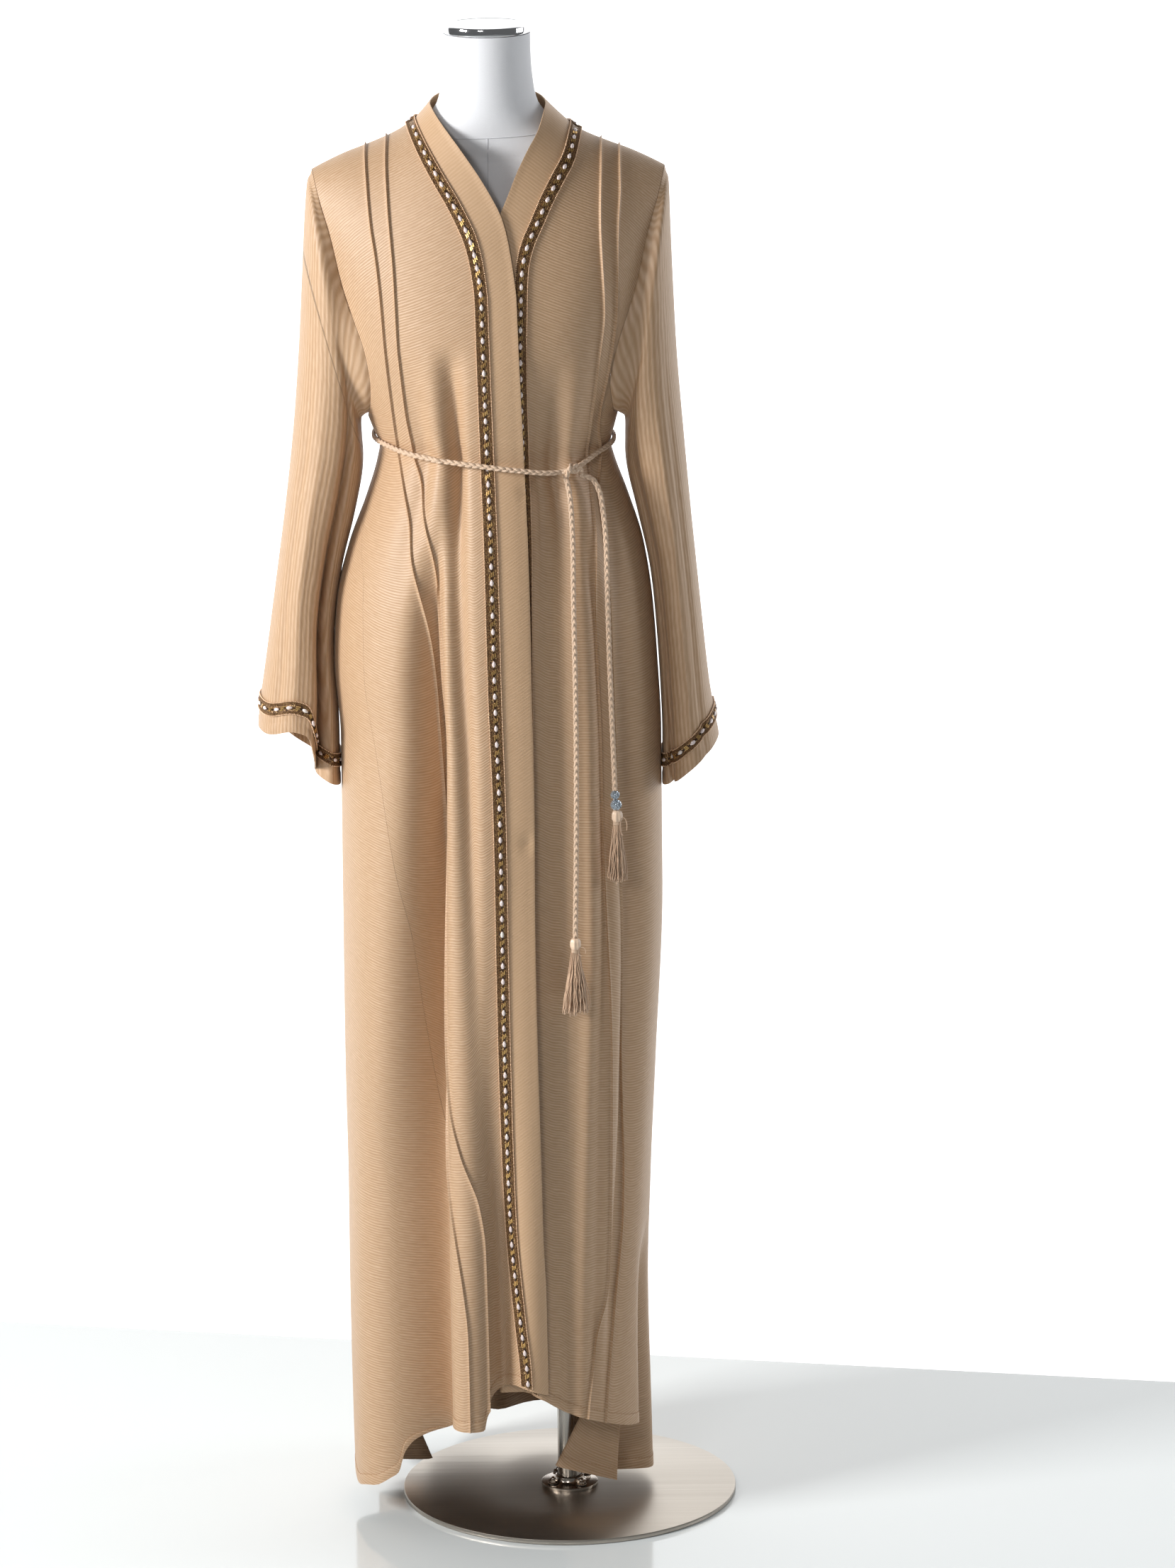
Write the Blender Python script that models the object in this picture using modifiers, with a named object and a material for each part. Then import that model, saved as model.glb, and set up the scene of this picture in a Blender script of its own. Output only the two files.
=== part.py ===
"""Abaya cloak worn on a limbless dress form that stands on a round base plate.

Metres, +Z up. The origin is the middle of the base plate's underside, the front faces -Y, and +X is
the wearer's left. The form stands to one side of its pole, at BODY_X.

The cloth is one surface round the body, read by an angle and a height. The angle is 0 at the wearer's
left side, 90 at the front and 180 at the wearer's right side. Up to the chest the height is a real
height. Above the chest it is the chest height plus a share, 0 to 1, of the arch that runs from the
chest over the shoulder. Each panel is a stretch of that surface with a wall's thickness.
"""

from math import cos, pi, radians, sin

import bmesh
import bpy
import numpy as np

WALL = 0.0016
SEAM_GAP = 0.0003
BODY_X = -0.0755
CHEST = 1.400
ARCH_REACH = 0.235
FOLD_END = 1.45

# Columns: height, reach to the wearer's right, reach to the left, depth of the front, depth of the back
BODY = (
    (0.000, 0.180, 0.177, 0.182, 0.195),
    (0.100, 0.182, 0.175, 0.181, 0.192),
    (0.270, 0.1835, 0.172, 0.175, 0.185),
    (0.400, 0.183, 0.176, 0.170, 0.178),
    (0.540, 0.184, 0.183, 0.166, 0.172),
    (0.760, 0.183, 0.193, 0.160, 0.165),
    (0.940, 0.182, 0.193, 0.156, 0.160),
    (1.030, 0.188, 0.189, 0.153, 0.156),
    (1.100, 0.184, 0.184, 0.149, 0.150),
    (1.167, 0.168, 0.174, 0.142, 0.138),
    (1.226, 0.146, 0.156, 0.132, 0.120),
    (1.268, 0.133, 0.141, 0.121, 0.106),
    (1.285, 0.130, 0.137, 0.118, 0.102),
    (1.306, 0.138, 0.142, 0.120, 0.104),
    (1.400, 0.170, 0.170, 0.128, 0.110),
)

# Columns: distance from the body's middle, height of the shoulder line
SHOULDER = ((0.0, 1.700), (0.060, 1.676), (0.086, 1.661), (0.108, 1.648), (0.136, 1.636), (0.165, 1.625), (0.202, 1.607), (0.240, 1.585))

# Folds of the skirt and waist. Columns of each row: height, angle, spread to lower angles, spread to
# higher angles, depth outward
FOLDS = {
    "side_valley": (
        (0.030, 120, 7.5, 17, -0.072),
        (0.400, 119, 7, 18, -0.060),
        (0.600, 117.5, 6.5, 17, -0.048),
        (0.800, 117, 6.5, 15, -0.032),
        (1.000, 116, 6, 12, -0.014),
        (1.200, 118, 6, 8, -0.003),
    ),
    "right_flute": ((0.030, 146, 14, 20, 0.010), (0.700, 140, 12, 18, 0.006), (1.100, 140, 12, 18, 0.0)),
    "second_flute": ((0.100, 103, 8, 7, 0.010), (0.600, 102, 8, 8, 0.007), (1.050, 100, 8, 8, 0.002)),
    "trim_valley": ((0.100, 90, 6, 5, -0.030), (0.300, 91, 7, 5, -0.022), (0.600, 93, 8, 5, -0.006), (0.800, 93, 8, 5, 0.0)),
    "band_valley": ((0.100, 70, 4, 4, -0.006), (1.000, 72, 4, 4, -0.007), (1.200, 74, 4, 4, -0.002)),
    "left_flute": ((0.100, 60, 9, 8, 0.008), (0.600, 58, 9, 9, 0.008), (1.100, 60, 8, 8, 0.004)),
    "tuck_valley": ((0.100, 46, 8, 4, -0.003), (0.500, 35, 9, 4, -0.014), (0.900, 38, 9, 4, -0.016), (1.150, 38, 8, 4, -0.006)),
    "waist_valley_right": ((1.100, 128, 5, 5, 0.0), (1.270, 126, 5, 5, -0.006), (1.420, 124, 6, 6, 0.0)),
    "waist_flute_right": ((1.080, 106, 5, 5, 0.0), (1.280, 106, 5, 5, 0.004), (1.430, 106, 6, 6, 0.0)),
    "waist_valley_middle": ((1.120, 97, 5, 5, 0.0), (1.300, 99, 5, 5, -0.006), (1.440, 100, 6, 6, 0.0)),
    "waist_valley_left": ((1.100, 66, 5, 5, 0.0), (1.290, 64, 5, 5, -0.006), (1.440, 62, 6, 6, 0.0)),
    "waist_flute_left": ((1.120, 52, 5, 5, 0.0), (1.280, 50, 5, 5, 0.004), (1.420, 50, 6, 6, 0.0)),
    "waist_valley_side": ((1.100, 36, 5, 5, 0.0), (1.280, 34, 5, 5, -0.006), (1.420, 32, 6, 6, 0.0)),
    "back_valley_right": ((0.030, 222, 10, 10, -0.030), (0.700, 224, 9, 9, -0.016), (1.260, 230, 6, 6, -0.004)),
    "back_flute_right": ((0.030, 243, 9, 9, 0.010), (0.700, 244, 8, 8, 0.006), (1.260, 246, 5, 5, 0.002)),
    "back_valley_middle": ((0.030, 266, 10, 10, -0.034), (0.700, 266, 9, 9, -0.018), (1.260, 268, 6, 6, -0.004)),
    "back_flute_left": ((0.030, 288, 9, 9, 0.010), (0.700, 288, 8, 8, 0.006), (1.260, 286, 5, 5, 0.002)),
    "back_valley_left": ((0.030, 311, 10, 10, -0.030), (0.700, 310, 9, 9, -0.014), (1.260, 306, 6, 6, -0.004)),
}

# Cloth of the back tucked inward near the hem. Columns: angle, spread, shift toward the wearer's left,
# shift toward the back, and the height at which the tuck has faded
TUCKED = (
    (194, 7.0, 0.085, -0.020, 0.36),
    (372, 6.0, -0.122, -0.012, 0.36),
)

# Lines on the front, in the frame of the body's middle. Columns: height, distance toward the wearer's left
TRIM_RIGHT = (
    (0.000, 0.034), (0.204, 0.0282), (0.260, 0.0225), (0.316, 0.0170), (0.360, 0.0132), (0.408, 0.0108),
    (0.496, 0.0080), (0.648, 0.0055), (0.861, 0.004), (1.025, 0.000), (1.182, -0.002), (1.293, -0.005), (1.428, -0.008),
    (1.475, -0.009), (1.509, -0.013), (1.538, -0.020), (1.559, -0.029), (1.582, -0.041), (1.605, -0.055),
    (1.633, -0.071), (1.661, -0.086),
)
TRIM_LEFT = (
    (0.000, 0.036), (0.500, 0.036), (1.160, 0.038), (1.410, 0.035), (1.457, 0.036), (1.504, 0.038),
    (1.530, 0.044), (1.556, 0.056), (1.582, 0.068), (1.602, 0.079), (1.625, 0.092), (1.652, 0.100),
)
INNER_TUCK_RIGHT = (
    (0.000, -0.020), (0.130, -0.020), (0.356, -0.022), (0.407, -0.027), (0.472, -0.045), (0.529, -0.057),
    (0.604, -0.063), (0.700, -0.066), (0.941, -0.069), (1.116, -0.068), (1.165, -0.071), (1.234, -0.080),
    (1.290, -0.089), (1.340, -0.098), (1.409, -0.104), (1.501, -0.108), (1.579, -0.114), (1.623, -0.116),
    (1.700, -0.112),
)
OUTER_TUCK_RIGHT = (
    (0.000, -0.038), (0.130, -0.038), (0.250, -0.039), (0.303, -0.043), (0.370, -0.052), (0.420, -0.060),
    (0.472, -0.067), (0.554, -0.074), (0.700, -0.079), (0.941, -0.082), (1.064, -0.084), (1.129, -0.089),
    (1.186, -0.095), (1.230, -0.098), (1.290, -0.106), (1.340, -0.112), (1.409, -0.119), (1.476, -0.124),
    (1.514, -0.128), (1.554, -0.134), (1.598, -0.138), (1.629, -0.140), (1.700, -0.134),
)
INNER_TUCK_LEFT = (
    (0.000, 0.092), (0.133, 0.099), (0.224, 0.110), (0.304, 0.1225), (0.480, 0.1277), (0.636, 0.1295),
    (0.900, 0.124), (1.170, 0.118), (1.290, 0.112), (1.388, 0.122), (1.454, 0.130), (1.551, 0.127),
    (1.640, 0.129), (1.700, 0.122),
)
OUTER_TUCK_LEFT = (
    (0.000, 0.112), (0.132, 0.121), (0.256, 0.135), (0.384, 0.149), (0.468, 0.152), (0.640, 0.150),
    (0.900, 0.139), (1.170, 0.131), (1.290, 0.124), (1.388, 0.136), (1.450, 0.144), (1.548, 0.147),
    (1.592, 0.150), (1.629, 0.150), (1.700, 0.143),
)
# Distance of the armhole seam from the body's middle, and the width of the plain band below the neck
ARMHOLE = (
    (1.322, 0.142), (1.340, 0.139), (1.360, 0.138), (1.400, 0.143), (1.445, 0.157), (1.480, 0.168), (1.540, 0.182),
    (1.575, 0.193), (1.607, 0.202),
)
BAND_RIGHT_WIDTH = ((0.000, 0.020), (0.182, 0.023), (0.323, 0.034), (0.502, 0.038), (0.700, 0.038), (1.100, 0.043), (1.450, 0.040))
BAND_LEFT_WIDTH = ((0.000, 0.042), (1.450, 0.042))

# Angle of the side seams at a height: at the wearer's right the back swings forward into the valley
SIDE_RIGHT = (
    (0.000, 119.5), (0.460, 119.5), (0.532, 123), (0.628, 125.5), (0.720, 127), (0.796, 130.5),
    (0.884, 135), (1.000, 142), (1.070, 144), (1.130, 147), (1.180, 158), (1.260, 176), (1.322, 180),
)
SIDE_LEFT = ((0.000, 19), (0.200, 17), (0.500, 0), (1.322, 0))

# Height of the hem at an angle
HEM_FRONT = (
    (17, 0.105), (60, 0.142), (78.5, 0.180), (81, 0.184), (85, 0.187), (89, 0.184), (93.5, 0.180),
    (95.5, 0.172), (96.7, 0.152), (97.6, 0.137), (104, 0.136), (110, 0.134), (116, 0.126), (120, 0.120),
    (126, 0.118),
)
HEM_UNDER = (
    (17, 0.105), (31.5, 0.112), (40, 0.120), (57.5, 0.140), (63.5, 0.148), (68, 0.156), (74.5, 0.168),
    (80, 0.174), (98, 0.172),
)
HEM_BACK = (
    (116, 0.116), (120, 0.116), (125.5, 0.113), (130, 0.110), (134, 0.103), (137, 0.088), (139, 0.062),
    (142, 0.053), (146, 0.044), (151, 0.040), (161, 0.032), (170, 0.036), (180, 0.038), (194, 0.030),
    (215, 0.036), (270, 0.045), (325, 0.040), (345, 0.028), (360, 0.026), (368, 0.034), (372, 0.046),
    (379, 0.030),
)
FIXED_ROWS = (0.57, 0.70, 0.85, 1.00, 1.10, 1.167, 1.226, 1.262, 1.288, 1.322, 1.36, 1.40)
UNDERARM = 1.322
LOWER_SHARES = (0.0, 0.17, 0.40, 0.70)
ARCH_ROWS = (0.16, 0.32, 0.48, 0.62, 0.76, 0.89, 1.0)

TRIM_HALF = 0.008
TRIM_THICK = 0.0016
TUCK_HALF = 0.003
TUCK_HEIGHT = 0.0024
UNDERLAP = 0.0050
NECK_POINTS = 11
BACK_HEM_COLUMNS = (119.5, 125, 132, 137, 140, 151, 165, 177, 186, 194, 202, 214, 238, 262, 284, 302, 322,
                    340, 351, 359, 365, 369, 372, 375.5, 379)

CLOTH = ("cloth", (0.62, 0.42, 0.25), 0.55, 0.0)
SATIN = ("band satin", (0.66, 0.46, 0.28), 0.42, 0.0)
BEADS = ("beaded trim", (0.24, 0.13, 0.06), 0.4, 0.3)
CORD = ("cord", (0.78, 0.62, 0.45), 0.4, 0.0)
CRYSTAL = ("crystal", (0.35, 0.38, 0.42), 0.15, 0.3)
LINEN = ("form linen", (0.86, 0.86, 0.86), 0.8, 0.0)
CHROME = ("chrome", (0.8, 0.8, 0.8), 0.1, 1.0)
STEEL = ("brushed steel", (0.62, 0.60, 0.56), 0.3, 1.0)


def start_scene():
    """Empty the scene and return the collection that holds the parts."""
    for obj in list(bpy.data.objects):
        bpy.data.objects.remove(obj, do_unlink=True)
    parts = bpy.data.collections.new("abaya_on_dress_form")
    bpy.context.scene.collection.children.link(parts)
    return parts


def material(finish):
    name, colour, roughness, metallic = finish
    made = bpy.data.materials.get(name)
    if made is None:
        made = bpy.data.materials.new(name)
        made.use_nodes = True
        shader = made.node_tree.nodes["Principled BSDF"]
        shader.inputs["Base Color"].default_value = (*colour, 1.0)
        shader.inputs["Roughness"].default_value = roughness
        shader.inputs["Metallic"].default_value = metallic
    return made


def place(parts, name, data, finish):
    """Put mesh or curve data into the parts collection as one named object."""
    obj = bpy.data.objects.new(name, data)
    data.materials.append(material(finish))
    parts.objects.link(obj)
    return obj


def solid(parts, name, points, triangles, finish, smooth=True):
    """A closed mesh from its points and triangles, with its faces turned outward."""
    mesh = bpy.data.meshes.new(name)
    mesh.from_pydata(np.asarray(points).reshape(-1, 3).tolist(), [], np.asarray(triangles).tolist())
    work = bmesh.new()
    work.from_mesh(mesh)
    bmesh.ops.recalc_face_normals(work, faces=work.faces)
    work.to_mesh(mesh)
    work.free()
    if smooth:
        mesh.shade_smooth()
        mesh.set_sharp_from_angle(angle=radians(50))
    return place(parts, name, mesh, finish)


def read(table, at, column=1):
    """A table's column at the given heights or angles, straight between the rows."""
    rows = np.asarray(table, float)
    return np.interp(at, rows[:, 0], rows[:, column])


def unit(vectors):
    return vectors / np.linalg.norm(vectors, axis=-1, keepdims=True)


def reach(height, toward_right):
    """Half the body's width at a height, to one side."""
    share = np.clip(height - CHEST, 0.0, 1.0)
    low = np.where(toward_right, read(BODY, height, 1), read(BODY, height, 2))
    return np.where(height > CHEST, low + (ARCH_REACH - low) * np.sin(share * pi / 2), low)


def fold_depth(angle, height):
    """Sum of the folds at each angle, in degrees, and height: bells that are steeper on one side."""
    depth = np.zeros(np.broadcast(angle, height).shape)
    for rows in FOLDS.values():
        rows = np.asarray(rows, float)
        middle, low, high, out = (np.interp(height, rows[:, 0], rows[:, k]) for k in range(1, 5))
        out = np.where(height > rows[-1, 0], out * np.clip(1 - (height - rows[-1, 0]) / 0.1, 0, 1), out)
        away = (angle - middle + 180) % 360 - 180
        spread = np.where(away < 0, low, high)
        depth = depth + out * np.exp(-((away / spread) ** 2))
    return depth * np.clip((FOLD_END - height) / 0.05, 0, 1)


def tucked_shift(angle, height):
    """Level shifts of the cloth that is tucked inward near the hem."""
    angle, height = np.broadcast_arrays(np.asarray(angle, float), np.asarray(height, float))
    shift = np.zeros((*angle.shape, 3))
    for middle, spread, left, rear, end in TUCKED:
        away = (angle - middle + 180) % 360 - 180
        grown = np.clip((end - height) / (end - 0.03), 0, 1) ** 1.5
        shift[..., 0] += left * grown * np.exp(-((away / spread) ** 2))
        shift[..., 1] += rear * grown * np.exp(-((away / spread) ** 2))
    return shift


def base_outward(angle, height):
    """Level outward directions of the plain ovals, without the folds."""
    angle, height = np.broadcast_arrays(np.asarray(angle, float), np.asarray(height, float))
    turn = np.radians(angle)
    across = reach(height, np.cos(turn) < 0)
    deep = np.where(np.sin(turn) < 0, read(BODY, height, 4), read(BODY, height, 3))
    return unit(np.stack([np.cos(turn) / across, -np.sin(turn) / deep, np.zeros_like(turn)], -1))


def surface(angle, height):
    """Points of the cloth's middle surface: ellipses up to the chest, then arches over the shoulder."""
    angle, height = np.broadcast_arrays(np.asarray(angle, float), np.asarray(height, float))
    turn = np.radians(angle)
    across = reach(height, np.cos(turn) < 0)
    share = np.maximum(height - CHEST, 0.0)
    deep = np.where(np.sin(turn) < 0, read(BODY, height, 4), read(BODY, height, 3))
    x = across * np.cos(turn)
    y = -deep * np.sin(turn) * np.cos(share * pi / 2)
    top = read(SHOULDER, np.abs(x))
    z = np.where(height > CHEST, CHEST + (top - CHEST) * np.sin(share * pi / 2), height)
    points = np.stack([x + BODY_X, y, z], -1)
    return points + base_outward(angle, height) * fold_depth(angle, height)[..., None] + tucked_shift(angle, height)


def surface_normal(angle, height):
    """Outward unit normals of the surface, from small steps along it."""
    step = 0.05
    rise = 0.0008
    along = surface(angle + step, height) - surface(angle - step, height)
    up = surface(angle, height + rise) - surface(angle, height - rise)
    return unit(np.cross(up, along))


def angle_at(x, height, back=False):
    """Angle of the surface point at a distance toward the wearer's left, on the front or the back."""
    x = np.asarray(x, float)
    share = np.clip(x / reach(height, x < 0), -1.0, 1.0)
    turn = np.degrees(np.arccos(share))
    return 360 - turn if back else turn


def height_of(x, height):
    """Real height of the surface at a distance from the middle, for a height that may be an arch share."""
    share = np.clip(height - CHEST, 0.0, 1.0)
    return np.where(height > CHEST, CHEST + (read(SHOULDER, np.abs(x)) - CHEST) * np.sin(share * pi / 2), height)


def line_angle(line, height, back=False, side=1.0):
    """Angle of a line, given as distances at real heights, at each height or arch share."""
    x = side * read(line, height)
    for _ in range(24):
        x = side * read(line, height_of(x, height))
    return angle_at(x, height, back)


def panel_rows(hem):
    """Heights of a panel's rows over its columns, rising from the hem to the shoulder."""
    hem = np.asarray(hem, float)
    low = [hem + (FIXED_ROWS[0] - hem) * share for share in LOWER_SHARES]
    fixed = [np.full_like(hem, z) for z in FIXED_ROWS]
    arch = [np.full_like(hem, CHEST + share) for share in ARCH_ROWS]
    return np.array(low + fixed + arch)


def back_rows(hem):
    """The back's rows: its own lower hem, then the rows of the fronts, so that the side seams meet."""
    right_hem = read(HEM_FRONT, read(SIDE_RIGHT, 0.12))
    left_hem = 0.126
    for _ in range(6):
        left_hem = float(read(HEM_UNDER, read(SIDE_LEFT, left_hem)))
    front_hem = right_hem + (left_hem - right_hem) * np.linspace(0, 1, len(hem))
    return np.concatenate([[np.minimum(hem, front_hem - 0.002)], panel_rows(front_hem)])


def side_angle(table, height, side, back=False):
    """Angle of a panel's outer edge: the side seam below the arm and the armhole above it."""
    seam = read(table, height)
    arm = line_angle(ARMHOLE, height, back, side)
    if back:
        seam = np.where(seam < 90, seam + 360, seam) if side > 0 else seam
    return np.where(height <= UNDERARM + 0.0001, seam, arm)


def spread_columns(guides, counts):
    """Columns at the guide lines and evenly between them. Each guide is one angle a row."""
    columns = []
    for first, second, count in zip(guides[:-1], guides[1:], counts):
        for k in range(count):
            columns.append(first + (second - first) * k / count)
    columns.append(guides[-1])
    return np.array(columns).T


def offset_angle(angle, height, distance):
    """The angle a little way along the surface from another, in metres toward lower angles."""
    width = np.linalg.norm(surface(angle - 0.2, height) - surface(angle + 0.2, height), axis=-1)
    return angle - distance / width * 0.4


def wall(parts, name, middle, normals, half, finish, closed=False, raised=None):
    """A closed wall round a grid of points: outer and inner sheets, and a rim round its edges."""
    rows, columns = middle.shape[:2]
    lift = half if raised is None else half + raised
    outer = middle + normals * (lift[..., None] if raised is not None else lift)
    inner = middle - normals * half
    points = np.concatenate([outer.reshape(-1, 3), inner.reshape(-1, 3)])
    index = np.arange(rows * columns).reshape(rows, columns)
    below = rows * columns
    if closed:
        index = np.concatenate([index, index[:, :1]], 1)
    a, b, c, d = index[:-1, :-1].ravel(), index[:-1, 1:].ravel(), index[1:, 1:].ravel(), index[1:, :-1].ravel()
    sheet = np.concatenate([np.stack([a, b, c], 1), np.stack([a, c, d], 1)])
    borders = [index[0, :], index[-1, ::-1]]
    if not closed:
        borders += [index[::-1, 0], index[:, -1]]
    rims = []
    for border in borders:
        near, far = border[:-1], border[1:]
        rims += [np.stack([far, near, near + below], 1), np.stack([far, near + below, far + below], 1)]
    triangles = np.concatenate([sheet, sheet[:, ::-1] + below] + rims)
    return solid(parts, name, points, triangles, finish)


def mitred(points, normals):
    """Normals that keep the wall's thickness round sharp folds, from the level steps between columns."""
    step = np.diff(points, axis=1)
    level = unit(np.stack([-step[..., 1], step[..., 0], np.zeros(step.shape[:2])], -1))
    level = level * np.sign(np.sum(level * (normals[:, 1:] + normals[:, :-1]), -1, keepdims=True))
    middle = unit(level[:, :-1] + level[:, 1:])
    factor = 1 / np.maximum(np.sum(middle * level[:, 1:], -1, keepdims=True), 0.4)
    rise = normals[:, 1:-1, 2:]
    corner = np.concatenate([middle[..., :2] * np.sqrt(1 - rise**2), rise], -1) * factor
    result = normals.copy()
    upright = np.clip((CHEST - points[:, 1:-1, 2:]) / 0.2, 0, 1)
    result[:, 1:-1] = normals[:, 1:-1] * (1 - upright) + corner * upright
    return result


def seam_shift(points, toward, amount):
    """Moves edge points toward others by a small gap."""
    return points + unit(toward - points) * amount


class Front:
    """One front panel with its band and trim. side is -1 for the wearer's right and 1 for the left."""

    def __init__(self, side):
        self.side = side
        right = side < 0
        self.name = "right" if right else "left"
        self.trim_line = TRIM_RIGHT if right else TRIM_LEFT
        self.tucks = (INNER_TUCK_RIGHT, OUTER_TUCK_RIGHT) if right else (INNER_TUCK_LEFT, OUTER_TUCK_LEFT)
        self.side_seam = SIDE_RIGHT if right else SIDE_LEFT
        self.hem = HEM_FRONT if right else HEM_UNDER
        self.band_width = BAND_RIGHT_WIDTH if right else BAND_LEFT_WIDTH

    def lowered(self, angle, height, points):
        """The wearer's left front lies under the other one, and comes up to the surface past its edge."""
        if self.side < 0:
            return points
        edge = line_angle(TRIM_RIGHT, np.minimum(height, CHEST + 0.1)) - 14
        near = np.clip((angle - (edge - 26)) / 22, 0, 1)
        near = near * near * (3 - 2 * near)
        high = np.clip((height_of(points[..., 0] - BODY_X, height) - 1.56) / 0.07, 0, 1)
        deepest = np.min([fold_depth(angle + step, height) for step in (-8, -5, -2.5, 0, 2.5, 5, 8)], 0)
        sunk = (deepest - fold_depth(angle, height) - UNDERLAP) * near * (1 - high)
        return points + base_outward(angle, height) * sunk[..., None]

    def grid(self, angle, height):
        points = surface(angle, height)
        normals = surface_normal(angle, height)
        return self.lowered(angle, height, points), normals

    def panel_angles(self, height):
        """Angles of the panel's columns for rows of heights: side, outer tuck, inner tuck, trim seam."""
        seam = line_angle(self.trim_line, height)
        out = self.side * -1.0
        inner = line_angle(self.tucks[0], height)
        outer = line_angle(self.tucks[1], height)
        edge = side_angle(self.side_seam, height, self.side)
        outer = np.where(self.side < 0, np.minimum(outer, edge - 2.2), np.maximum(outer, edge + 2.2))
        inner = np.where(self.side < 0, np.minimum(inner, outer - 3.2), np.maximum(inner, outer + 3.2))
        guides = [edge]
        for tuck in (outer, inner):
            guides += [offset_angle(tuck, height, -out * TUCK_HALF), tuck, offset_angle(tuck, height, out * TUCK_HALF)]
        guides += [offset_angle(seam, height, -out * TRIM_HALF), offset_angle(seam, height, -out * SEAM_GAP / 2)]
        counts = (4, 1, 1, 1, 1, 1, 3, 1)
        angles = spread_columns([np.asarray(guide) for guide in guides], counts)
        tuck_columns = (5, 8)
        return angles, tuck_columns

    def build(self, parts):
        """The panel, its band and the trim over their seam."""
        columns = 14
        flat = np.full(columns, 0.15)
        height = panel_rows(flat)
        angles = self.row_angles(height)
        for _ in range(4):
            hem = read(self.hem, angles[0])
            height = panel_rows(hem)
            angles = self.row_angles(height)
        points, normals = self.grid(angles, height)
        points[-1, :, 1] -= SEAM_GAP / 2
        raised = np.zeros(points.shape[:2])
        raised[1:-1, 5] = TUCK_HEIGHT
        raised[1:-1, 8] = TUCK_HEIGHT
        if self.side > 0:
            points, normals, raised = points[:, ::-1], normals[:, ::-1], raised[:, ::-1]
        normals = mitred(points, normals)
        wall(parts, f"front_{self.name}", points, normals, WALL / 2, CLOTH, raised=raised)
        self.build_band(parts, height, points, normals)

    def row_angles(self, height):
        """Columns' angles where each column has its own row heights."""
        angles = np.empty_like(height)
        for column in range(height.shape[1]):
            angles[:, column] = self.panel_angles(height[:, column])[0][:, column]
        return angles

    def band_points(self, height, share):
        """The band's points at a share of its width: on the surface below, then rising to the neck."""
        seam_angle = line_angle(self.trim_line, height)
        seam = surface(seam_angle, height)
        seam_x = reach(height, seam_angle > 90) * np.cos(np.radians(seam_angle))
        real = seam[:, 2]
        climb = np.clip((real - 1.475) / 0.075, 0, 1)
        climb = climb * climb * (3 - 2 * climb)
        across = read(self.band_width, real)
        slant_x = read(((1.475, 0.040), (1.540, 0.034), (1.600, 0.028), (1.661, 0.0200)), real)
        slant_z = read(((1.475, 0.0), (1.540, 0.029), (1.600, 0.029), (1.661, 0.0210)), real)
        if self.side > 0:
            slant_x = slant_x + 0.012 * np.clip((real - 1.54) / 0.11, 0, 1)
            slant_z = slant_z + 0.006 * np.clip((real - 1.54) / 0.11, 0, 1)
        across = np.where(real > 1.475, slant_x, across)
        x = seam_x - self.side * across * share
        level = height.copy()
        for _ in range(12):
            top = read(SHOULDER, np.abs(x))
            wanted = np.clip((real + slant_z * share - CHEST) / (top - CHEST), 0, 1)
            level = np.where(real > 1.475, CHEST + np.arcsin(wanted) * 2 / pi, height)
        angle = angle_at(x, level)
        low_points, low_normals = self.grid(angle, level)
        free = np.stack([seam[:, 0] - self.side * across, seam[:, 1] * 0.92, real + slant_z], -1)
        seam_low, _ = self.grid(seam_angle, height)
        high_points = seam_low + (free - seam_low) * share
        points = low_points + (high_points - low_points) * climb[:, None]
        return points, low_normals, climb

    def build_band(self, parts, panel_height, panel_points, panel_normals):
        """The plain band inside the trim, and the trim that lies over the seam."""
        seam_column = -1 if self.side < 0 else 0
        next_column = -2 if self.side < 0 else 1
        height = panel_height[:, -1]
        shares = (0.0, 0.19, 0.58, 1.0)
        columns = []
        for share in shares:
            points, normals, climb = self.band_points(height, share)
            columns.append((points, normals, climb))
        middle = np.stack([column[0] for column in columns], 1)
        middle[:, 0] = seam_shift(middle[:, 0], middle[:, 1], SEAM_GAP / 2)
        hem_drop = read(((0.0, 0.0), (1.0, -0.008)), np.array(shares))
        if self.side < 0:
            middle[0, :, 2] += hem_drop
        along = np.gradient(middle, axis=0)
        across = np.gradient(middle, axis=1)
        normals = unit(np.cross(along, across)) * (-self.side)
        flip = np.sign(np.sum(normals * np.array([0.0, -1.0, 0.3]), -1, keepdims=True))
        normals = normals * flip
        normals[:, 0] = panel_normals[:, seam_column]
        climb = columns[0][2][:, None]
        for k in range(1, len(shares)):
            normals[:, k] = unit(normals[:, k] * climb + columns[k][1] * (1 - climb))
        middle[-1, :, 1] -= SEAM_GAP / 2
        if self.side > 0:
            middle, normals = middle[:, ::-1], normals[:, ::-1]
        wall(parts, f"band_{self.name}", middle, normals, WALL / 2, SATIN)
        first, second = (0, 1) if self.side < 0 else (-1, -2)
        seam = (panel_points[:, seam_column] + middle[:, first]) / 2
        strip = np.stack([panel_points[:, next_column], seam, middle[:, second]], 1)
        strip_normals = np.stack([panel_normals[:, next_column], panel_normals[:, seam_column], normals[:, second]], 1)
        if self.side > 0:
            strip, strip_normals = strip[:, ::-1], strip_normals[:, ::-1]
        lift = WALL / 2 + SEAM_GAP + TRIM_THICK / 2
        strip = strip + strip_normals * lift
        strip[0, :, 2] += 0.003
        wall(parts, f"trim_{self.name}", strip, strip_normals, TRIM_THICK / 2, BEADS)
        self.ridge = (middle[-1], normals[-1])


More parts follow.
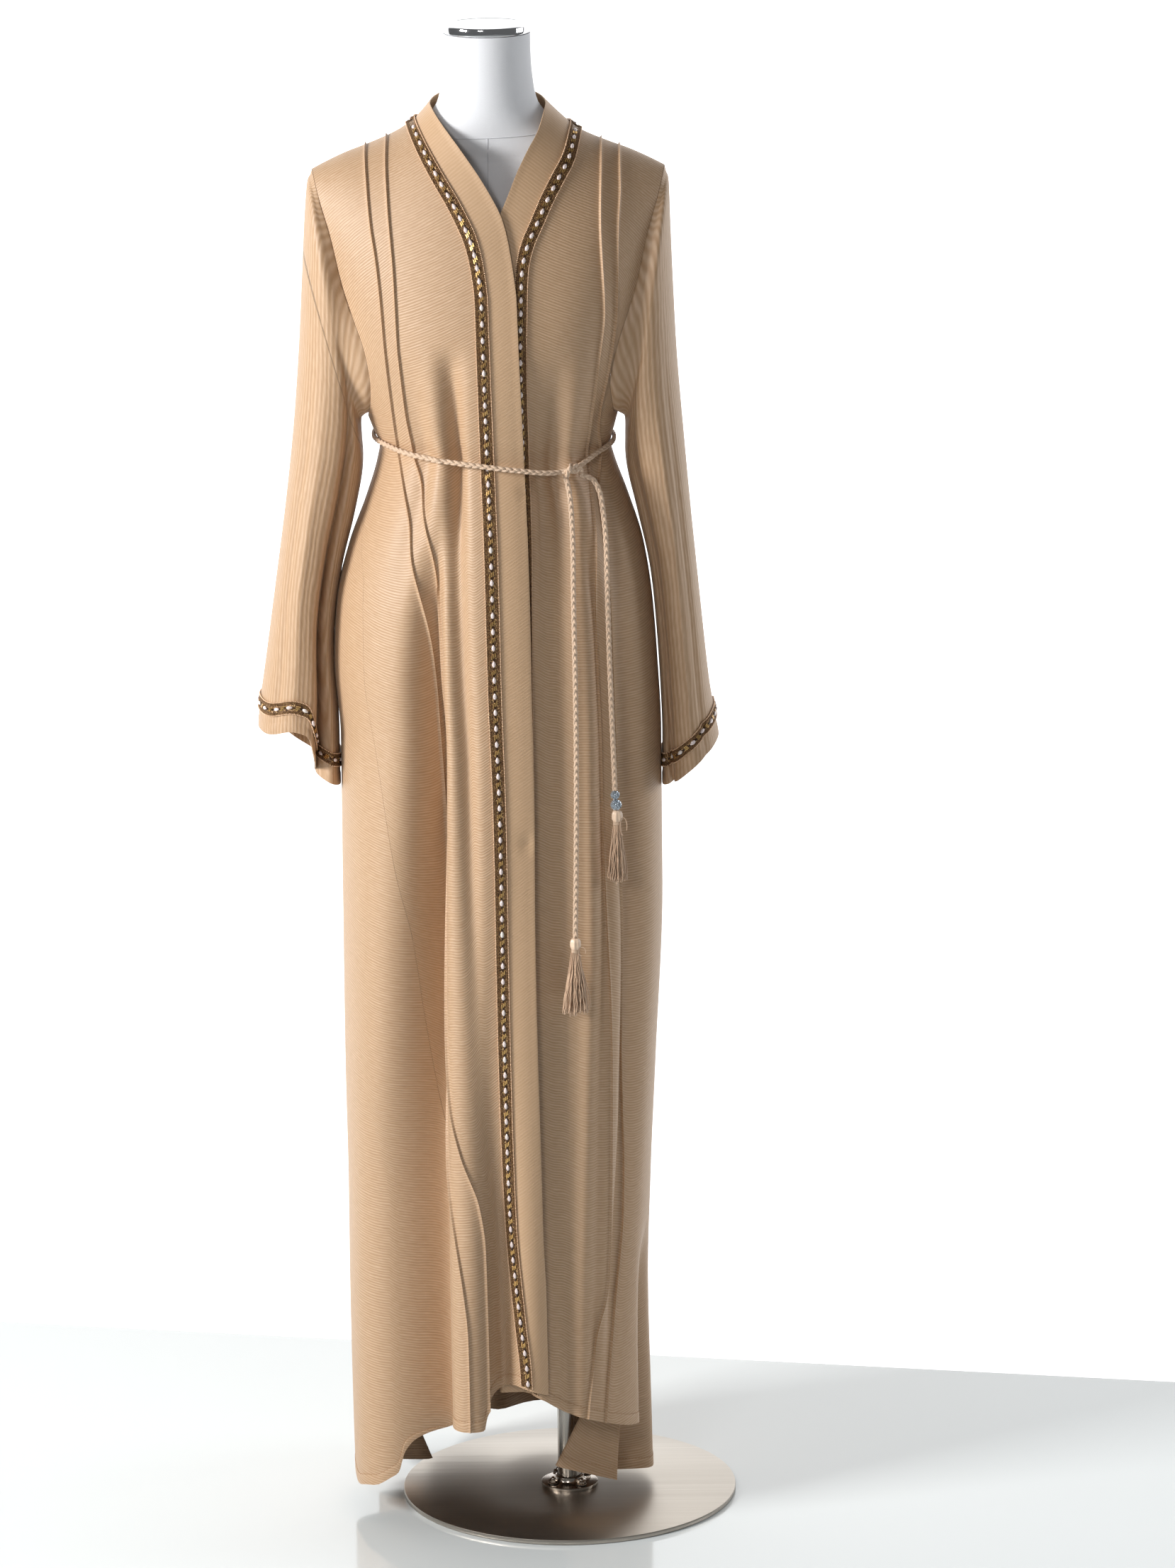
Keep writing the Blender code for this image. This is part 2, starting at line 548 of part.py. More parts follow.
def neck_curve():
    """Back neck seam from the wearer's right shoulder to the left: half an oval round the neck."""
    turn = np.linspace(0, pi, NECK_POINTS)
    right_end, left_end, depth = -0.086, 0.100, 0.066
    x = (right_end + left_end) / 2 - (left_end - right_end) / 2 * np.cos(turn)
    y = depth * np.sin(turn)
    share = np.full(NECK_POINTS, 0.5)
    for _ in range(40):
        angle = angle_at(x, CHEST + share, back=True)
        deep = read(BODY, CHEST, 4) * np.sin(np.radians(360 - angle))
        share = np.arccos(np.clip(y / deep, 0, 1)) * 2 / pi
    return x, share, turn


def build_back(parts):
    """The back panel, from the side seam at the wearer's right round to the other."""
    neck_x, neck_share, _ = neck_curve()
    shoulder = 4
    side_columns = 3
    columns = 2 * (shoulder + side_columns) + NECK_POINTS
    hem_angles = np.linspace(119.5, 379, columns)
    dense = np.asarray(BACK_HEM_COLUMNS, float)
    warp = (dense - dense[0]) / (dense[-1] - dense[0])
    for _ in range(3):
        height = back_rows(read(HEM_BACK, hem_angles))
        right = side_angle(SIDE_RIGHT, height[:, 0], -1.0, back=False)
        right = np.where(height[:, 0] <= UNDERARM + 0.0001, right, line_angle(ARMHOLE, height[:, 0], True, -1.0))
        left = side_angle(SIDE_LEFT, height[:, -1], 1.0, back=True)
        left = np.where(height[:, -1] <= UNDERARM + 0.0001, read(SIDE_LEFT, height[:, -1]) + 360, left)
        share = np.linspace(0, 1, columns)
        even = right[:, None] + (left - right)[:, None] * share
        uneven = right[:, None] + (left - right)[:, None] * warp
        low = np.clip((0.9 - height) / 0.5, 0, 1)
        angles = even + (uneven - even) * low
        hem_angles = angles[0]
    arch = np.clip((height - CHEST), 0, 1)
    top_x = np.concatenate([np.linspace(-0.202, neck_x[0], shoulder + side_columns + 1)[:-1], neck_x,
                            np.linspace(neck_x[-1], 0.202, shoulder + side_columns + 1)[1:]])
    top_share = np.concatenate([np.ones(shoulder + side_columns), neck_share, np.ones(shoulder + side_columns)])
    level = np.where(height > CHEST, CHEST + arch * top_share, height)
    top_angle = angle_at(top_x, CHEST + top_share, back=True)
    blend = arch * arch * (3 - 2 * arch)
    angles = angles + (top_angle - angles) * blend
    angles[1:, 0] = np.where(height[1:, 0] > UNDERARM + 0.0001, right[1:], angles[1:, 0])
    angles[1:, -1] = np.where(height[1:, -1] > UNDERARM + 0.0001, left[1:], angles[1:, -1])
    points = surface(angles, level)
    normals = surface_normal(angles, level)
    ridge = top_share > 0.9999
    points[-1, ridge, 1] += SEAM_GAP / 2
    edge_low = height[:, 0] <= UNDERARM + 0.0001
    points[edge_low, 0] = seam_shift(points[:, 0], points[:, 1], SEAM_GAP)[edge_low]
    points[edge_low, -1] = seam_shift(points[:, -1], points[:, -2], SEAM_GAP)[edge_low]
    wall(parts, "back", points, mitred(points, normals), WALL / 2, CLOTH)
    return points[-1, ~ridge | (np.abs(top_x - neck_x[0]) < 1e-6) | (np.abs(top_x - neck_x[-1]) < 1e-6)]


def build_collar(parts, fronts):
    """The standing band round the back of the neck, and the trim over its seam."""
    neck_x, neck_share, turn = neck_curve()
    angle = angle_at(neck_x, CHEST + neck_share, back=True)
    seam = surface(angle, CHEST + neck_share)
    seam_normal = surface_normal(angle, CHEST + neck_share)
    right_free = fronts[0].ridge[0][-1]
    left_free = fronts[1].ridge[0][0]
    middle_x = (right_free[0] + left_free[0]) / 2
    half_x = (left_free[0] - right_free[0]) / 2
    level = right_free[2] + (left_free[2] - right_free[2]) * turn / pi
    free = np.stack([middle_x - half_x * np.cos(turn), 0.062 * np.sin(turn), level + 0.012 * np.sin(turn)], -1)
    shares = np.array((0.0, 0.19, 0.58, 1.0))
    middle = seam[:, None] + (free - seam)[:, None] * shares[None, :, None]
    along = np.gradient(middle, axis=0)
    across = np.gradient(middle, axis=1)
    normals = unit(np.cross(along, across))
    outward = middle - np.array([BODY_X + 0.005, 0.0, 0.0])
    outward[..., 2] = 0.02
    normals = normals * np.sign(np.sum(normals * outward, -1, keepdims=True))
    normals[0] = fronts[0].ridge[1]
    normals[-1] = fronts[1].ridge[1][::-1]
    normals[1:-1, 0] = seam_normal[1:-1]
    middle[:, 0] = seam_shift(middle[:, 0], middle[:, 1], 0.0006)
    middle[0, :, 1] += SEAM_GAP / 2
    middle[-1, :, 1] += SEAM_GAP / 2
    wall(parts, "collar_back", middle, normals, WALL / 2, SATIN)
    centre = np.array([BODY_X + 0.007, 0.0])
    outer_xy = seam[:, :2] + unit(seam[:, :2] - centre) * TRIM_HALF
    outer_x = outer_xy[:, 0] - BODY_X
    share = neck_share.copy()
    for _ in range(40):
        outer_angle = angle_at(outer_x, CHEST + share, back=True)
        deep = read(BODY, CHEST, 4) * np.sin(np.radians(360 - outer_angle))
        share = np.arccos(np.clip(outer_xy[:, 1] / deep, 0, 1)) * 2 / pi
    outer_angle = angle_at(outer_x, CHEST + share, back=True)
    outer = surface(outer_angle, CHEST + share)
    outer_normal = surface_normal(outer_angle, CHEST + share)
    blend_normal = unit(seam_normal + normals[:, 1])
    lift = WALL / 2 + 0.0017 + TRIM_THICK / 2
    strip = np.stack([outer + outer_normal * lift, seam + blend_normal * (lift + 0.0006),
                      middle[:, 1] + normals[:, 1] * lift], 1)
    strip[0, :, 1] += SEAM_GAP
    strip[-1, :, 1] += SEAM_GAP
    wall(parts, "trim_neck", strip, np.stack([outer_normal, blend_normal, normals[:, 1]], 1), TRIM_THICK / 2, BEADS)


# Sleeve rings. Columns: reach of the outer point, its height, reach of the inner point, its height,
# depth to the front, depth to the back
SLEEVE_RIGHT = (
    (0.2085, 1.590, 0.1520, 1.311, 0.067, 0.064),
    (0.2125, 1.545, 0.1515, 1.293, 0.067, 0.065),
    (0.2165, 1.480, 0.1505, 1.270, 0.065, 0.067),
    (0.2220, 1.395, 0.1530, 1.245, 0.063, 0.069),
    (0.2300, 1.305, 0.1625, 1.200, 0.061, 0.071),
    (0.2410, 1.215, 0.1810, 1.135, 0.060, 0.072),
    (0.2540, 1.125, 0.1910, 1.055, 0.060, 0.072),
    (0.2680, 1.030, 0.1875, 0.965, 0.060, 0.072),
    (0.2760, 0.978, 0.1870, 0.913, 0.060, 0.072),
    (0.2780, 0.952, 0.1865, 0.880, 0.060, 0.070),
)
SLEEVE_LEFT = (
    (0.2070, 1.588, 0.1550, 1.311, 0.066, 0.064),
    (0.2085, 1.540, 0.1550, 1.293, 0.066, 0.065),
    (0.2110, 1.470, 0.1550, 1.270, 0.064, 0.067),
    (0.2150, 1.385, 0.1585, 1.245, 0.061, 0.069),
    (0.2220, 1.295, 0.1690, 1.200, 0.059, 0.071),
    (0.2300, 1.200, 0.1850, 1.135, 0.058, 0.072),
    (0.2390, 1.105, 0.1925, 1.055, 0.060, 0.074),
    (0.2490, 1.005, 0.1970, 0.960, 0.062, 0.076),
    (0.2560, 0.960, 0.1975, 0.905, 0.063, 0.076),
    (0.2600, 0.935, 0.1975, 0.876, 0.064, 0.074),
)
# Sleeve folds. Columns: share round the ring (0 outer edge, 0.25 front, 0.5 inner edge), spread, depth
# at the cuff, first ring, whether the hem drops there
SLEEVE_FOLDS = {
    -1.0: ((0.33, 0.028, -0.040, 4), (0.78, 0.05, -0.014, 3)),
    1.0: ((0.37, 0.045, -0.016, 3), (0.72, 0.05, -0.014, 3)),
}
SLEEVE_AROUND = 18
CUFF_TRIM_LOW = 0.022
CUFF_TRIM_HIGH = 0.038


def armhole_ring(side):
    """Points, outward normals and away-from-panel directions of the armhole, down the front and up the back."""
    height = np.array([CHEST + share for share in ARCH_ROWS[::-1]] + [z for z in FIXED_ROWS[::-1] if z >= UNDERARM])
    table = SIDE_RIGHT if side < 0 else SIDE_LEFT
    points, normals, away = [], [], []
    for back in (False, True):
        angle = side_angle(table, height, side, back)
        angle[-1] = 180.0 if side < 0 else (360.0 if back else 0.0)
        points.append(surface(angle, height))
        normals.append(surface_normal(angle, height))
        step = 0.5 if (side < 0) != back else -0.5
        away.append(unit(surface(angle + step, height) - points[-1]))
    half = len(height) - 1
    ring, ring_normals, ring_away = (
        np.concatenate([part[0], part[1][1:half][::-1]]) for part in (points, normals, away))
    ring_normals[0] = unit(normals[0][0] + normals[1][0])
    ring_away[0] = [side, 0.0, -0.4]
    ring_away[half] = [side * 0.3, 0.0, 1.0]
    return ring, ring_normals, unit(ring_away)


def sleeve_ring(row, side, turn):
    """One ring: an oval in the plane of its outer and inner points and the depth direction."""
    outer_x, outer_z, inner_x, inner_z, front, back = row
    mid_x, half_x = (outer_x + inner_x) / 2, (outer_x - inner_x) / 2
    mid_z, half_z = (outer_z + inner_z) / 2, (outer_z - inner_z) / 2
    deep = np.where(np.sin(turn) > 0, front, back)
    squared = np.sign(np.cos(turn)) * np.abs(np.cos(turn)) ** 0.9
    return np.stack([BODY_X + side * (mid_x + half_x * squared), -deep * np.sin(turn), mid_z + half_z * squared], -1)


def build_sleeve(parts, side):
    """A set-in sleeve: a tube from the armhole to the cuff, with its folds, and the trim above the hem."""
    name = "right" if side < 0 else "left"
    start, start_normals, start_away = armhole_ring(side)
    even = np.linspace(0, 2 * pi, SLEEVE_AROUND, endpoint=False)
    low, high = start[:, 2].min(), start[:, 2].max()
    matched = np.arccos(np.clip((2 * start[:, 2] - low - high) / (high - low), -1, 1))
    matched = np.where(even > pi, 2 * pi - matched, matched)
    table = SLEEVE_RIGHT if side < 0 else SLEEVE_LEFT
    turn = even
    rings = []
    count = len(table)
    for k, row in enumerate(table):
        turn = matched + (even - matched) * min(k / 5, 1.0)
        ring = sleeve_ring(row, side, turn)
        around = turn / (2 * pi)
        centre = ring.mean(0)
        for middle, spread, depth, first in SLEEVE_FOLDS[side]:
            grown = np.clip((k - first + 1) / (count - first), 0, 1)
            bell = np.exp(-(((around - middle + 0.5) % 1 - 0.5) / spread) ** 2)
            inward = unit((ring - centre) * np.array([0.4, 1.0, 0.0]))
            ring += inward * (depth * grown * bell)[:, None]
        rings.append(ring)
        if side < 0:
            near_hem = np.clip((k - 3) / (count - 4), 0, 1)
            lifted = 0.034 * np.exp(-((around - 0.21) / 0.085) ** 2)
            dropped = -0.010 * np.exp(-((around - 0.40) / 0.05) ** 2)
            ring[:, 2] += near_hem * (lifted + dropped)
    under = ((1 - np.cos(matched)) / 2)[:, None] ** 2
    first_ring = start + (rings[0] - start) * (0.38 - 0.26 * under) + (start_away * 0.0025 + start_normals * 0.0045) * under
    lean = under * pi / 2
    edge_normals = start_normals * np.cos(lean) - start_away * np.sin(lean)
    start = start + start_away * (SEAM_GAP + 0.0002 + WALL / 2 * np.sin(lean))
    hem = rings[-1]
    rise = unit(rings[-2] - hem)
    rings[-2:] = [hem + rise * CUFF_TRIM_HIGH, hem + rise * CUFF_TRIM_LOW, hem]
    middle = np.array([start, first_ring] + rings)
    wrapped = np.concatenate([middle[:, -1:], middle, middle[:, :1]], 1)
    around_step = (wrapped[:, 2:] - wrapped[:, :-2])
    along_step = np.gradient(middle, axis=0)
    normals = unit(np.cross(around_step, along_step))
    away = middle - middle.mean(1, keepdims=True)
    if np.sum(normals * away) < 0:
        normals = -normals
    normals[0] = edge_normals
    normals[1] = unit(normals[1] + edge_normals)
    wall(parts, f"sleeve_{name}", middle, normals, WALL / 2, CLOTH, closed=True)
    lift = WALL / 2 + SEAM_GAP + TRIM_THICK / 2
    band = middle[-3:-1] + normals[-3:-1] * lift
    wall(parts, f"cuff_trim_{name}", band, normals[-3:-1], TRIM_THICK / 2, BEADS, closed=True)


# Cord belt: its line round the waist, its radius and the hanging ends
BELT_RADIUS = 0.0033
BELT_STAND = 0.0076
BELT_LINE = ((0, 1.290), (30, 1.284), (45, 1.276), (60, 1.270), (80, 1.276), (95, 1.281), (125, 1.288),
             (155, 1.294), (180, 1.296), (225, 1.302), (300, 1.298), (360, 1.290))
KNOT_ANGLE = 52
CORD_RADIUS = 0.0031
# Hanging ends. Columns: distance from the body's middle, height, stand off the cloth in front
CORD_LONG = (
    (0.0895, 1.240, 0.010), (0.0920, 1.190, 0.008), (0.0920, 1.120, 0.008), (0.0930, 1.030, 0.008),
    (0.0930, 0.930, 0.009), (0.0915, 0.820, 0.012), (0.0895, 0.731, 0.0155),
)
CORD_SHORT = (
    (0.1190, 1.255, 0.010), (0.1260, 1.230, 0.010), (0.1300, 1.190, 0.010), (0.1310, 1.140, 0.010),
    (0.1325, 1.060, 0.010), (0.1345, 0.990, 0.012), (0.1375, 0.899, 0.016),
)


def hung(start, rows):
    """The way of a hanging end: from its start, then down the front a little clear of the cloth."""
    path = [start]
    for x, z, stand in rows:
        near = x + np.linspace(-0.012, 0.012, 7)
        front = surface(angle_at(near, np.full(7, z)), z)[:, 1].min()
        path.append(np.array([BODY_X + x, front - stand, z]))
    return np.array(path)


def smooth_path(points, spacing):
    """Evenly spaced points on a smooth curve through the given ones."""
    points = np.asarray(points, float)
    ends = np.concatenate([[2 * points[0] - points[1]], points, [2 * points[-1] - points[-2]]])
    fine = []
    for k in range(len(points) - 1):
        t = np.linspace(0, 1, 24, endpoint=False)[:, None]
        a, b, c, d = ends[k : k + 4]
        fine.append(0.5 * (2 * b + (c - a) * t + (2 * a - 5 * b + 4 * c - d) * t**2 + (3 * b - a - 3 * c + d) * t**3))
    fine = np.concatenate(fine + [points[-1:]])
    travelled = np.concatenate([[0], np.cumsum(np.linalg.norm(np.diff(fine, axis=0), axis=1))])
    count = max(4, int(round(travelled[-1] / spacing)))
    even = np.linspace(0, travelled[-1], count + 1)
    return np.stack([np.interp(even, travelled, fine[:, k]) for k in range(3)], 1)


def tube(parts, name, points, radius, finish, cyclic=False):
    """A cord as a poly curve with a round bevel and filled caps."""
    curve = bpy.data.curves.new(name, "CURVE")
    curve.dimensions = "3D"
    curve.bevel_depth = radius
    curve.bevel_resolution = 2
    curve.use_fill_caps = not cyclic
    spline = curve.splines.new("POLY")
    spline.points.add(len(points) - 1)
    for slot, point in zip(spline.points, points):
        slot.co = (*point, 1.0)
    spline.use_cyclic_u = cyclic
    return place(parts, name, curve, finish)


def belt_point(angle, stand=BELT_STAND):
    """A point of the belt's line, clear of the cloth and the trim, without the small waist folds."""
    angle = np.asarray(angle, float)
    height = read(BELT_LINE, angle % 360)
    turn = np.radians(angle)
    across = reach(height, np.cos(turn) < 0)
    deep = np.where(np.sin(turn) < 0, read(BODY, height, 4), read(BODY, height, 3))
    outward = unit(np.stack([np.cos(turn) / across, -np.sin(turn) / deep, np.zeros_like(turn)], -1))
    base = np.stack([BODY_X + across * np.cos(turn), -deep * np.sin(turn), height], -1)
    swell = np.maximum(fold_depth(angle, height), 0.0)
    return base + outward * (stand + swell)[..., None]


def ball(parts, name, centre, size, finish, segments=14, rings=8):
    """A rounded bead or knot as a stretched sphere."""
    work = bmesh.new()
    bmesh.ops.create_uvsphere(work, u_segments=segments, v_segments=rings, radius=1.0)
    for vertex in work.verts:
        vertex.co = [vertex.co[k] * size[k] + centre[k] for k in range(3)]
    mesh = bpy.data.meshes.new(name)
    work.to_mesh(mesh)
    work.free()
    mesh.shade_smooth()
    return place(parts, name, mesh, finish)


def build_tassel(parts, name, top, length, spread, strands=26):
    """A tassel: a turned head, with strands of three sides fused into its underside."""
    head_profile = ((0.0, 0.0), (0.0040, -0.0006), (0.0058, -0.004), (0.0062, -0.008), (0.0050, -0.012),
                    (0.0046, -0.014), (0.0062, -0.019), (0.0066, -0.022))
    sides = 12
    turn = np.linspace(0, 2 * pi, sides, endpoint=False)
    points = [np.array([[top[0], top[1], top[2]]])]
    for radius, drop in head_profile[1:]:
        ring = np.stack([top[0] + radius * np.cos(turn), top[1] + radius * np.sin(turn), np.full(sides, top[2] + drop)], 1)
        points.append(ring)
    base_z = top[2] + head_profile[-1][1]
    points.append(np.array([[top[0], top[1], base_z]]))
    triangles = []
    for k in range(sides):
        nxt = (k + 1) % sides
        triangles.append((0, 1 + k, 1 + nxt))
        for r in range(len(head_profile) - 2):
            a, b = 1 + r * sides + k, 1 + r * sides + nxt
            triangles += [(a, a + sides, b + sides), (a, b + sides, b)]
        last = 1 + (len(head_profile) - 2) * sides
        triangles.append((last + nxt, last + k, 1 + (len(head_profile) - 1) * sides))
    points = list(np.concatenate(points))
    head = bpy.data.meshes.new(name)
    head.from_pydata([list(p) for p in points], [], triangles)
    work = bmesh.new()
    work.from_mesh(head)
    bmesh.ops.recalc_face_normals(work, faces=work.faces)
    work.to_mesh(head)
    work.free()
    strand_points, strand_faces = [], []
    golden = pi * (3 - 5**0.5)
    for k in range(strands):
        out = ((k + 0.5) / strands) ** 0.5
        a = golden * k
        root = np.array([cos(a), sin(a)]) * out * 0.0053
        tip = np.array([cos(a), sin(a) * 0.7]) * out * spread
        fall = length * (1 - 0.07 * ((k * 7) % 5) / 4)
        stations = ((0.0, root), (0.45, root + (tip - root) * 0.62), (1.0, tip))
        start = len(strand_points)
        for share, xy in stations:
            z = base_z + 0.0012 - share * fall
            radius = 0.00062 - 0.00015 * share
            for j in range(3):
                b = a + 2 * pi * j / 3
                strand_points.append((top[0] + xy[0] + radius * cos(b), top[1] + xy[1] + radius * sin(b), z))
        strand_faces.append((start, start + 1, start + 2))
        for r in range(len(stations) - 1):
            for j in range(3):
                a0, b0 = start + 3 * r + j, start + 3 * r + (j + 1) % 3
                strand_faces += [(a0, a0 + 3, b0 + 3), (a0, b0 + 3, b0)]
        end = start + 3 * (len(stations) - 1)
        strand_faces.append((end + 2, end + 1, end))
    fringe = bpy.data.meshes.new(name + "_strands")
    fringe.from_pydata(strand_points, [], strand_faces)
    work = bmesh.new()
    work.from_mesh(fringe)
    bmesh.ops.recalc_face_normals(work, faces=work.faces)
    work.to_mesh(fringe)
    work.free()
    cutter = bpy.data.objects.new(name + "_strands", fringe)
    cutters().objects.link(cutter)
    cutter.hide_render = True
    cutter.display_type = "WIRE"
    obj = place(parts, name, head, CORD)
    union = obj.modifiers.new("join strands", "BOOLEAN")
    union.operation = "UNION"
    union.object = cutter
    return obj


def cutters():
    """The collection of guide objects, made on first use."""
    found = bpy.data.collections.get("cutters")
    if found is None:
        found = bpy.data.collections.new("cutters")
        found.hide_render = True
        bpy.context.scene.collection.children.link(found)
    return found


def build_belt(parts):
    """The cord belt round the waist, its knot and the two hanging ends with their tassels."""
    gap = 5.17
    angles = np.linspace(KNOT_ANGLE + gap, KNOT_ANGLE + 360 - gap, 42)
    tube(parts, "belt", belt_point(angles), BELT_RADIUS, CORD)
    knot = belt_point(KNOT_ANGLE, BELT_STAND + 0.0008)
    ball(parts, "belt_knot", knot, (0.0135, 0.0068, 0.0062), CORD)
    long_exit = knot + np.array([-0.0075, -0.0012, -0.00702])
    short_exit = knot + np.array([0.0095, 0.0010, -0.00702])
    long_path = smooth_path(hung(long_exit, CORD_LONG), 0.018)
    short_path = smooth_path(hung(short_exit, CORD_SHORT), 0.018)
    tube(parts, "cord_long", long_path, CORD_RADIUS, CORD)
    tube(parts, "cord_short", short_path, CORD_RADIUS, CORD)
    build_tassel(parts, "tassel_long", long_path[-1] + np.array([0, 0, -SEAM_GAP]), 0.090, 0.0165)
    top = short_path[-1] + np.array([0, 0, -SEAM_GAP])
    for k, name in enumerate(("bead_upper", "bead_lower")):
        radius = 0.0052 if k == 0 else 0.0064
        ball(parts, name, top + np.array([0.0, 0.0, -radius]), (radius, radius, radius), CRYSTAL)
        top = top + np.array([0.001, 0.0, -2 * radius - SEAM_GAP])
    build_tassel(parts, "tassel_short", top, 0.084, 0.0120)


# Form sections. Columns: height, half width, front depth, back depth
FORM = (
    (1.010, 0.060, 0.050, 0.060), (1.014, 0.110, 0.075, 0.085), (1.030, 0.138, 0.088, 0.102),
    (1.080, 0.150, 0.098, 0.114), (1.150, 0.146, 0.098, 0.108), (1.220, 0.124, 0.092, 0.090),
    (1.275, 0.112, 0.088, 0.080), (1.330, 0.122, 0.098, 0.084), (1.390, 0.140, 0.117, 0.094),
    (1.430, 0.150, 0.117, 0.098), (1.500, 0.162, 0.106, 0.094), (1.545, 0.171, 0.093, 0.084),
    (1.585, 0.177, 0.072, 0.060), (1.6085, 0.174, 0.053, 0.044), (1.6230, 0.163, 0.044, 0.034),
    (1.6335, 0.134, 0.048, 0.037), (1.6450, 0.107, 0.050, 0.042), (1.6560, 0.086, 0.052, 0.047),
    (1.6700, 0.067, 0.0535, 0.053), (1.6850, 0.057, 0.053, 0.0525), (1.7050, 0.0530, 0.0520, 0.0520),
    (1.7350, 0.0505, 0.0505, 0.0505), (1.7620, 0.0500, 0.0500, 0.0500),
)
FORM_AROUND = 28
CAP_TOP = 1.7726
CAP_THICK = 0.0100
POLE_RADIUS = 0.014
PLATE_RADIUS = 0.200
PLATE_THICK = 0.006
FLANGE_RADIUS = 0.034
FLANGE_THICK = 0.004
NUT_CIRCLE = 0.0245


def build_form(parts):
    """The torso and neck as stacked ovals, with flat ends and a socket for the pole below."""
    rows = np.asarray(FORM)
    turn = np.linspace(0, 2 * pi, FORM_AROUND, endpoint=False)
    z, half, front, back = (rows[:, k][:, None] for k in range(4))
    deep = np.where(np.sin(turn) > 0, front, back)
    ring = np.stack(np.broadcast_arrays(BODY_X + half * np.cos(turn), -deep * np.sin(turn), z), -1)
    count = len(rows)
    points = np.concatenate([ring.reshape(-1, 3), [[BODY_X, 0.0, rows[0, 0]], [BODY_X, 0.0, rows[-1, 0]]]])
    index = np.arange(count * FORM_AROUND).reshape(count, FORM_AROUND)
    loop = np.concatenate([index, index[:, :1]], 1)
    a, b, c, d = loop[:-1, :-1].ravel(), loop[:-1, 1:].ravel(), loop[1:, 1:].ravel(), loop[1:, :-1].ravel()
    bottom, top = count * FORM_AROUND, count * FORM_AROUND + 1
    triangles = np.concatenate([
        np.stack([a, b, c], 1), np.stack([a, c, d], 1),
        np.stack([loop[0, 1:], loop[0, :-1], np.full(FORM_AROUND, bottom)], 1),
        np.stack([loop[-1, :-1], loop[-1, 1:], np.full(FORM_AROUND, top)], 1),
    ])
    form = solid(parts, "form", points, triangles, LINEN)
    cutter = turned("pole_socket", ((0.0, 1.060), (POLE_RADIUS + SEAM_GAP, 1.060), (POLE_RADIUS + SEAM_GAP, 0.990), (0.0, 0.990)), 32)
    cutters().objects.link(cutter)
    cutter.hide_render = True
    cutter.display_type = "WIRE"
    cut = form.modifiers.new("pole socket", "BOOLEAN")
    cut.operation = "DIFFERENCE"
    cut.object = cutter


def turned(name, profile, steps):
    """A turned solid round the Z axis from a profile of radius and height, top to bottom."""
    mesh = bpy.data.meshes.new(name)
    mesh.from_pydata([(r, 0.0, z) for r, z in profile], [(k, k + 1) for k in range(len(profile) - 1)], [])
    obj = bpy.data.objects.new(name, mesh)
    screw = obj.modifiers.new("turn", "SCREW")
    screw.axis = "Z"
    screw.angle = 2 * pi
    screw.steps = steps
    screw.render_steps = steps
    screw.use_merge_vertices = True
    screw.merge_threshold = 0.00001
    screw.use_smooth_shade = True
    return obj


def build_stand(parts):
    """Base plate, bolted flange, pole and the chrome cap on the neck."""
    plate_edge = 0.0012
    profiles = {
        "base_plate": (((0.0, PLATE_THICK), (PLATE_RADIUS - plate_edge, PLATE_THICK), (PLATE_RADIUS, PLATE_THICK - plate_edge),
                        (PLATE_RADIUS, plate_edge), (PLATE_RADIUS - plate_edge, 0.0), (0.0, 0.0)), 56, STEEL, (0.0, 0.0)),
        "flange": (((POLE_RADIUS + SEAM_GAP, PLATE_THICK + 0.012), (POLE_RADIUS + 0.003, PLATE_THICK + 0.010),
                    (POLE_RADIUS + 0.003, PLATE_THICK + FLANGE_THICK + 0.001), (FLANGE_RADIUS - 0.0008, PLATE_THICK + FLANGE_THICK),
                    (FLANGE_RADIUS, PLATE_THICK + FLANGE_THICK - 0.0008), (FLANGE_RADIUS, PLATE_THICK + SEAM_GAP),
                    (POLE_RADIUS + SEAM_GAP, PLATE_THICK + SEAM_GAP), (POLE_RADIUS + SEAM_GAP, PLATE_THICK + 0.012)), 28, STEEL, (0.0, 0.0)),
        "pole": (((0.0, 1.0597), (POLE_RADIUS, 1.0597), (POLE_RADIUS, PLATE_THICK + SEAM_GAP), (0.0, PLATE_THICK + SEAM_GAP)), 32, STEEL, (0.0, 0.0)),
        "neck_cap": (((0.0, CAP_TOP), (0.0488, CAP_TOP), (0.0500, CAP_TOP - 0.0012), (0.0500, CAP_TOP - CAP_THICK + 0.0012),
                      (0.0488, CAP_TOP - CAP_THICK), (0.0, CAP_TOP - CAP_THICK)), 40, CHROME, (BODY_X, 0.0)),
    }
    for name, (profile, steps, finish, centre) in profiles.items():
        obj = turned(name, profile, steps)
        obj.data.materials.append(material(finish))
        obj.location = (*centre, 0.0)
        parts.objects.link(obj)
    for k in range(4):
        turn = radians(35 + 90 * k)
        nut = bpy.data.meshes.new(f"nut_{k + 1}")
        work = bmesh.new()
        bmesh.ops.create_cone(work, cap_ends=True, segments=6, radius1=0.0052, radius2=0.0052, depth=0.0052)
        work.to_mesh(nut)
        work.free()
        obj = place(parts, f"nut_{k + 1}", nut, CHROME)
        obj.location = (NUT_CIRCLE * cos(turn), NUT_CIRCLE * sin(turn), PLATE_THICK + FLANGE_THICK + 0.0038)


def main():
    parts = start_scene()
    fronts = [Front(-1.0), Front(1.0)]
    for front in fronts:
        front.build(parts)
    build_back(parts)
    build_collar(parts, fronts)
    build_sleeve(parts, -1.0)
    build_sleeve(parts, 1.0)
    build_belt(parts)
    build_form(parts)
    build_stand(parts)


main()
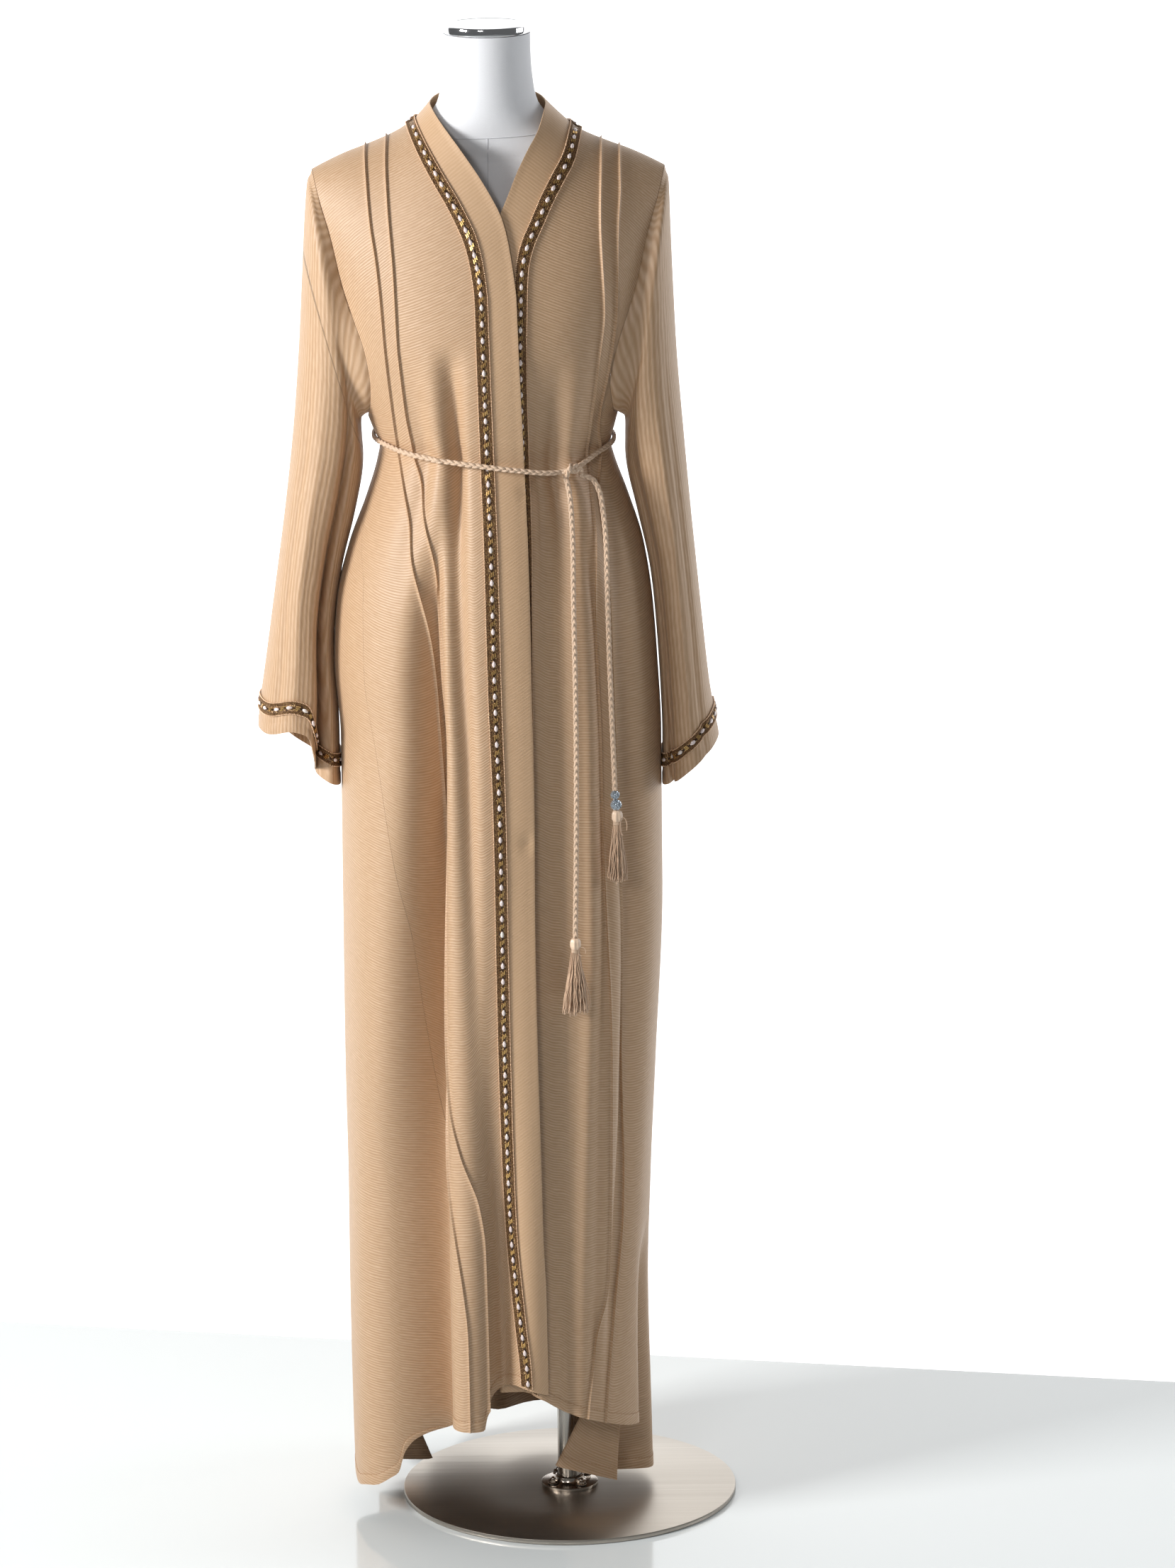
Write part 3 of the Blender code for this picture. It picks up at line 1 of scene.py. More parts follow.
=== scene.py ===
"""Dressed model of an abaya cloak worn on a limbless dress form that stands on a round base plate.

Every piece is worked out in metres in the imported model's own frame: +Z up, -Y toward the front of the
cloak, +X toward the wearer's left. The cloth is one mould round the body, read by an angle and a height,
and each panel is a stretch of it. The angle is 0 at the wearer's left side, 90 at the front and 180 at
the wearer's right side. Above the chest the height is the chest height plus a share, 0 to 1, of the arch
that runs over the shoulder.
"""

import logging
from dataclasses import dataclass
from enum import Enum
from functools import lru_cache
from math import cos, pi, radians, sin

import bpy
import numpy as np
from mathutils import Matrix, Vector


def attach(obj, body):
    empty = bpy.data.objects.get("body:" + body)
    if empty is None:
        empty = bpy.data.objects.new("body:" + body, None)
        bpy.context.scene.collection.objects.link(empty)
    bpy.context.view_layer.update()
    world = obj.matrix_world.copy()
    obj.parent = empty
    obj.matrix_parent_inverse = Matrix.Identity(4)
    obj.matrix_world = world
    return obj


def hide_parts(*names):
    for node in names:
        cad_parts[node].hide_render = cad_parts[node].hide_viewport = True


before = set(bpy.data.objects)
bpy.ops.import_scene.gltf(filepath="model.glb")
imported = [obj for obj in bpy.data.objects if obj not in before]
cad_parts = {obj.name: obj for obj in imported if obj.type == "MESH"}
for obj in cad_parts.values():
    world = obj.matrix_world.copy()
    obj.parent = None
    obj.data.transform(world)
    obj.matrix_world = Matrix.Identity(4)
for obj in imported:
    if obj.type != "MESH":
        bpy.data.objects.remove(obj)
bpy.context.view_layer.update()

log = logging.getLogger("abaya")

Array = np.ndarray
BODY_X = -0.0755
CHEST = 1.400
ARCH_REACH = 0.235
FOLD_END = 1.45
UNDERARM = 1.322
WALL = 0.0011
SEAM_GAP = 0.0003
HEM_TURN = 0.013

# Columns: height, reach to the wearer's right, reach to the left, depth of the front, depth of the back
BODY = (
    (0.000, 0.180, 0.177, 0.182, 0.195),
    (0.100, 0.182, 0.175, 0.181, 0.192),
    (0.270, 0.1835, 0.172, 0.175, 0.185),
    (0.400, 0.183, 0.176, 0.170, 0.178),
    (0.540, 0.184, 0.183, 0.166, 0.172),
    (0.760, 0.183, 0.193, 0.160, 0.165),
    (0.940, 0.182, 0.193, 0.156, 0.160),
    (1.030, 0.188, 0.189, 0.153, 0.156),
    (1.100, 0.184, 0.184, 0.149, 0.150),
    (1.167, 0.168, 0.174, 0.142, 0.138),
    (1.226, 0.146, 0.156, 0.132, 0.120),
    (1.268, 0.133, 0.141, 0.121, 0.106),
    (1.285, 0.130, 0.137, 0.118, 0.102),
    (1.306, 0.138, 0.142, 0.120, 0.104),
    (1.400, 0.170, 0.170, 0.128, 0.110),
)

# Columns: distance from the body's middle, height of the shoulder line
SHOULDER = (
    (0.0, 1.700), (0.060, 1.676), (0.086, 1.661), (0.108, 1.648), (0.136, 1.636), (0.165, 1.625),
    (0.202, 1.607), (0.240, 1.585),
)

# Folds of the skirt and waist. Columns of each row: height, angle, spread to lower angles, spread to
# higher angles, depth outward
FOLDS = {
    "side_valley": (
        (0.030, 120, 7.5, 17, -0.072), (0.400, 118.5, 6.5, 17, -0.062), (0.600, 116.5, 5, 13, -0.062),
        (0.800, 114.5, 4, 10, -0.060), (1.000, 113, 3.5, 8, -0.048), (1.100, 113, 3.5, 7, -0.030),
        (1.180, 114, 4, 6, -0.012), (1.230, 116, 5, 6, -0.003),
    ),
    "right_flute": ((0.030, 146, 14, 20, 0.010), (0.700, 140, 12, 18, 0.006), (1.100, 140, 12, 18, 0.0)),
    "second_flute": ((0.100, 103, 8, 7, 0.010), (0.600, 102, 8, 8, 0.007), (1.050, 100, 8, 8, 0.002)),
    "trim_valley": (
        (0.100, 90, 6, 5, -0.030), (0.300, 91, 7, 5, -0.022), (0.600, 93, 8, 5, -0.006), (0.800, 93, 8, 5, 0.0),
    ),
    "band_valley": ((0.100, 70, 4, 4, -0.006), (1.000, 72, 4, 4, -0.007), (1.200, 74, 4, 4, -0.002)),
    "left_flute": ((0.100, 60, 9, 8, 0.008), (0.600, 58, 9, 9, 0.008), (1.100, 60, 8, 8, 0.004)),
    "tuck_valley": (
        (0.100, 46, 8, 4, -0.003), (0.500, 35, 9, 4, -0.014), (0.900, 38, 9, 4, -0.016), (1.150, 38, 8, 4, -0.006),
    ),
    "waist_valley_right": ((1.100, 128, 5, 5, 0.0), (1.270, 126, 5, 5, -0.006), (1.420, 124, 6, 6, 0.0)),
    "waist_flute_right": ((1.080, 110, 5, 4, 0.0), (1.250, 117, 5, 4, 0.005), (1.430, 113, 6, 5, 0.0)),
    "waist_valley_middle": (
        (0.400, 98, 3, 3.5, 0.0), (0.600, 98.5, 3, 3.5, -0.003), (0.800, 99.5, 3, 3.5, -0.009),
        (0.950, 100.5, 3.2, 3.6, -0.012), (1.100, 102.5, 3.6, 3.8, -0.012), (1.170, 104.5, 4, 4.5, -0.014),
        (1.250, 107, 3.6, 4, -0.019), (1.290, 108, 3.6, 4, -0.018),
        (1.360, 106.5, 4, 4.5, -0.013), (1.450, 105, 5, 6, 0.0),
    ),
    "waist_valley_left": (
        (0.120, 67, 3, 3.5, -0.003), (0.500, 67, 3, 3.5, -0.009), (0.900, 66, 3, 3.8, -0.010),
        (1.100, 64, 3.4, 4.2, -0.011), (1.170, 62, 4, 4.5, -0.012), (1.250, 58, 4, 4.5, -0.018),
        (1.290, 58, 4, 4.5, -0.013), (1.350, 61, 4.5, 5, -0.008), (1.410, 64, 5.5, 5.5, -0.001),
        (1.450, 66, 6, 6, 0.0),
    ),
    "cord_valley": (
        (0.120, 51, 2.6, 3, -0.003), (0.600, 50, 2.6, 3, -0.007), (1.050, 50, 2.8, 3, -0.007), (1.240, 51, 3, 3, 0.0),
    ),
    "waist_flute_left": ((1.120, 52, 5, 5, 0.0), (1.280, 50, 5, 5, 0.004), (1.420, 50, 6, 6, 0.0)),
    "waist_valley_side": ((1.100, 36, 5, 5, 0.0), (1.280, 34, 5, 5, -0.006), (1.420, 32, 6, 6, 0.0)),
    "back_valley_right": ((0.030, 222, 10, 10, -0.030), (0.700, 224, 9, 9, -0.016), (1.260, 230, 6, 6, -0.004)),
    "back_flute_right": ((0.030, 243, 9, 9, 0.010), (0.700, 244, 8, 8, 0.006), (1.260, 246, 5, 5, 0.002)),
    "back_valley_middle": ((0.030, 266, 10, 10, -0.034), (0.700, 266, 9, 9, -0.018), (1.260, 268, 6, 6, -0.004)),
    "back_flute_left": ((0.030, 288, 9, 9, 0.010), (0.700, 288, 8, 8, 0.006), (1.260, 286, 5, 5, 0.002)),
    "back_valley_left": ((0.030, 311, 10, 10, -0.030), (0.700, 310, 9, 9, -0.014), (1.260, 306, 6, 6, -0.004)),
}

# Cloth of the back tucked inward near the hem. Columns: angle, spread, shift toward the wearer's left,
# shift toward the back, and the height at which the tuck has faded
TUCKED = ((194, 7.0, 0.085, -0.020, 0.36), (372, 6.0, -0.122, -0.012, 0.36))

# Lines on the front. Columns: height, distance from the body's middle toward the wearer's left
TRIM_RIGHT = (
    (0.000, 0.034), (0.204, 0.0282), (0.260, 0.0225), (0.316, 0.0170), (0.360, 0.0132), (0.408, 0.0108),
    (0.496, 0.0080), (0.648, 0.0055), (0.861, 0.004), (1.025, 0.000), (1.182, -0.002), (1.293, -0.005),
    (1.428, -0.008), (1.475, -0.009), (1.509, -0.013), (1.538, -0.020), (1.559, -0.029), (1.582, -0.041),
    (1.605, -0.055), (1.633, -0.071), (1.661, -0.086),
)
TRIM_LEFT = (
    (0.000, 0.036), (0.500, 0.036), (1.160, 0.038), (1.410, 0.035), (1.457, 0.036), (1.504, 0.038),
    (1.530, 0.044), (1.556, 0.056), (1.582, 0.068), (1.602, 0.079), (1.625, 0.092), (1.652, 0.100),
)
INNER_TUCK_RIGHT = (
    (0.000, -0.020), (0.130, -0.020), (0.356, -0.022), (0.407, -0.027), (0.472, -0.045), (0.529, -0.057),
    (0.604, -0.063), (0.700, -0.066), (0.941, -0.069), (1.116, -0.068), (1.165, -0.071), (1.234, -0.080),
    (1.290, -0.089), (1.340, -0.098), (1.409, -0.104), (1.501, -0.108), (1.579, -0.114), (1.623, -0.116),
    (1.700, -0.112),
)
OUTER_TUCK_RIGHT = (
    (0.000, -0.038), (0.130, -0.038), (0.250, -0.039), (0.303, -0.043), (0.370, -0.052), (0.420, -0.060),
    (0.472, -0.067), (0.554, -0.074), (0.700, -0.079), (0.941, -0.082), (1.064, -0.084), (1.129, -0.089),
    (1.186, -0.095), (1.230, -0.098), (1.290, -0.106), (1.340, -0.112), (1.409, -0.119), (1.476, -0.124),
    (1.514, -0.128), (1.554, -0.134), (1.598, -0.138), (1.629, -0.140), (1.700, -0.134),
)
INNER_TUCK_LEFT = (
    (0.000, 0.092), (0.133, 0.099), (0.224, 0.110), (0.304, 0.1225), (0.480, 0.1277), (0.636, 0.1295),
    (0.900, 0.124), (1.170, 0.118), (1.290, 0.112), (1.388, 0.122), (1.454, 0.130), (1.551, 0.127),
    (1.640, 0.129), (1.700, 0.122),
)
OUTER_TUCK_LEFT = (
    (0.000, 0.112), (0.132, 0.121), (0.256, 0.135), (0.384, 0.149), (0.468, 0.152), (0.640, 0.150),
    (0.900, 0.139), (1.170, 0.131), (1.290, 0.124), (1.388, 0.136), (1.450, 0.144), (1.548, 0.147),
    (1.592, 0.150), (1.629, 0.150), (1.700, 0.143),
)
ARMHOLE = (
    (1.322, 0.142), (1.340, 0.139), (1.360, 0.138), (1.400, 0.143), (1.445, 0.157), (1.480, 0.168),
    (1.540, 0.182), (1.575, 0.193), (1.607, 0.202),
)
BAND_RIGHT_WIDTH = (
    (0.000, 0.020), (0.182, 0.023), (0.323, 0.034), (0.502, 0.038), (0.700, 0.038), (1.100, 0.043), (1.450, 0.040),
)
BAND_LEFT_WIDTH = ((0.000, 0.042), (1.450, 0.042))

# Angle of the side seams at a height: at the wearer's right the back swings forward into the valley
SIDE_RIGHT = (
    (0.000, 119.5), (0.460, 119.5), (0.532, 123), (0.628, 125.5), (0.720, 127), (0.796, 130.5),
    (0.884, 135), (1.000, 142), (1.070, 144), (1.130, 147), (1.180, 158), (1.260, 176), (1.322, 180),
)
SIDE_LEFT = ((0.000, 19), (0.200, 17), (0.500, 0), (1.322, 0))

# Height of the hem at an angle
HEM_FRONT = (
    (17, 0.105), (60, 0.142), (78.5, 0.180), (81, 0.184), (85, 0.187), (89, 0.184), (93.5, 0.180),
    (95.5, 0.172), (96.7, 0.152), (97.6, 0.137), (104, 0.136), (110, 0.134), (116, 0.126), (120, 0.120),
    (126, 0.118),
)
HEM_UNDER = (
    (17, 0.105), (31.5, 0.112), (40, 0.120), (57.5, 0.140), (63.5, 0.148), (68, 0.156), (74.5, 0.168),
    (80, 0.174), (98, 0.172),
)
HEM_BACK = (
    (116, 0.116), (120, 0.116), (125.5, 0.113), (130, 0.110), (134, 0.103), (137, 0.088), (139, 0.062),
    (142, 0.053), (146, 0.044), (151, 0.040), (161, 0.032), (170, 0.036), (180, 0.038), (194, 0.030),
    (215, 0.036), (270, 0.045), (325, 0.040), (345, 0.028), (360, 0.026), (368, 0.034), (372, 0.046),
    (379, 0.030),
)
BACK_HEM_COLUMNS = (
    119.5, 125, 132, 137, 140, 151, 165, 177, 186, 194, 202, 214, 238, 262, 284, 302, 322, 340, 351, 359,
    365, 369, 372, 375.5, 379,
)

# Sleeve rings. Columns: reach of the outer point, its height, reach of the inner point, its height,
# depth to the front, depth to the back
SLEEVE_RIGHT = (
    (0.2085, 1.590, 0.1520, 1.311, 0.067, 0.064), (0.2125, 1.545, 0.1515, 1.293, 0.067, 0.065),
    (0.2165, 1.480, 0.1505, 1.270, 0.065, 0.067), (0.2220, 1.395, 0.1530, 1.245, 0.063, 0.069),
    (0.2300, 1.305, 0.1625, 1.200, 0.061, 0.071), (0.2410, 1.215, 0.1785, 1.135, 0.060, 0.072),
    (0.2540, 1.125, 0.1885, 1.055, 0.060, 0.072), (0.2680, 1.030, 0.1848, 0.965, 0.060, 0.072),
    (0.2760, 0.978, 0.1845, 0.913, 0.060, 0.072), (0.2780, 0.952, 0.1845, 0.880, 0.060, 0.070),
)
SLEEVE_LEFT = (
    (0.2070, 1.588, 0.1550, 1.311, 0.066, 0.064), (0.2085, 1.540, 0.1550, 1.293, 0.066, 0.065),
    (0.2110, 1.470, 0.1550, 1.270, 0.064, 0.067), (0.2150, 1.385, 0.1585, 1.245, 0.061, 0.069),
    (0.2220, 1.295, 0.1690, 1.200, 0.059, 0.071), (0.2300, 1.200, 0.1825, 1.135, 0.058, 0.072),
    (0.2390, 1.105, 0.1900, 1.055, 0.060, 0.074), (0.2490, 1.005, 0.1948, 0.960, 0.062, 0.076),
    (0.2560, 0.960, 0.1950, 0.905, 0.063, 0.076), (0.2600, 0.935, 0.1950, 0.876, 0.064, 0.074),
)
# Sleeve folds. Columns: share round the ring (0 outer edge, 0.25 front, 0.5 inner edge), spread to lower
# shares, spread to higher shares, depth at the cuff, first ring
SLEEVE_FOLDS = {
    -1.0: ((0.335, 0.016, 0.037, -0.041, 1), (0.78, 0.05, 0.05, -0.014, 3)),
    1.0: ((0.37, 0.020, 0.045, -0.022, 2), (0.72, 0.05, 0.05, -0.014, 3)),
}

BELT_LINE = (
    (0, 1.290), (30, 1.284), (45, 1.276), (60, 1.270), (80, 1.276), (95, 1.281), (125, 1.288), (155, 1.294),
    (180, 1.296), (225, 1.302), (300, 1.298), (360, 1.290),
)
# Hanging ends of the belt. Columns: distance from the body's middle, height, stand off the cloth in front
CORD_LONG = (
    (0.0895, 1.240, 0.010), (0.0920, 1.190, 0.008), (0.0920, 1.120, 0.008), (0.0930, 1.030, 0.008),
    (0.0930, 0.930, 0.009), (0.0915, 0.820, 0.012), (0.0895, 0.731, 0.0155),
)
CORD_SHORT = (
    (0.1190, 1.255, 0.010), (0.1260, 1.230, 0.010), (0.1300, 1.190, 0.010), (0.1310, 1.140, 0.010),
    (0.1325, 1.060, 0.010), (0.1345, 0.990, 0.012), (0.1375, 0.899, 0.016),
)

# Form sections. Columns: height, half width, front depth, back depth
FORM = (
    (1.010, 0.060, 0.050, 0.060), (1.014, 0.110, 0.075, 0.085), (1.030, 0.138, 0.088, 0.102),
    (1.080, 0.150, 0.098, 0.114), (1.150, 0.146, 0.098, 0.108), (1.220, 0.124, 0.092, 0.090),
    (1.275, 0.112, 0.088, 0.080), (1.330, 0.122, 0.098, 0.084), (1.390, 0.140, 0.117, 0.094),
    (1.430, 0.150, 0.117, 0.098), (1.500, 0.162, 0.106, 0.094), (1.545, 0.171, 0.093, 0.084),
    (1.585, 0.177, 0.072, 0.060), (1.6085, 0.174, 0.053, 0.044), (1.6230, 0.163, 0.044, 0.034),
    (1.6335, 0.134, 0.048, 0.037), (1.6450, 0.107, 0.050, 0.042), (1.6560, 0.086, 0.052, 0.047),
    (1.6700, 0.067, 0.0535, 0.053), (1.6850, 0.057, 0.053, 0.0525), (1.7050, 0.0530, 0.0520, 0.0520),
    (1.7350, 0.0505, 0.0505, 0.0505), (1.7620, 0.0500, 0.0500, 0.0500),
)


def unit(vectors: Array) -> Array:
    """Vectors over their own lengths."""
    return vectors / np.maximum(np.linalg.norm(vectors, axis=-1, keepdims=True), 1e-12)


def smooth_step(share: Array) -> Array:
    """3s^2 - 2s^3 of a share cut to 0..1."""
    share = np.clip(share, 0.0, 1.0)
    return share * share * (3 - 2 * share)


def bell(away: Array, spread: Array) -> Array:
    """exp(-(away/spread)^2)."""
    return np.exp(-((away / spread) ** 2))


class Profile:
    """A smooth curve through a table's rows that never passes beyond them.

    Each slope is the harmonic mean of its two neighbours' slopes, and 0 at a turn. Between two rows the
    curve is the cubic with those heights and slopes.
    """

    def __init__(self, rows: tuple, column: int = 1, flat_end: bool = False) -> None:
        """Find the slopes.

        Args:
            rows: table whose first column rises.
            column: which column the curve follows.
            flat_end: whether the last slope is 0.
        """
        table = np.asarray(rows, float)
        self.x, self.y = table[:, 0], table[:, column]
        gap = np.diff(self.x)
        slope = np.diff(self.y) / gap
        self.m = np.zeros_like(self.y)
        first, second = 2 * gap[1:] + gap[:-1], gap[1:] + 2 * gap[:-1]
        same = slope[:-1] * slope[1:] > 0
        low, high = np.where(same, slope[:-1], 1.0), np.where(same, slope[1:], 1.0)
        self.m[1:-1] = np.where(same, (first + second) / (first / low + second / high), 0.0)
        self.m[0] = slope[0]
        self.m[-1] = 0.0 if flat_end else slope[-1]

    def __call__(self, at: Array) -> Array:
        """Read the curve; past its ends it keeps its last value.

        Args:
            at: where to read the curve.

        Returns:
            The values.
        """
        at = np.clip(at, self.x[0], self.x[-1])
        k = np.clip(np.searchsorted(self.x, at, side="right") - 1, 0, len(self.x) - 2)
        gap = self.x[k + 1] - self.x[k]
        t = (at - self.x[k]) / gap
        s = 1 - t
        rise = t * s * gap * (s * self.m[k] - t * self.m[k + 1])
        return (1 + 2 * t) * s * s * self.y[k] + t * t * (3 - 2 * t) * self.y[k + 1] + rise


@lru_cache(maxsize=None)
def profile(rows: tuple, column: int = 1, flat_end: bool = False) -> Profile:
    """The smooth curve of a table's column, made once."""
    return Profile(rows, column, flat_end)


class Mould:
    """The cloth's middle surface round the body, and the lines drawn on it."""

    @staticmethod
    def reach(height: Array, toward_right: Array) -> Array:
        """Half the width to one side: the body's below the chest, then low + (full - low) sin(share pi/2).

        Args:
            height: heights in metres, or arch shares above the chest.
            toward_right: whether each point is on the wearer's right.

        Returns:
            Distances.
        """
        share = np.clip(height - CHEST, 0.0, 1.0)
        low = np.where(toward_right, profile(BODY, 1)(height), profile(BODY, 2)(height))
        return np.where(height > CHEST, low + (ARCH_REACH - low) * np.sin(share * pi / 2), low)

    @staticmethod
    def depth(angle: Array, height: Array) -> Array:
        """Depth of the front or back oval."""
        rear = np.sin(np.radians(angle)) < 0
        return np.where(rear, profile(BODY, 4, True)(height), profile(BODY, 3, True)(height))

    @staticmethod
    def fold_depth(angle: Array, height: Array) -> Array:
        """Sum over the folds of depth exp(-(away/spread)^2), each steeper on one side.

        Args:
            angle: degrees round the body, 0 at the wearer's left and 90 at the front.
            height: heights in metres, or arch shares above the chest.

        Returns:
            Depths outward.
        """
        angle, height = np.broadcast_arrays(np.asarray(angle, float), np.asarray(height, float))
        depth = np.zeros(angle.shape)
        for rows in FOLDS.values():
            middle, low, high, out = (profile(rows, k)(height) for k in range(1, 5))
            last = rows[-1][0]
            out = np.where(height > last, out * np.clip(1 - (height - last) / 0.1, 0, 1), out)
            away = (angle - middle + 180) % 360 - 180
            depth = depth + out * bell(away, np.where(away < 0, low, high))
        return depth * np.clip((FOLD_END - height) / 0.05, 0, 1)

    @staticmethod
    def tucked_shift(angle: Array, height: Array) -> Array:
        """Level shifts of the cloth that is tucked inward near the hem: shift g^1.5 exp(-(away/spread)^2).

        Args:
            angle: degrees round the body, 0 at the wearer's left and 90 at the front.
            height: heights in metres, or arch shares above the chest.

        Returns:
            Shifts.
        """
        shift = np.zeros((*angle.shape, 3))
        for middle, spread, left, rear, end in TUCKED:
            away = (angle - middle + 180) % 360 - 180
            grown = np.clip((end - height) / (end - 0.03), 0, 1) ** 1.5 * bell(away, spread)
            shift[..., 0] += left * grown
            shift[..., 1] += rear * grown
        return shift

    @classmethod
    def outward(cls, angle: Array, height: Array) -> Array:
        """Level outward directions of the plain ovals: (cos/across, -sin/deep) made unit.

        Args:
            angle: degrees round the body, 0 at the wearer's left and 90 at the front.
            height: heights in metres, or arch shares above the chest.

        Returns:
            Unit directions.
        """
        angle, height = np.broadcast_arrays(np.asarray(angle, float), np.asarray(height, float))
        turn = np.radians(angle)
        across = cls.reach(height, np.cos(turn) < 0)
        deep = cls.depth(angle, height)
        return unit(np.stack([np.cos(turn) / across, -np.sin(turn) / deep, np.zeros_like(turn)], -1))

    @classmethod
    def point(cls, angle: Array, height: Array) -> Array:
        """Surface points: x = across cos, y = -deep sin cos(share pi/2), z by the arch, then the folds.

        Args:
            angle: degrees round the body, 0 at the wearer's left and 90 at the front.
            height: heights in metres, or arch shares above the chest.

        Returns:
            Points.
        """
        angle, height = np.broadcast_arrays(np.asarray(angle, float), np.asarray(height, float))
        turn = np.radians(angle)
        share = np.maximum(height - CHEST, 0.0)
        x = cls.reach(height, np.cos(turn) < 0) * np.cos(turn)
        y = -cls.depth(angle, height) * np.sin(turn) * np.cos(share * pi / 2)
        z = cls.real_height(x, height)
        base = np.stack([x + BODY_X, y, z], -1)
        folds = cls.outward(angle, height) * cls.fold_depth(angle, height)[..., None]
        return base + folds + cls.tucked_shift(angle, height)

    @classmethod
    def normal(cls, angle: Array, height: Array) -> Array:
        """Outward unit normals: the cross product of small steps up and along.

        Args:
            angle: degrees round the body, 0 at the wearer's left and 90 at the front.
            height: heights in metres, or arch shares above the chest.

        Returns:
            Unit normals.
        """
        along = cls.point(angle + 0.05, height) - cls.point(angle - 0.05, height)
        up = cls.point(angle, height + 0.0008) - cls.point(angle, height - 0.0008)
        return unit(np.cross(up, along))

    @staticmethod
    def real_height(x: Array, height: Array) -> Array:
        """Height in metres at a distance from the middle, where the height may be an arch share.

        Args:
            x: distances from the body's middle toward the wearer's left.
            height: heights in metres, or arch shares above the chest.

        Returns:
            Heights.
        """
        share = np.clip(height - CHEST, 0.0, 1.0)
        top = profile(SHOULDER)(np.abs(x))
        return np.where(height > CHEST, CHEST + (top - CHEST) * np.sin(share * pi / 2), height)

    @classmethod
    def angle_at(cls, x: Array, height: Array, back: bool = False) -> Array:
        """Angle of the front or back point at a distance from the middle: arccos(x / reach).

        Args:
            x: distances from the body's middle toward the wearer's left.
            height: heights in metres, or arch shares above the chest.
            back: whether the points are on the back.

        Returns:
            Angles.
        """
        x = np.asarray(x, float)
        turn = np.degrees(np.arccos(np.clip(x / cls.reach(height, x < 0), -1.0, 1.0)))
        return 360 - turn if back else turn

    @classmethod
    def line_angle(cls, line: tuple, height: Array, back: bool = False, side: float = 1.0) -> Array:
        """Angle of a line, given as distances at real heights, at each height or arch share.

        Args:
            line: table of heights and distances.
            height: heights in metres, or arch shares above the chest.
            back: whether the points are on the back.
            side: -1 for the wearer's right and 1 for the left.

        Returns:
            Angles.
        """
        height = np.asarray(height, float)
        x = side * profile(line)(height)
        for _ in range(16):
            x = side * profile(line)(cls.real_height(x, height))
        return cls.angle_at(x, height, back)

    @classmethod
    def side_angle(cls, table: tuple, height: Array, side: float, back: bool = False) -> Array:
        """Angle of a panel's outer edge: the side seam below the arm and the armhole above it.

        Args:
            table: the side seam's heights and angles.
            height: heights in metres, or arch shares above the chest.
            side: -1 for the wearer's right and 1 for the left.
            back: whether the points are on the back.

        Returns:
            Angles.
        """
        seam = profile(table)(height)
        if back and side > 0:
            seam = seam + 360
        return np.where(height <= UNDERARM + 0.0001, seam, cls.line_angle(ARMHOLE, height, back, side))

    @classmethod
    def moved(cls, angle: Array, height: Array, distance: float) -> Array:
        """The angle a little way along the surface from another, in metres toward lower angles."""
        width = np.linalg.norm(cls.point(angle - 0.2, height) - cls.point(angle + 0.2, height), axis=-1)
        return angle - distance / width * 0.4


def panel_rows(hem: Array) -> Array:
    """Heights of a panel's rows over its columns, rising from the hem to the shoulder.

    The lowest rows stand at set distances above the hem, so that the turned hem keeps its depth.

    Args:
        hem: the hem's height in each column.

    Returns:
        Rows by columns of heights.
    """
    hem = np.asarray(hem, float)
    near = [hem + rise for rise in (0.0, 0.0008, 0.003, 0.007, 0.0115, HEM_TURN, 0.0143, 0.018, 0.024)]
    low = [near[-1] + (0.57 - near[-1]) * share for share in np.linspace(0, 1, 47)[1:]]
    middle = [np.full_like(hem, z) for z in np.linspace(0.57, CHEST, 104)[1:]]
    arch = [np.full_like(hem, CHEST + share) for share in np.linspace(0, 1, 37)[1:]]
    return np.array(near + low + middle + arch)


def mitred(points: Array, normals: Array) -> Array:
    """Normals that keep the wall's thickness round sharp folds, from the level steps between columns.

    Args:
        points: the points, in rows and columns or along a line.
        normals: outward directions at the points.

    Returns:
        Directions, longer at corners.
    """
    step = np.diff(points, axis=1)
    level = unit(np.stack([-step[..., 1], step[..., 0], np.zeros(step.shape[:2])], -1))
    level = level * np.sign(np.sum(level * (normals[:, 1:] + normals[:, :-1]), -1, keepdims=True))
    middle = unit(level[:, :-1] + level[:, 1:])
    factor = 1 / np.maximum(np.sum(middle * level[:, 1:], -1, keepdims=True), 0.4)
    rise = normals[:, 1:-1, 2:]
    corner = np.concatenate([middle[..., :2] * np.sqrt(1 - rise**2), rise], -1) * factor
    result = normals.copy()
    upright = np.clip((CHEST - points[:, 1:-1, 2:]) / 0.2, 0, 1)
    result[:, 1:-1] = normals[:, 1:-1] * (1 - upright) + corner * upright
    return result


def lengths(points: Array, axis: int = 0) -> Array:
    """Distance travelled along one axis of a grid of points.

    Args:
        points: the points, in rows and columns or along a line.
        axis: the axis to travel along.

    Returns:
        Distances, 0 at the start.
    """
    step = np.linalg.norm(np.diff(points, axis=axis), axis=-1)
    start = np.zeros_like(np.take(step, [0], axis=axis))
    return np.concatenate([start, np.cumsum(step, axis=axis)], axis=axis)


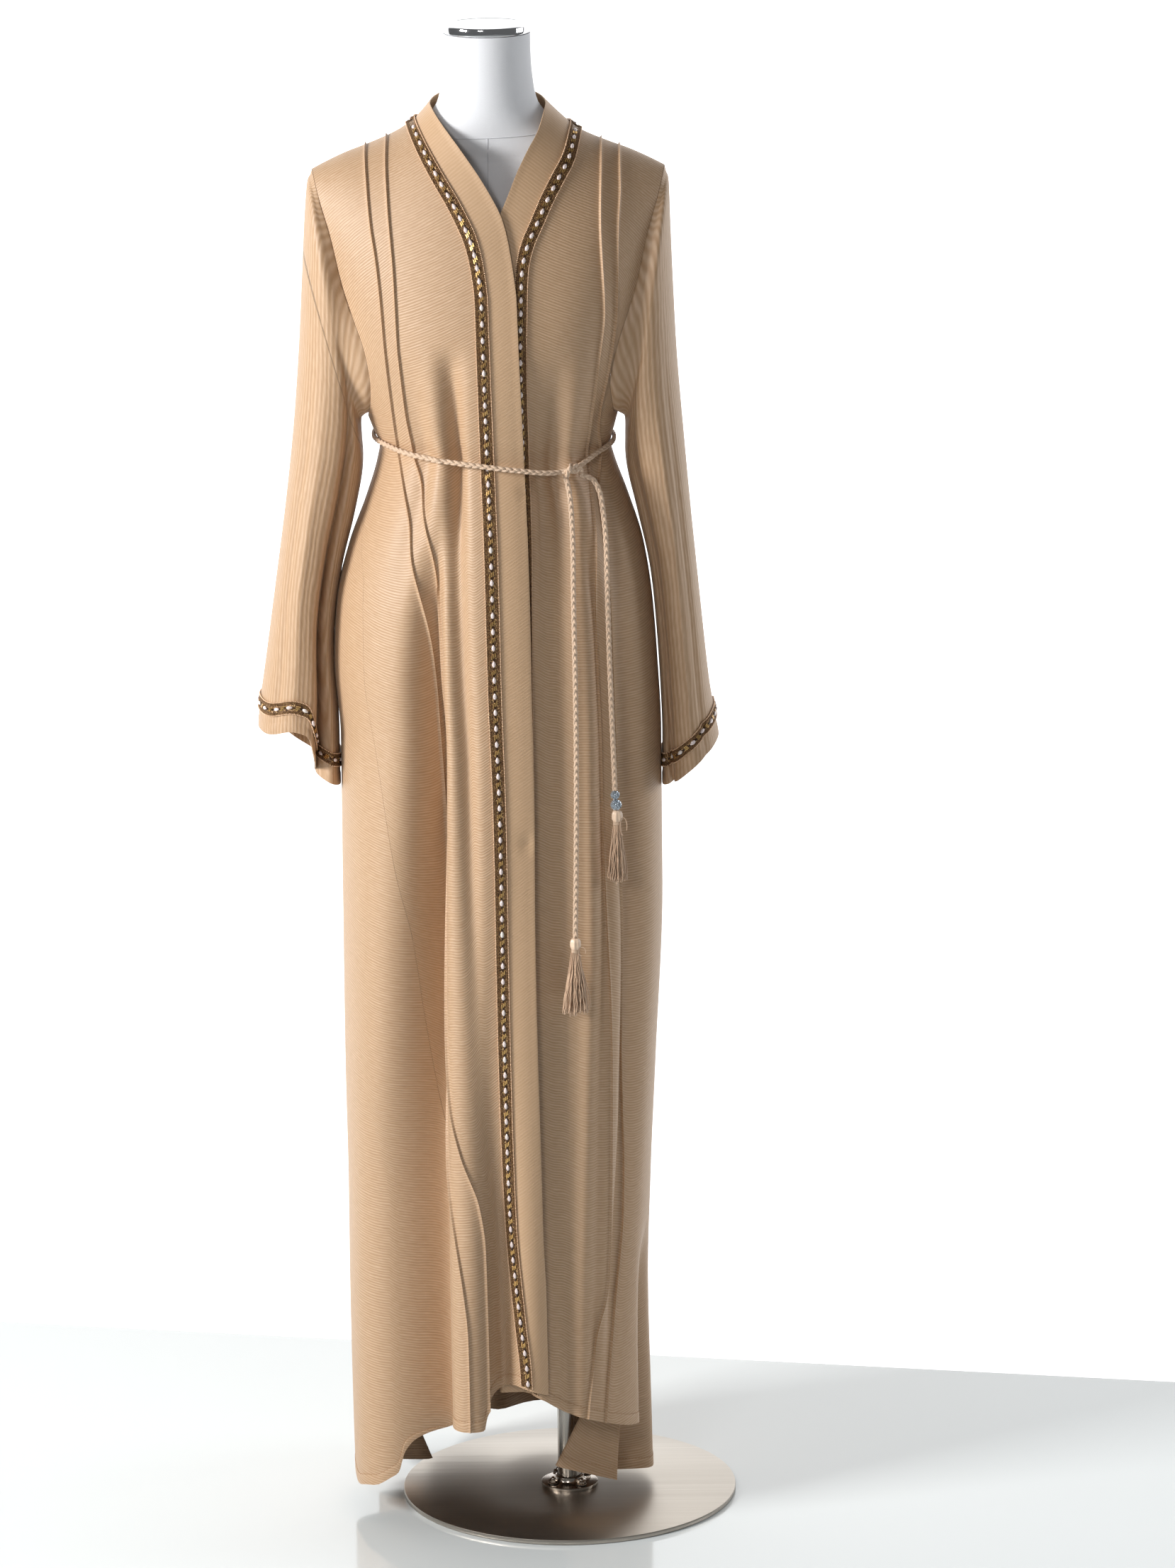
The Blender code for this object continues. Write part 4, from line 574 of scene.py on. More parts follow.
def smooth_path(points: Array, spacing: float) -> Array:
    """Evenly spaced points on the smooth curve through the given ones: four-point cubics, then resampled.

    Args:
        points: the points, in rows and columns or along a line.
        spacing: distance between points.

    Returns:
        Points.
    """
    points = np.asarray(points, float)
    ends = np.concatenate([[2 * points[0] - points[1]], points, [2 * points[-1] - points[-2]]])
    t = np.linspace(0, 1, 24, endpoint=False)[None, :, None]
    a, b, c, d = (ends[k : len(ends) - 3 + k][:, None] for k in range(4))
    curve = 0.5 * (2 * b + (c - a) * t + (2 * a - 5 * b + 4 * c - d) * t**2 + (3 * b - a - 3 * c + d) * t**3)
    return resample(np.concatenate([curve.reshape(-1, 3), points[-1:]]), spacing)


def resample(points: Array, spacing: float) -> Array:
    """Points at an even spacing along a polyline, its ends kept.

    Args:
        points: the points, in rows and columns or along a line.
        spacing: distance between points.

    Returns:
        Points.
    """
    travelled = lengths(points)
    count = max(4, int(round(travelled[-1] / spacing)))
    even = np.linspace(0, travelled[-1], count + 1)
    return np.stack([np.interp(even, travelled, points[:, k]) for k in range(3)], 1)


def grid_quads(index: Array, down_first: bool = False) -> Array:
    """Quads between the rows and columns of a grid of point numbers.

    Args:
        index: rows by columns of point numbers.
        down_first: whether each quad goes down its first column before it goes across.

    Returns:
        Four point numbers for each quad.
    """
    a, b, c, d = index[:-1, :-1], index[:-1, 1:], index[1:, 1:], index[1:, :-1]
    return np.stack([corner.ravel() for corner in ((a, d, c, b) if down_first else (a, b, c, d))], 1)


@dataclass
class Mesh:
    """Points, faces of one or more sizes, and a UV for each point, in metres on the cloth."""

    points: Array
    faces: list
    uv: Array | None = None

    @staticmethod
    def joined(parts: list) -> "Mesh":
        """Several meshes as one.

        Args:
            parts: the meshes.

        Returns:
            One mesh.
        """
        start, faces, uvs = 0, [], []
        for part in parts:
            faces += [face + start for face in part.faces]
            uvs.append(part.uv if part.uv is not None else np.zeros((len(part.points), 2)))
            start += len(part.points)
        sizes = sorted({face.shape[1] for face in faces})
        merged = [np.concatenate([face for face in faces if face.shape[1] == size]) for size in sizes]
        return Mesh(np.concatenate([part.points for part in parts]), merged, np.concatenate(uvs))

    @staticmethod
    def wall(middle: Array, normals: Array, half: float, uv: Array, closed: bool = False,
             raised: Array | None = None) -> "Mesh":
        """A closed wall round a grid: outer = middle + n (half + raised), inner = middle - n half.

        Args:
            middle: rows by columns of points.
            normals: outward directions, longer at mitred corners.
            half: half the wall's thickness.
            uv: rows by columns of cloth coordinates.
            closed: whether the columns join round.
            raised: extra thickness outside, rows by columns.

        Returns:
            The wall with a rim round its open edges.
        """
        if closed:
            middle, normals, uv = (np.concatenate([part, part[:, :1]], 1) for part in (middle, normals, uv))
            uv[:, -1, 0] = uv[:, -2, 0] * 2 - uv[:, -3, 0]
            raised = None if raised is None else np.concatenate([raised, raised[:, :1]], 1)
        lift = half if raised is None else (half + raised)[..., None]
        outer, inner = middle + normals * lift, middle - normals * half
        rows, columns = middle.shape[:2]
        below = rows * columns
        k = np.arange(below).reshape(rows, columns)
        if closed:
            weld = k.copy()
            weld[:, -1] = weld[:, 0]
        else:
            weld = k
        quads = grid_quads(weld)
        borders = [weld[0, :], weld[-1, ::-1]]
        if not closed:
            borders += [weld[::-1, 0], weld[:, -1]]
        rims = [np.stack([b[1:], b[:-1], b[:-1] + below, b[1:] + below], 1) for b in borders]
        faces = np.concatenate([quads, quads[:, ::-1] + below] + rims)
        corner = outer.reshape(-1, 3)[quads[:, :3]]
        facing = np.cross(corner[:, 1] - corner[:, 0], corner[:, 2] - corner[:, 0])
        if np.sum(facing * normals.reshape(-1, 3)[quads[:, 0]]) < 0:
            faces = faces[:, ::-1]
        points = np.concatenate([outer.reshape(-1, 3), inner.reshape(-1, 3)])
        return Mesh(points, [faces], np.concatenate([uv.reshape(-1, 2)] * 2))

    @staticmethod
    def tube(path: Array, radius: Array, around: int = 8, side: Array | None = None, flat: float = 1.0,
             closed: bool = False) -> "Mesh":
        """A round profile carried along a path, its ends capped.

        Each ring is c + r (cos t * a + flat sin t * b), with a beside the path and b square to both.

        Args:
            path: points of the middle line.
            radius: one radius, or one for each point.
            around: points in each ring.
            side: direction that the ring's first axis leans to.
            flat: the second axis over the first.
            closed: whether the path joins up.

        Returns:
            The tube.
        """
        count = len(path)
        if closed:
            tangent = unit(np.roll(path, -1, 0) - np.roll(path, 1, 0))
        else:
            tangent = unit(np.gradient(path, axis=0))
        lean = np.array([0.0, 0.0, 1.0]) if side is None else np.asarray(side, float)
        lean = np.broadcast_to(lean, path.shape)
        across = unit(np.cross(tangent, lean))
        upward = unit(np.cross(across, tangent))
        turn = np.linspace(0, 2 * pi, around, endpoint=False)
        radius = np.broadcast_to(np.asarray(radius, float), (count,))[:, None, None]
        ring = across[:, None] * np.cos(turn)[None, :, None] + upward[:, None] * np.sin(turn)[None, :, None] * flat
        points = path[:, None] + ring * radius
        travelled = lengths(path)
        u = np.broadcast_to(turn / (2 * pi) * 0.01, (count, around))
        uv = np.stack([u, np.broadcast_to(travelled[:, None], (count, around))], -1)
        k = np.arange(count * around).reshape(count, around)
        loop = np.concatenate([k, k[:, :1]], 1)
        if closed:
            loop = np.concatenate([loop, loop[:1]], 0)
        quads = grid_quads(loop, down_first=True)
        faces = [quads]
        if not closed:
            faces.append(np.stack([k[0], k[-1, ::-1]]))
        body = Mesh(points.reshape(-1, 3), faces, uv.reshape(-1, 2))
        return body.outward()

    @staticmethod
    def turned(rows: Array, around: int, centre: tuple = (0.0, 0.0), lobes: tuple = (0, 0.0)) -> "Mesh":
        """A turned solid: rows of (radius, height) from the top middle to the bottom middle.

        The radius is r (1 + depth cos(count t)) with the lobes' count and depth.

        Args:
            rows: a row for each place.
            around: points in each ring.
            centre: the middle.
            lobes: how many lobes, and their depth.

        Returns:
            The closed solid.
        """
        rows = np.asarray(rows, float)
        turn = np.linspace(0, 2 * pi, around, endpoint=False)
        wave = 1 + lobes[1] * np.cos(lobes[0] * turn)
        ring = rows[1:-1]
        x = centre[0] + ring[:, :1] * np.cos(turn) * wave
        y = centre[1] + ring[:, :1] * np.sin(turn) * wave
        z = np.broadcast_to(ring[:, 1:], x.shape)
        points = np.stack([x, y, z], -1).reshape(-1, 3)
        top, bottom = len(points), len(points) + 1
        points = np.concatenate([points, [[*centre, rows[0, 1]], [*centre, rows[-1, 1]]]])
        k = np.arange(len(ring) * around).reshape(len(ring), around)
        loop = np.concatenate([k, k[:, :1]], 1)
        quads = grid_quads(loop, down_first=True)
        caps = np.concatenate([
            np.stack([loop[0, :-1], loop[0, 1:], np.full(around, top)], 1),
            np.stack([loop[-1, 1:], loop[-1, :-1], np.full(around, bottom)], 1),
        ])
        return Mesh(points, [quads, caps]).outward()

    def outward(self) -> "Mesh":
        """The same closed mesh with its faces turned outward, by the sign of its volume.

        Returns:
            This mesh.
        """
        volume = 0.0
        for face in self.faces:
            origin = self.points[face[:, 0]]
            for k in range(1, face.shape[1] - 1):
                volume += np.sum(origin * np.cross(self.points[face[:, k]], self.points[face[:, k + 1]]))
        if volume < 0:
            self.faces = [face[:, ::-1] for face in self.faces]
        return self

    def scattered(self, origins: Array, axes: Array) -> "Mesh":
        """Copies of this small mesh: p = origin + x a + y b + z c, for each origin and its three axes.

        Args:
            origins: n points.
            axes: n by 3 by 3, rows a, b and c with their sizes.

        Returns:
            All the copies as one mesh.
        """
        points = origins[:, None] + np.einsum("vk,nkj->nvj", self.points, axes)
        starts = (np.arange(len(origins)) * len(self.points))[:, None, None]
        faces = [(face[None] + starts).reshape(-1, face.shape[1]) for face in self.faces]
        return Mesh(points.reshape(-1, 3), faces, np.zeros((points.shape[0] * points.shape[1], 2)))


def ball_mesh(around: int, rings: int, point: float = 0.0) -> Mesh:
    """A unit ball of a few dozen faces; with a point, its +Y end is drawn out like a drop.

    Args:
        around: points in each ring.
        rings: rings from pole to pole.
        point: how far the ball's end is drawn out.

    Returns:
        The ball.
    """
    tilt = np.linspace(0, pi, rings + 2)[1:-1]
    rows = [(0.0, 1.0)] + [(sin(t), cos(t)) for t in tilt] + [(0.0, -1.0)]
    ball = Mesh.turned(np.array(rows), around)
    x, y, z = ball.points.T
    narrow = 1 - point * np.clip(z, 0, 1)
    ball.points = np.stack([x * narrow, z * (1 + 0.15 * point), y * narrow], 1)
    return ball.outward()


def box_mesh() -> Mesh:
    """A unit cube of six faces, its corners at +-0.5.

    Returns:
        The cube.
    """
    corners = np.array([[x, y, z] for x in (-0.5, 0.5) for y in (-0.5, 0.5) for z in (-0.5, 0.5)])
    quads = np.array([[0, 1, 3, 2], [4, 6, 7, 5], [0, 4, 5, 1], [2, 3, 7, 6], [0, 2, 6, 4], [1, 5, 7, 3]])
    return Mesh(corners, [quads]).outward()


class Slot(Enum):
    """The record's material slots."""

    CLOTH = "cloth"
    BAND = "band_satin"
    TRIM = "beaded_trim"
    CORD = "cord"
    CRYSTAL = "crystal"
    LINEN = "form_linen"
    CHROME = "chrome"
    STEEL = "steel"


class Graph:
    """A material's node tree with short calls for the few kinds of node that the finishes use."""

    def __init__(self, name: str) -> None:
        """Start a material with one shader.

        Args:
            name: the name.
        """
        self.material = bpy.data.materials.new(name)
        self.material.use_nodes = True
        self.tree = self.material.node_tree
        self.shader = self.tree.nodes["Principled BSDF"]

    def add(self, kind: str, inputs: dict | None = None, **settings: object) -> bpy.types.Node:
        """Add a node.

        Args:
            kind: the node's type name.
            inputs: numbers, colours or sockets by the input's name or place.
            settings: the node's own settings.

        Returns:
            The node.
        """
        node = self.tree.nodes.new(kind)
        for name, value in settings.items():
            setattr(node, name, value)
        for key, value in (inputs or {}).items():
            self.feed(node.inputs[key], value)
        return node

    def feed(self, socket: bpy.types.NodeSocket, value: object) -> None:
        """Set a socket's constant, or link it to another socket.

        Args:
            socket: the input.
            value: a number, a colour or an output.
        """
        if isinstance(value, bpy.types.NodeSocket):
            self.tree.links.new(value, socket)
        else:
            socket.default_value = value

    def surface(self, **inputs: object) -> None:
        """Set the shader's inputs; an underscore stands for a space in the name."""
        for name, value in inputs.items():
            self.feed(self.shader.inputs[name.replace("_", " ")], value)

    def place(self, source: str, scale: tuple, turn: tuple = (0.0, 0.0, 0.0)) -> bpy.types.NodeSocket:
        """Coordinates from UV or Object, scaled and turned."""
        coordinates = self.add("ShaderNodeTexCoord").outputs[source]
        return self.add("ShaderNodeMapping", {"Vector": coordinates, "Scale": scale, "Rotation": turn}).outputs[0]

    def noise(self, vector: bpy.types.NodeSocket, scale: float, detail: float = 2.0) -> bpy.types.NodeSocket:
        """Soft noise, 0 to 1."""
        return self.add("ShaderNodeTexNoise", {"Vector": vector, "Scale": scale, "Detail": detail}).outputs[0]

    def mix(self, share: object, first: object, second: object) -> bpy.types.NodeSocket:
        """A colour between two by a share.

        Args:
            share: shares from 0 to 1.
            first: the value at share 0.
            second: the value at share 1.

        Returns:
            The colour's output.
        """
        node = self.add("ShaderNodeMix", data_type="RGBA")
        self.feed(node.inputs[0], share)
        self.feed(node.inputs[6], first)
        self.feed(node.inputs[7], second)
        return node.outputs[2]

    def ramp(self, value: bpy.types.NodeSocket, stops: tuple) -> bpy.types.NodeSocket:
        """A colour for each value between stops of (place, colour).

        Args:
            value: a number, a colour or an output.
            stops: places and colours.

        Returns:
            The colour's output.
        """
        node = self.add("ShaderNodeValToRGB", {0: value})
        elements = node.color_ramp.elements
        while len(elements) < len(stops):
            elements.new(0.5)
        for element, (at, colour) in zip(elements, stops):
            element.position = at
            element.color = colour
        return node.outputs[0]

    def sums(self, first: object, second: object, how: str = "ADD") -> bpy.types.NodeSocket:
        """Arithmetic on two values."""
        return self.add("ShaderNodeMath", {0: first, 1: second}, operation=how).outputs[0]

    def range(self, value: bpy.types.NodeSocket, low: float, high: float) -> bpy.types.NodeSocket:
        """A 0 to 1 value carried onto low to high."""
        return self.add("ShaderNodeMapRange", {0: value, 3: low, 4: high}).outputs[0]

    def bump(self, height: bpy.types.NodeSocket, distance: float, strength: float = 1.0,
             under: bpy.types.NodeSocket | None = None) -> bpy.types.NodeSocket:
        """A normal from a height in units of the distance.

        Args:
            height: heights in metres, or arch shares above the chest.
            distance: height of a full step.
            strength: share of the relief that shows.
            under: a coarser relief below it.

        Returns:
            The normal's output.
        """
        inputs = {"Height": height, "Distance": distance, "Strength": strength}
        if under is not None:
            inputs["Normal"] = under
        return self.add("ShaderNodeBump", inputs).outputs[0]


def rgb(red: float, green: float, blue: float) -> tuple:
    """A colour with full cover, from linear shares."""
    return (red, green, blue, 1.0)


@dataclass(frozen=True)
class Crepe:
    """Crinkled crepe: broken ribs a few millimetres apart over a fine crumple and a weave."""

    name: str
    colour: tuple
    # shade: the darker tone painted into the rib grooves as shade; the random mottling also leans toward it
    shade: tuple
    pitch: float
    rib_depth: float
    lengthwise: bool = False
    roughness: float = 0.50

    def build(self) -> bpy.types.Material:
        """Ribs from a wave stretched along them and pushed about by noise; colour darker in the grooves as painted
        shade.

        Returns:
            The material.
        """
        g = Graph(self.name)
        stretch = (1.0, 0.22, 1.0) if self.lengthwise else (0.22, 1.0, 1.0)
        ribs_at = g.place("UV", stretch)
        wave = g.add("ShaderNodeTexWave", {
            "Vector": ribs_at, "Scale": 2 * pi / (20 * self.pitch), "Distortion": 3.4, "Detail": 2.0,
            "Detail Scale": 0.9, "Detail Roughness": 0.55,
        }, wave_type="BANDS", bands_direction="X" if self.lengthwise else "Y", wave_profile="SIN").outputs[1]
        broken = g.noise(ribs_at, 420.0, 3.0)
        ribs = g.sums(g.sums(wave, g.range(broken, 0.35, 1.0), "MULTIPLY"), g.range(broken, -0.2, 0.35))
        flat = g.place("UV", (1.0, 1.0, 1.0))
        crumple = g.noise(flat, 95.0, 3.0)
        weave = g.noise(flat, 2600.0, 1.0)
        relief = g.bump(ribs, self.rib_depth)
        relief = g.bump(crumple, self.rib_depth * 1.1, 0.6, relief)
        relief = g.bump(weave, 0.00012, 0.5, relief)
        # Painted shade: the colour darkens toward the shade tone in the rib grooves.
        tone = g.mix(g.range(ribs, 0.0, 0.85), self.shade, self.colour)
        tone = g.mix(g.range(g.noise(flat, 14.0), 0.0, 0.10), tone, self.shade)
        g.surface(Base_Color=tone, Roughness=self.roughness, Sheen_Weight=0.18, Sheen_Roughness=0.45,
                  Sheen_Tint=rgb(1.0, 0.86, 0.70), Normal=relief, Specular_IOR_Level=0.55)
        return g.material


@dataclass(frozen=True)
class ThreadSatin:
    """Twisted satin thread: fine slanting lines round the strand and a soft gloss."""

    name: str
    colour: tuple
    shade: tuple
    roughness: float = 0.38

    def build(self) -> bpy.types.Material:
        """Lines at a slant from the strand's own UV, darkened toward the shade colour as painted shade.

        Returns:
            The material.
        """
        g = Graph(self.name)
        at = g.place("UV", (1.0, 1.0, 1.0), (0.0, 0.0, radians(62)))
        wave = g.add("ShaderNodeTexWave", {"Vector": at, "Scale": 620.0, "Distortion": 1.5, "Detail": 1.0},
                     wave_type="BANDS", bands_direction="X").outputs[1]
        # Painted shade: the tone darkens toward the shade colour along the slanting lines between the twisted threads.
        tone = g.mix(g.range(wave, 0.0, 0.55), self.colour, self.shade)
        g.surface(Base_Color=tone, Roughness=self.roughness, Sheen_Weight=0.4, Sheen_Roughness=0.3,
                  Sheen_Tint=rgb(1.0, 0.93, 0.84), Normal=g.bump(wave, 0.00016, 0.8))
        return g.material


@dataclass(frozen=True)
class BeadGround:
    """Ground of a beaded braid: a packed field of tiny dark beads on brown thread."""

    name: str

    def build(self) -> bpy.types.Material:
        """Cells 1.3 mm across, each its own shade from dark brown to old gold.

        Returns:
            The material.
        """
        g = Graph(self.name)
        at = g.place("Object", (1.0, 1.0, 1.0))
        cells = g.add("ShaderNodeTexVoronoi", {"Vector": at, "Scale": 780.0})
        tone = g.ramp(g.add("ShaderNodeSeparateColor", {0: cells.outputs["Color"]}).outputs[0], (
            (0.0, rgb(0.055, 0.026, 0.012)), (0.45, rgb(0.17, 0.085, 0.034)), (0.8, rgb(0.30, 0.17, 0.07)),
            (1.0, rgb(0.62, 0.42, 0.20)),
        ))
        lump = g.sums(1.0, cells.outputs["Distance"], "SUBTRACT")
        g.surface(Base_Color=tone, Roughness=0.42, Metallic=0.35, Normal=g.bump(lump, 0.0006))
        return g.material


@dataclass(frozen=True)
class Bead:
    """Beads of one kind, each a little different by where it lies."""

    name: str
    first: tuple
    second: tuple
    roughness: float
    metallic: float = 0.0
    coat: float = 0.0
    grain: float = 260.0

    def build(self) -> bpy.types.Material:
        """A tone between two colours from noise about a bead wide.

        Returns:
            The material.
        """
        g = Graph(self.name)
        spots = g.noise(g.place("Object", (1.0, 1.0, 1.0)), self.grain, 1.0)
        tone = g.mix(g.range(g.sums(spots, 2.4, "MULTIPLY"), -0.7, 0.3), self.first, self.second)
        g.surface(Base_Color=tone, Roughness=self.roughness, Metallic=self.metallic, Coat_Weight=self.coat,
                  Coat_Roughness=0.08)
        return g.material


@dataclass(frozen=True)
class Linen:
    """White cover cloth of the form: a fine plain weave."""

    name: str
    colour: tuple

    def build(self) -> bpy.types.Material:
        """Two crossed waves for the threads and noise for their unevenness.

        Returns:
            The material.
        """
        g = Graph(self.name)
        at = g.place("Object", (1.0, 1.0, 1.0))
        warp = g.add("ShaderNodeTexWave", {"Vector": at, "Scale": 420.0, "Distortion": 2.0},
                     bands_direction="X").outputs[1]
        weft = g.add("ShaderNodeTexWave", {"Vector": at, "Scale": 420.0, "Distortion": 2.0},
                     bands_direction="Z").outputs[1]
        weave = g.sums(warp, weft)
        slubs = g.noise(g.place("Object", (500.0, 500.0, 1400.0)), 1.0, 2.0)
        relief = g.bump(slubs, 0.00015, 0.6, g.bump(weave, 0.0001, 0.6))
        tone = g.mix(g.range(slubs, 0.0, 0.18), self.colour, rgb(0.66, 0.68, 0.72))
        g.surface(Base_Color=tone, Roughness=0.85, Sheen_Weight=0.15, Normal=relief)
        return g.material


@dataclass(frozen=True)
class Metal:
    """Bare metal, plain polished or with brush lines along one axis."""

    name: str
    colour: tuple
    roughness: float
    brushed: tuple | None = None
    anisotropic: float = 0.0

    def build(self) -> bpy.types.Material:
        """Streaks from noise stretched along the brushing, in roughness, tone and a shallow bump.

        Returns:
            The material.
        """
        g = Graph(self.name)
        stretch = self.brushed or (60.0, 60.0, 60.0)
        streaks = g.noise(g.place("Object", stretch), 1.0, 4.0)
        spread = 0.16 if self.brushed else 0.03
        tone = g.mix(g.range(streaks, 0.0, 0.45 if self.brushed else 0.08), self.colour,
                     tuple(0.72 * part for part in self.colour[:3]) + (1.0,))
        rough = g.range(streaks, self.roughness - spread / 2, self.roughness + spread)
        g.surface(Base_Color=tone, Metallic=1.0, Roughness=rough, Anisotropic=self.anisotropic,
                  Normal=g.bump(streaks, 0.00005 if self.brushed else 0.00001, 0.5))
        return g.material


@dataclass(frozen=True)
class Plain:
    """A smooth studio surface, or one that gives light."""

    name: str
    colour: tuple
    roughness: float = 0.5
    light: float = 0.0

    def build(self) -> bpy.types.Material:
        """One tone with a faint mottling.

        Returns:
            The material.
        """
        g = Graph(self.name)
        mottled = g.noise(g.place("Object", (1.0, 1.0, 1.0)), 2.0)
        tone = g.mix(g.range(mottled, 0.0, 0.06), self.colour, rgb(0.9, 0.95, 0.96))
        g.surface(Base_Color=tone, Roughness=self.roughness)
        if self.light:
            g.surface(Emission_Color=self.colour, Emission_Strength=self.light)
            behind = g.add("ShaderNodeNewGeometry").outputs["Backfacing"]
            g.surface(Alpha=g.range(behind, 1.0, 0.0))
        return g.material


# BEIGE_SHADE and the band satin's second colour are painted shade: the crepe's colour in its rib grooves.
BEIGE = rgb(0.645, 0.456, 0.305)
BEIGE_SHADE = rgb(0.430, 0.262, 0.142)
CREPE = Crepe("crinkled_crepe", BEIGE, BEIGE_SHADE, 0.0032, 0.00027)
CREPE_LENGTHWISE = Crepe("crinkled_crepe_lengthwise", BEIGE, BEIGE_SHADE, 0.0034, 0.00027, lengthwise=True)
BAND_SATIN = Crepe("band_satin", rgb(0.635, 0.430, 0.270), rgb(0.540, 0.345, 0.195), 0.0038, 0.00012, roughness=0.5)
STITCH = Bead("stitch_thread", rgb(0.36, 0.20, 0.10), rgb(0.46, 0.28, 0.15), 0.7)
# The second colour of the cord and tassel threads is painted shade along their twist lines.
CORD_SATIN = ThreadSatin("cord_satin", rgb(0.80, 0.60, 0.44), rgb(0.46, 0.28, 0.16), 0.34)
TASSEL_THREAD = ThreadSatin("tassel_thread", rgb(0.74, 0.52, 0.36), rgb(0.46, 0.27, 0.15), 0.42)
GROUND = BeadGround("braid_ground")
PICOT = Bead("copper_seed_beads", rgb(0.78, 0.50, 0.31), rgb(0.95, 0.72, 0.50), 0.34, 0.25)
SEED = Bead("bronze_seed_beads", rgb(0.16, 0.075, 0.03), rgb(0.48, 0.29, 0.13), 0.3, 0.55)
PEARL = Bead("pearls", rgb(0.80, 0.74, 0.70), rgb(0.78, 0.52, 0.54), 0.16, 0.0, 0.7, 34.0)
GOLD = Bead("gold_bugles", rgb(0.80, 0.52, 0.20), rgb(0.55, 0.30, 0.10), 0.25, 0.75)
DARK = Bead("dark_bugles", rgb(0.03, 0.014, 0.008), rgb(0.10, 0.05, 0.02), 0.2, 0.3)
CRYSTAL = Bead("grey_crystal", rgb(0.34, 0.40, 0.46), rgb(0.62, 0.68, 0.74), 0.09, 0.55, 0.6, 420.0)
LINEN = Linen("white_linen", rgb(0.84, 0.85, 0.88))
SEAM_THREAD = Bead("linen_seam", rgb(0.62, 0.63, 0.66), rgb(0.74, 0.75, 0.78), 0.8)
CHROME = Metal("polished_chrome", rgb(0.84, 0.84, 0.85), 0.07)
CAP_TOP_METAL = Metal("satin_cap_top", rgb(0.72, 0.745, 0.76), 0.35)
STEEL_PLATE = Metal("brushed_plate", rgb(0.50, 0.455, 0.40), 0.34, (2.0, 420.0, 30.0), 0.45)
STEEL_FLANGE = Metal("worn_chrome", rgb(0.52, 0.46, 0.40), 0.20)
STEEL_POLE = Metal("brushed_pole", rgb(0.55, 0.52, 0.48), 0.22, (420.0, 420.0, 3.0))
FLOOR = Plain("floor_gloss", rgb(0.66, 0.695, 0.70), 0.10)
BACKDROP = Plain("backdrop_white", rgb(1.0, 1.0, 1.0), 0.9, 1.05)


class Dresser:
    """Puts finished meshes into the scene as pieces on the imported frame."""

    made: dict = {}

    @classmethod
    def finish(cls, finish: object) -> bpy.types.Material:
        """A finish's material, built once.

        Args:
            finish: the finish.

        Returns:
            The material.
        """
        if finish.name not in cls.made:
            cls.made[finish.name] = finish.build()
        return cls.made[finish.name]

    @classmethod
    def piece(cls, name: str, mesh: Mesh, finish: object, slot: Slot, replaced: tuple = (),
              sharp: float = 55.0) -> bpy.types.Object:
        """Make one piece.

        Args:
            name: the piece's name.
            mesh: its points, faces and UV.
            finish: its material.
            slot: not used.
            replaced: CAD nodes that it stands for.
            sharp: edges that turn more than this many degrees stay sharp; 0 shades every face flat.

        Returns:
            The object, riding on the part's one body.
        """
        piece = cls.raw(name, mesh, finish, sharp)
        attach(piece, "root")
        if replaced:
            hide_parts(*replaced)
        faces = np.zeros(len(piece.data.polygons))
        piece.data.polygons.foreach_get("area", faces)
        log.info("%s: %d points, %d faces, %.4f square metres", name, len(mesh.points), len(faces), faces.sum())
        return piece

    @classmethod
    def raw(cls, name: str, mesh: Mesh, finish: object, sharp: float = 55.0) -> bpy.types.Object:
        """An object from a mesh, with its material and shading.

        Args:
            name: the name.
            mesh: the mesh.
            finish: the finish.
            sharp: angle in degrees past which an edge is kept sharp.

        Returns:
            The object.
        """
        data = bpy.data.meshes.new(name)
        loops = np.concatenate([face.ravel() for face in mesh.faces]).astype(np.int32)
        sizes = np.concatenate([np.full(len(face), face.shape[1], np.int32) for face in mesh.faces])
        starts = np.concatenate([[0], np.cumsum(sizes)[:-1]]).astype(np.int32)
        data.vertices.add(len(mesh.points))
        data.vertices.foreach_set("co", mesh.points.astype(np.float32).ravel())
        data.loops.add(len(loops))
        data.loops.foreach_set("vertex_index", loops)
        data.polygons.add(len(sizes))
        data.polygons.foreach_set("loop_start", starts)
        data.update(calc_edges=True)
        if mesh.uv is not None:
            layer = data.uv_layers.new(name="UVMap")
            layer.data.foreach_set("uv", mesh.uv[loops].astype(np.float32).ravel())
        if sharp:
            data.shade_smooth()
            data.set_sharp_from_angle(angle=radians(sharp))
        else:
            data.shade_flat()
        data.materials.append(cls.finish(finish))
        piece = bpy.data.objects.new(name, data)
        bpy.context.scene.collection.objects.link(piece)
        return piece


# Shares of the columns between a panel's guide lines. Each tuck's ridge rises in three steps.
TUCK_OUT = (0.0, 0.45, 0.68, 0.84)
TUCK_IN = (0.0, 0.10, 0.22, 0.34, 0.55)
PANEL_SHARES = (
    tuple(np.linspace(0, 1, 29)[:-1]), TUCK_OUT, TUCK_IN, tuple(np.linspace(0, 1, 9)[:-1]), TUCK_OUT, TUCK_IN,
    tuple(np.linspace(0, 1, 25)[:-1]), tuple(np.linspace(0, 1, 5)[:-1]),
)
TUCK_HALF = 0.003
TRIM_HALF = 0.008
UNDERLAP = 0.0050
BAND_SHARES = np.array((0.0, 0.06, 0.12, 0.19, 0.30, 0.42, 0.54, 0.66, 0.78, 0.88, 0.95, 0.98, 1.0))
TRIM_SHARE = 3


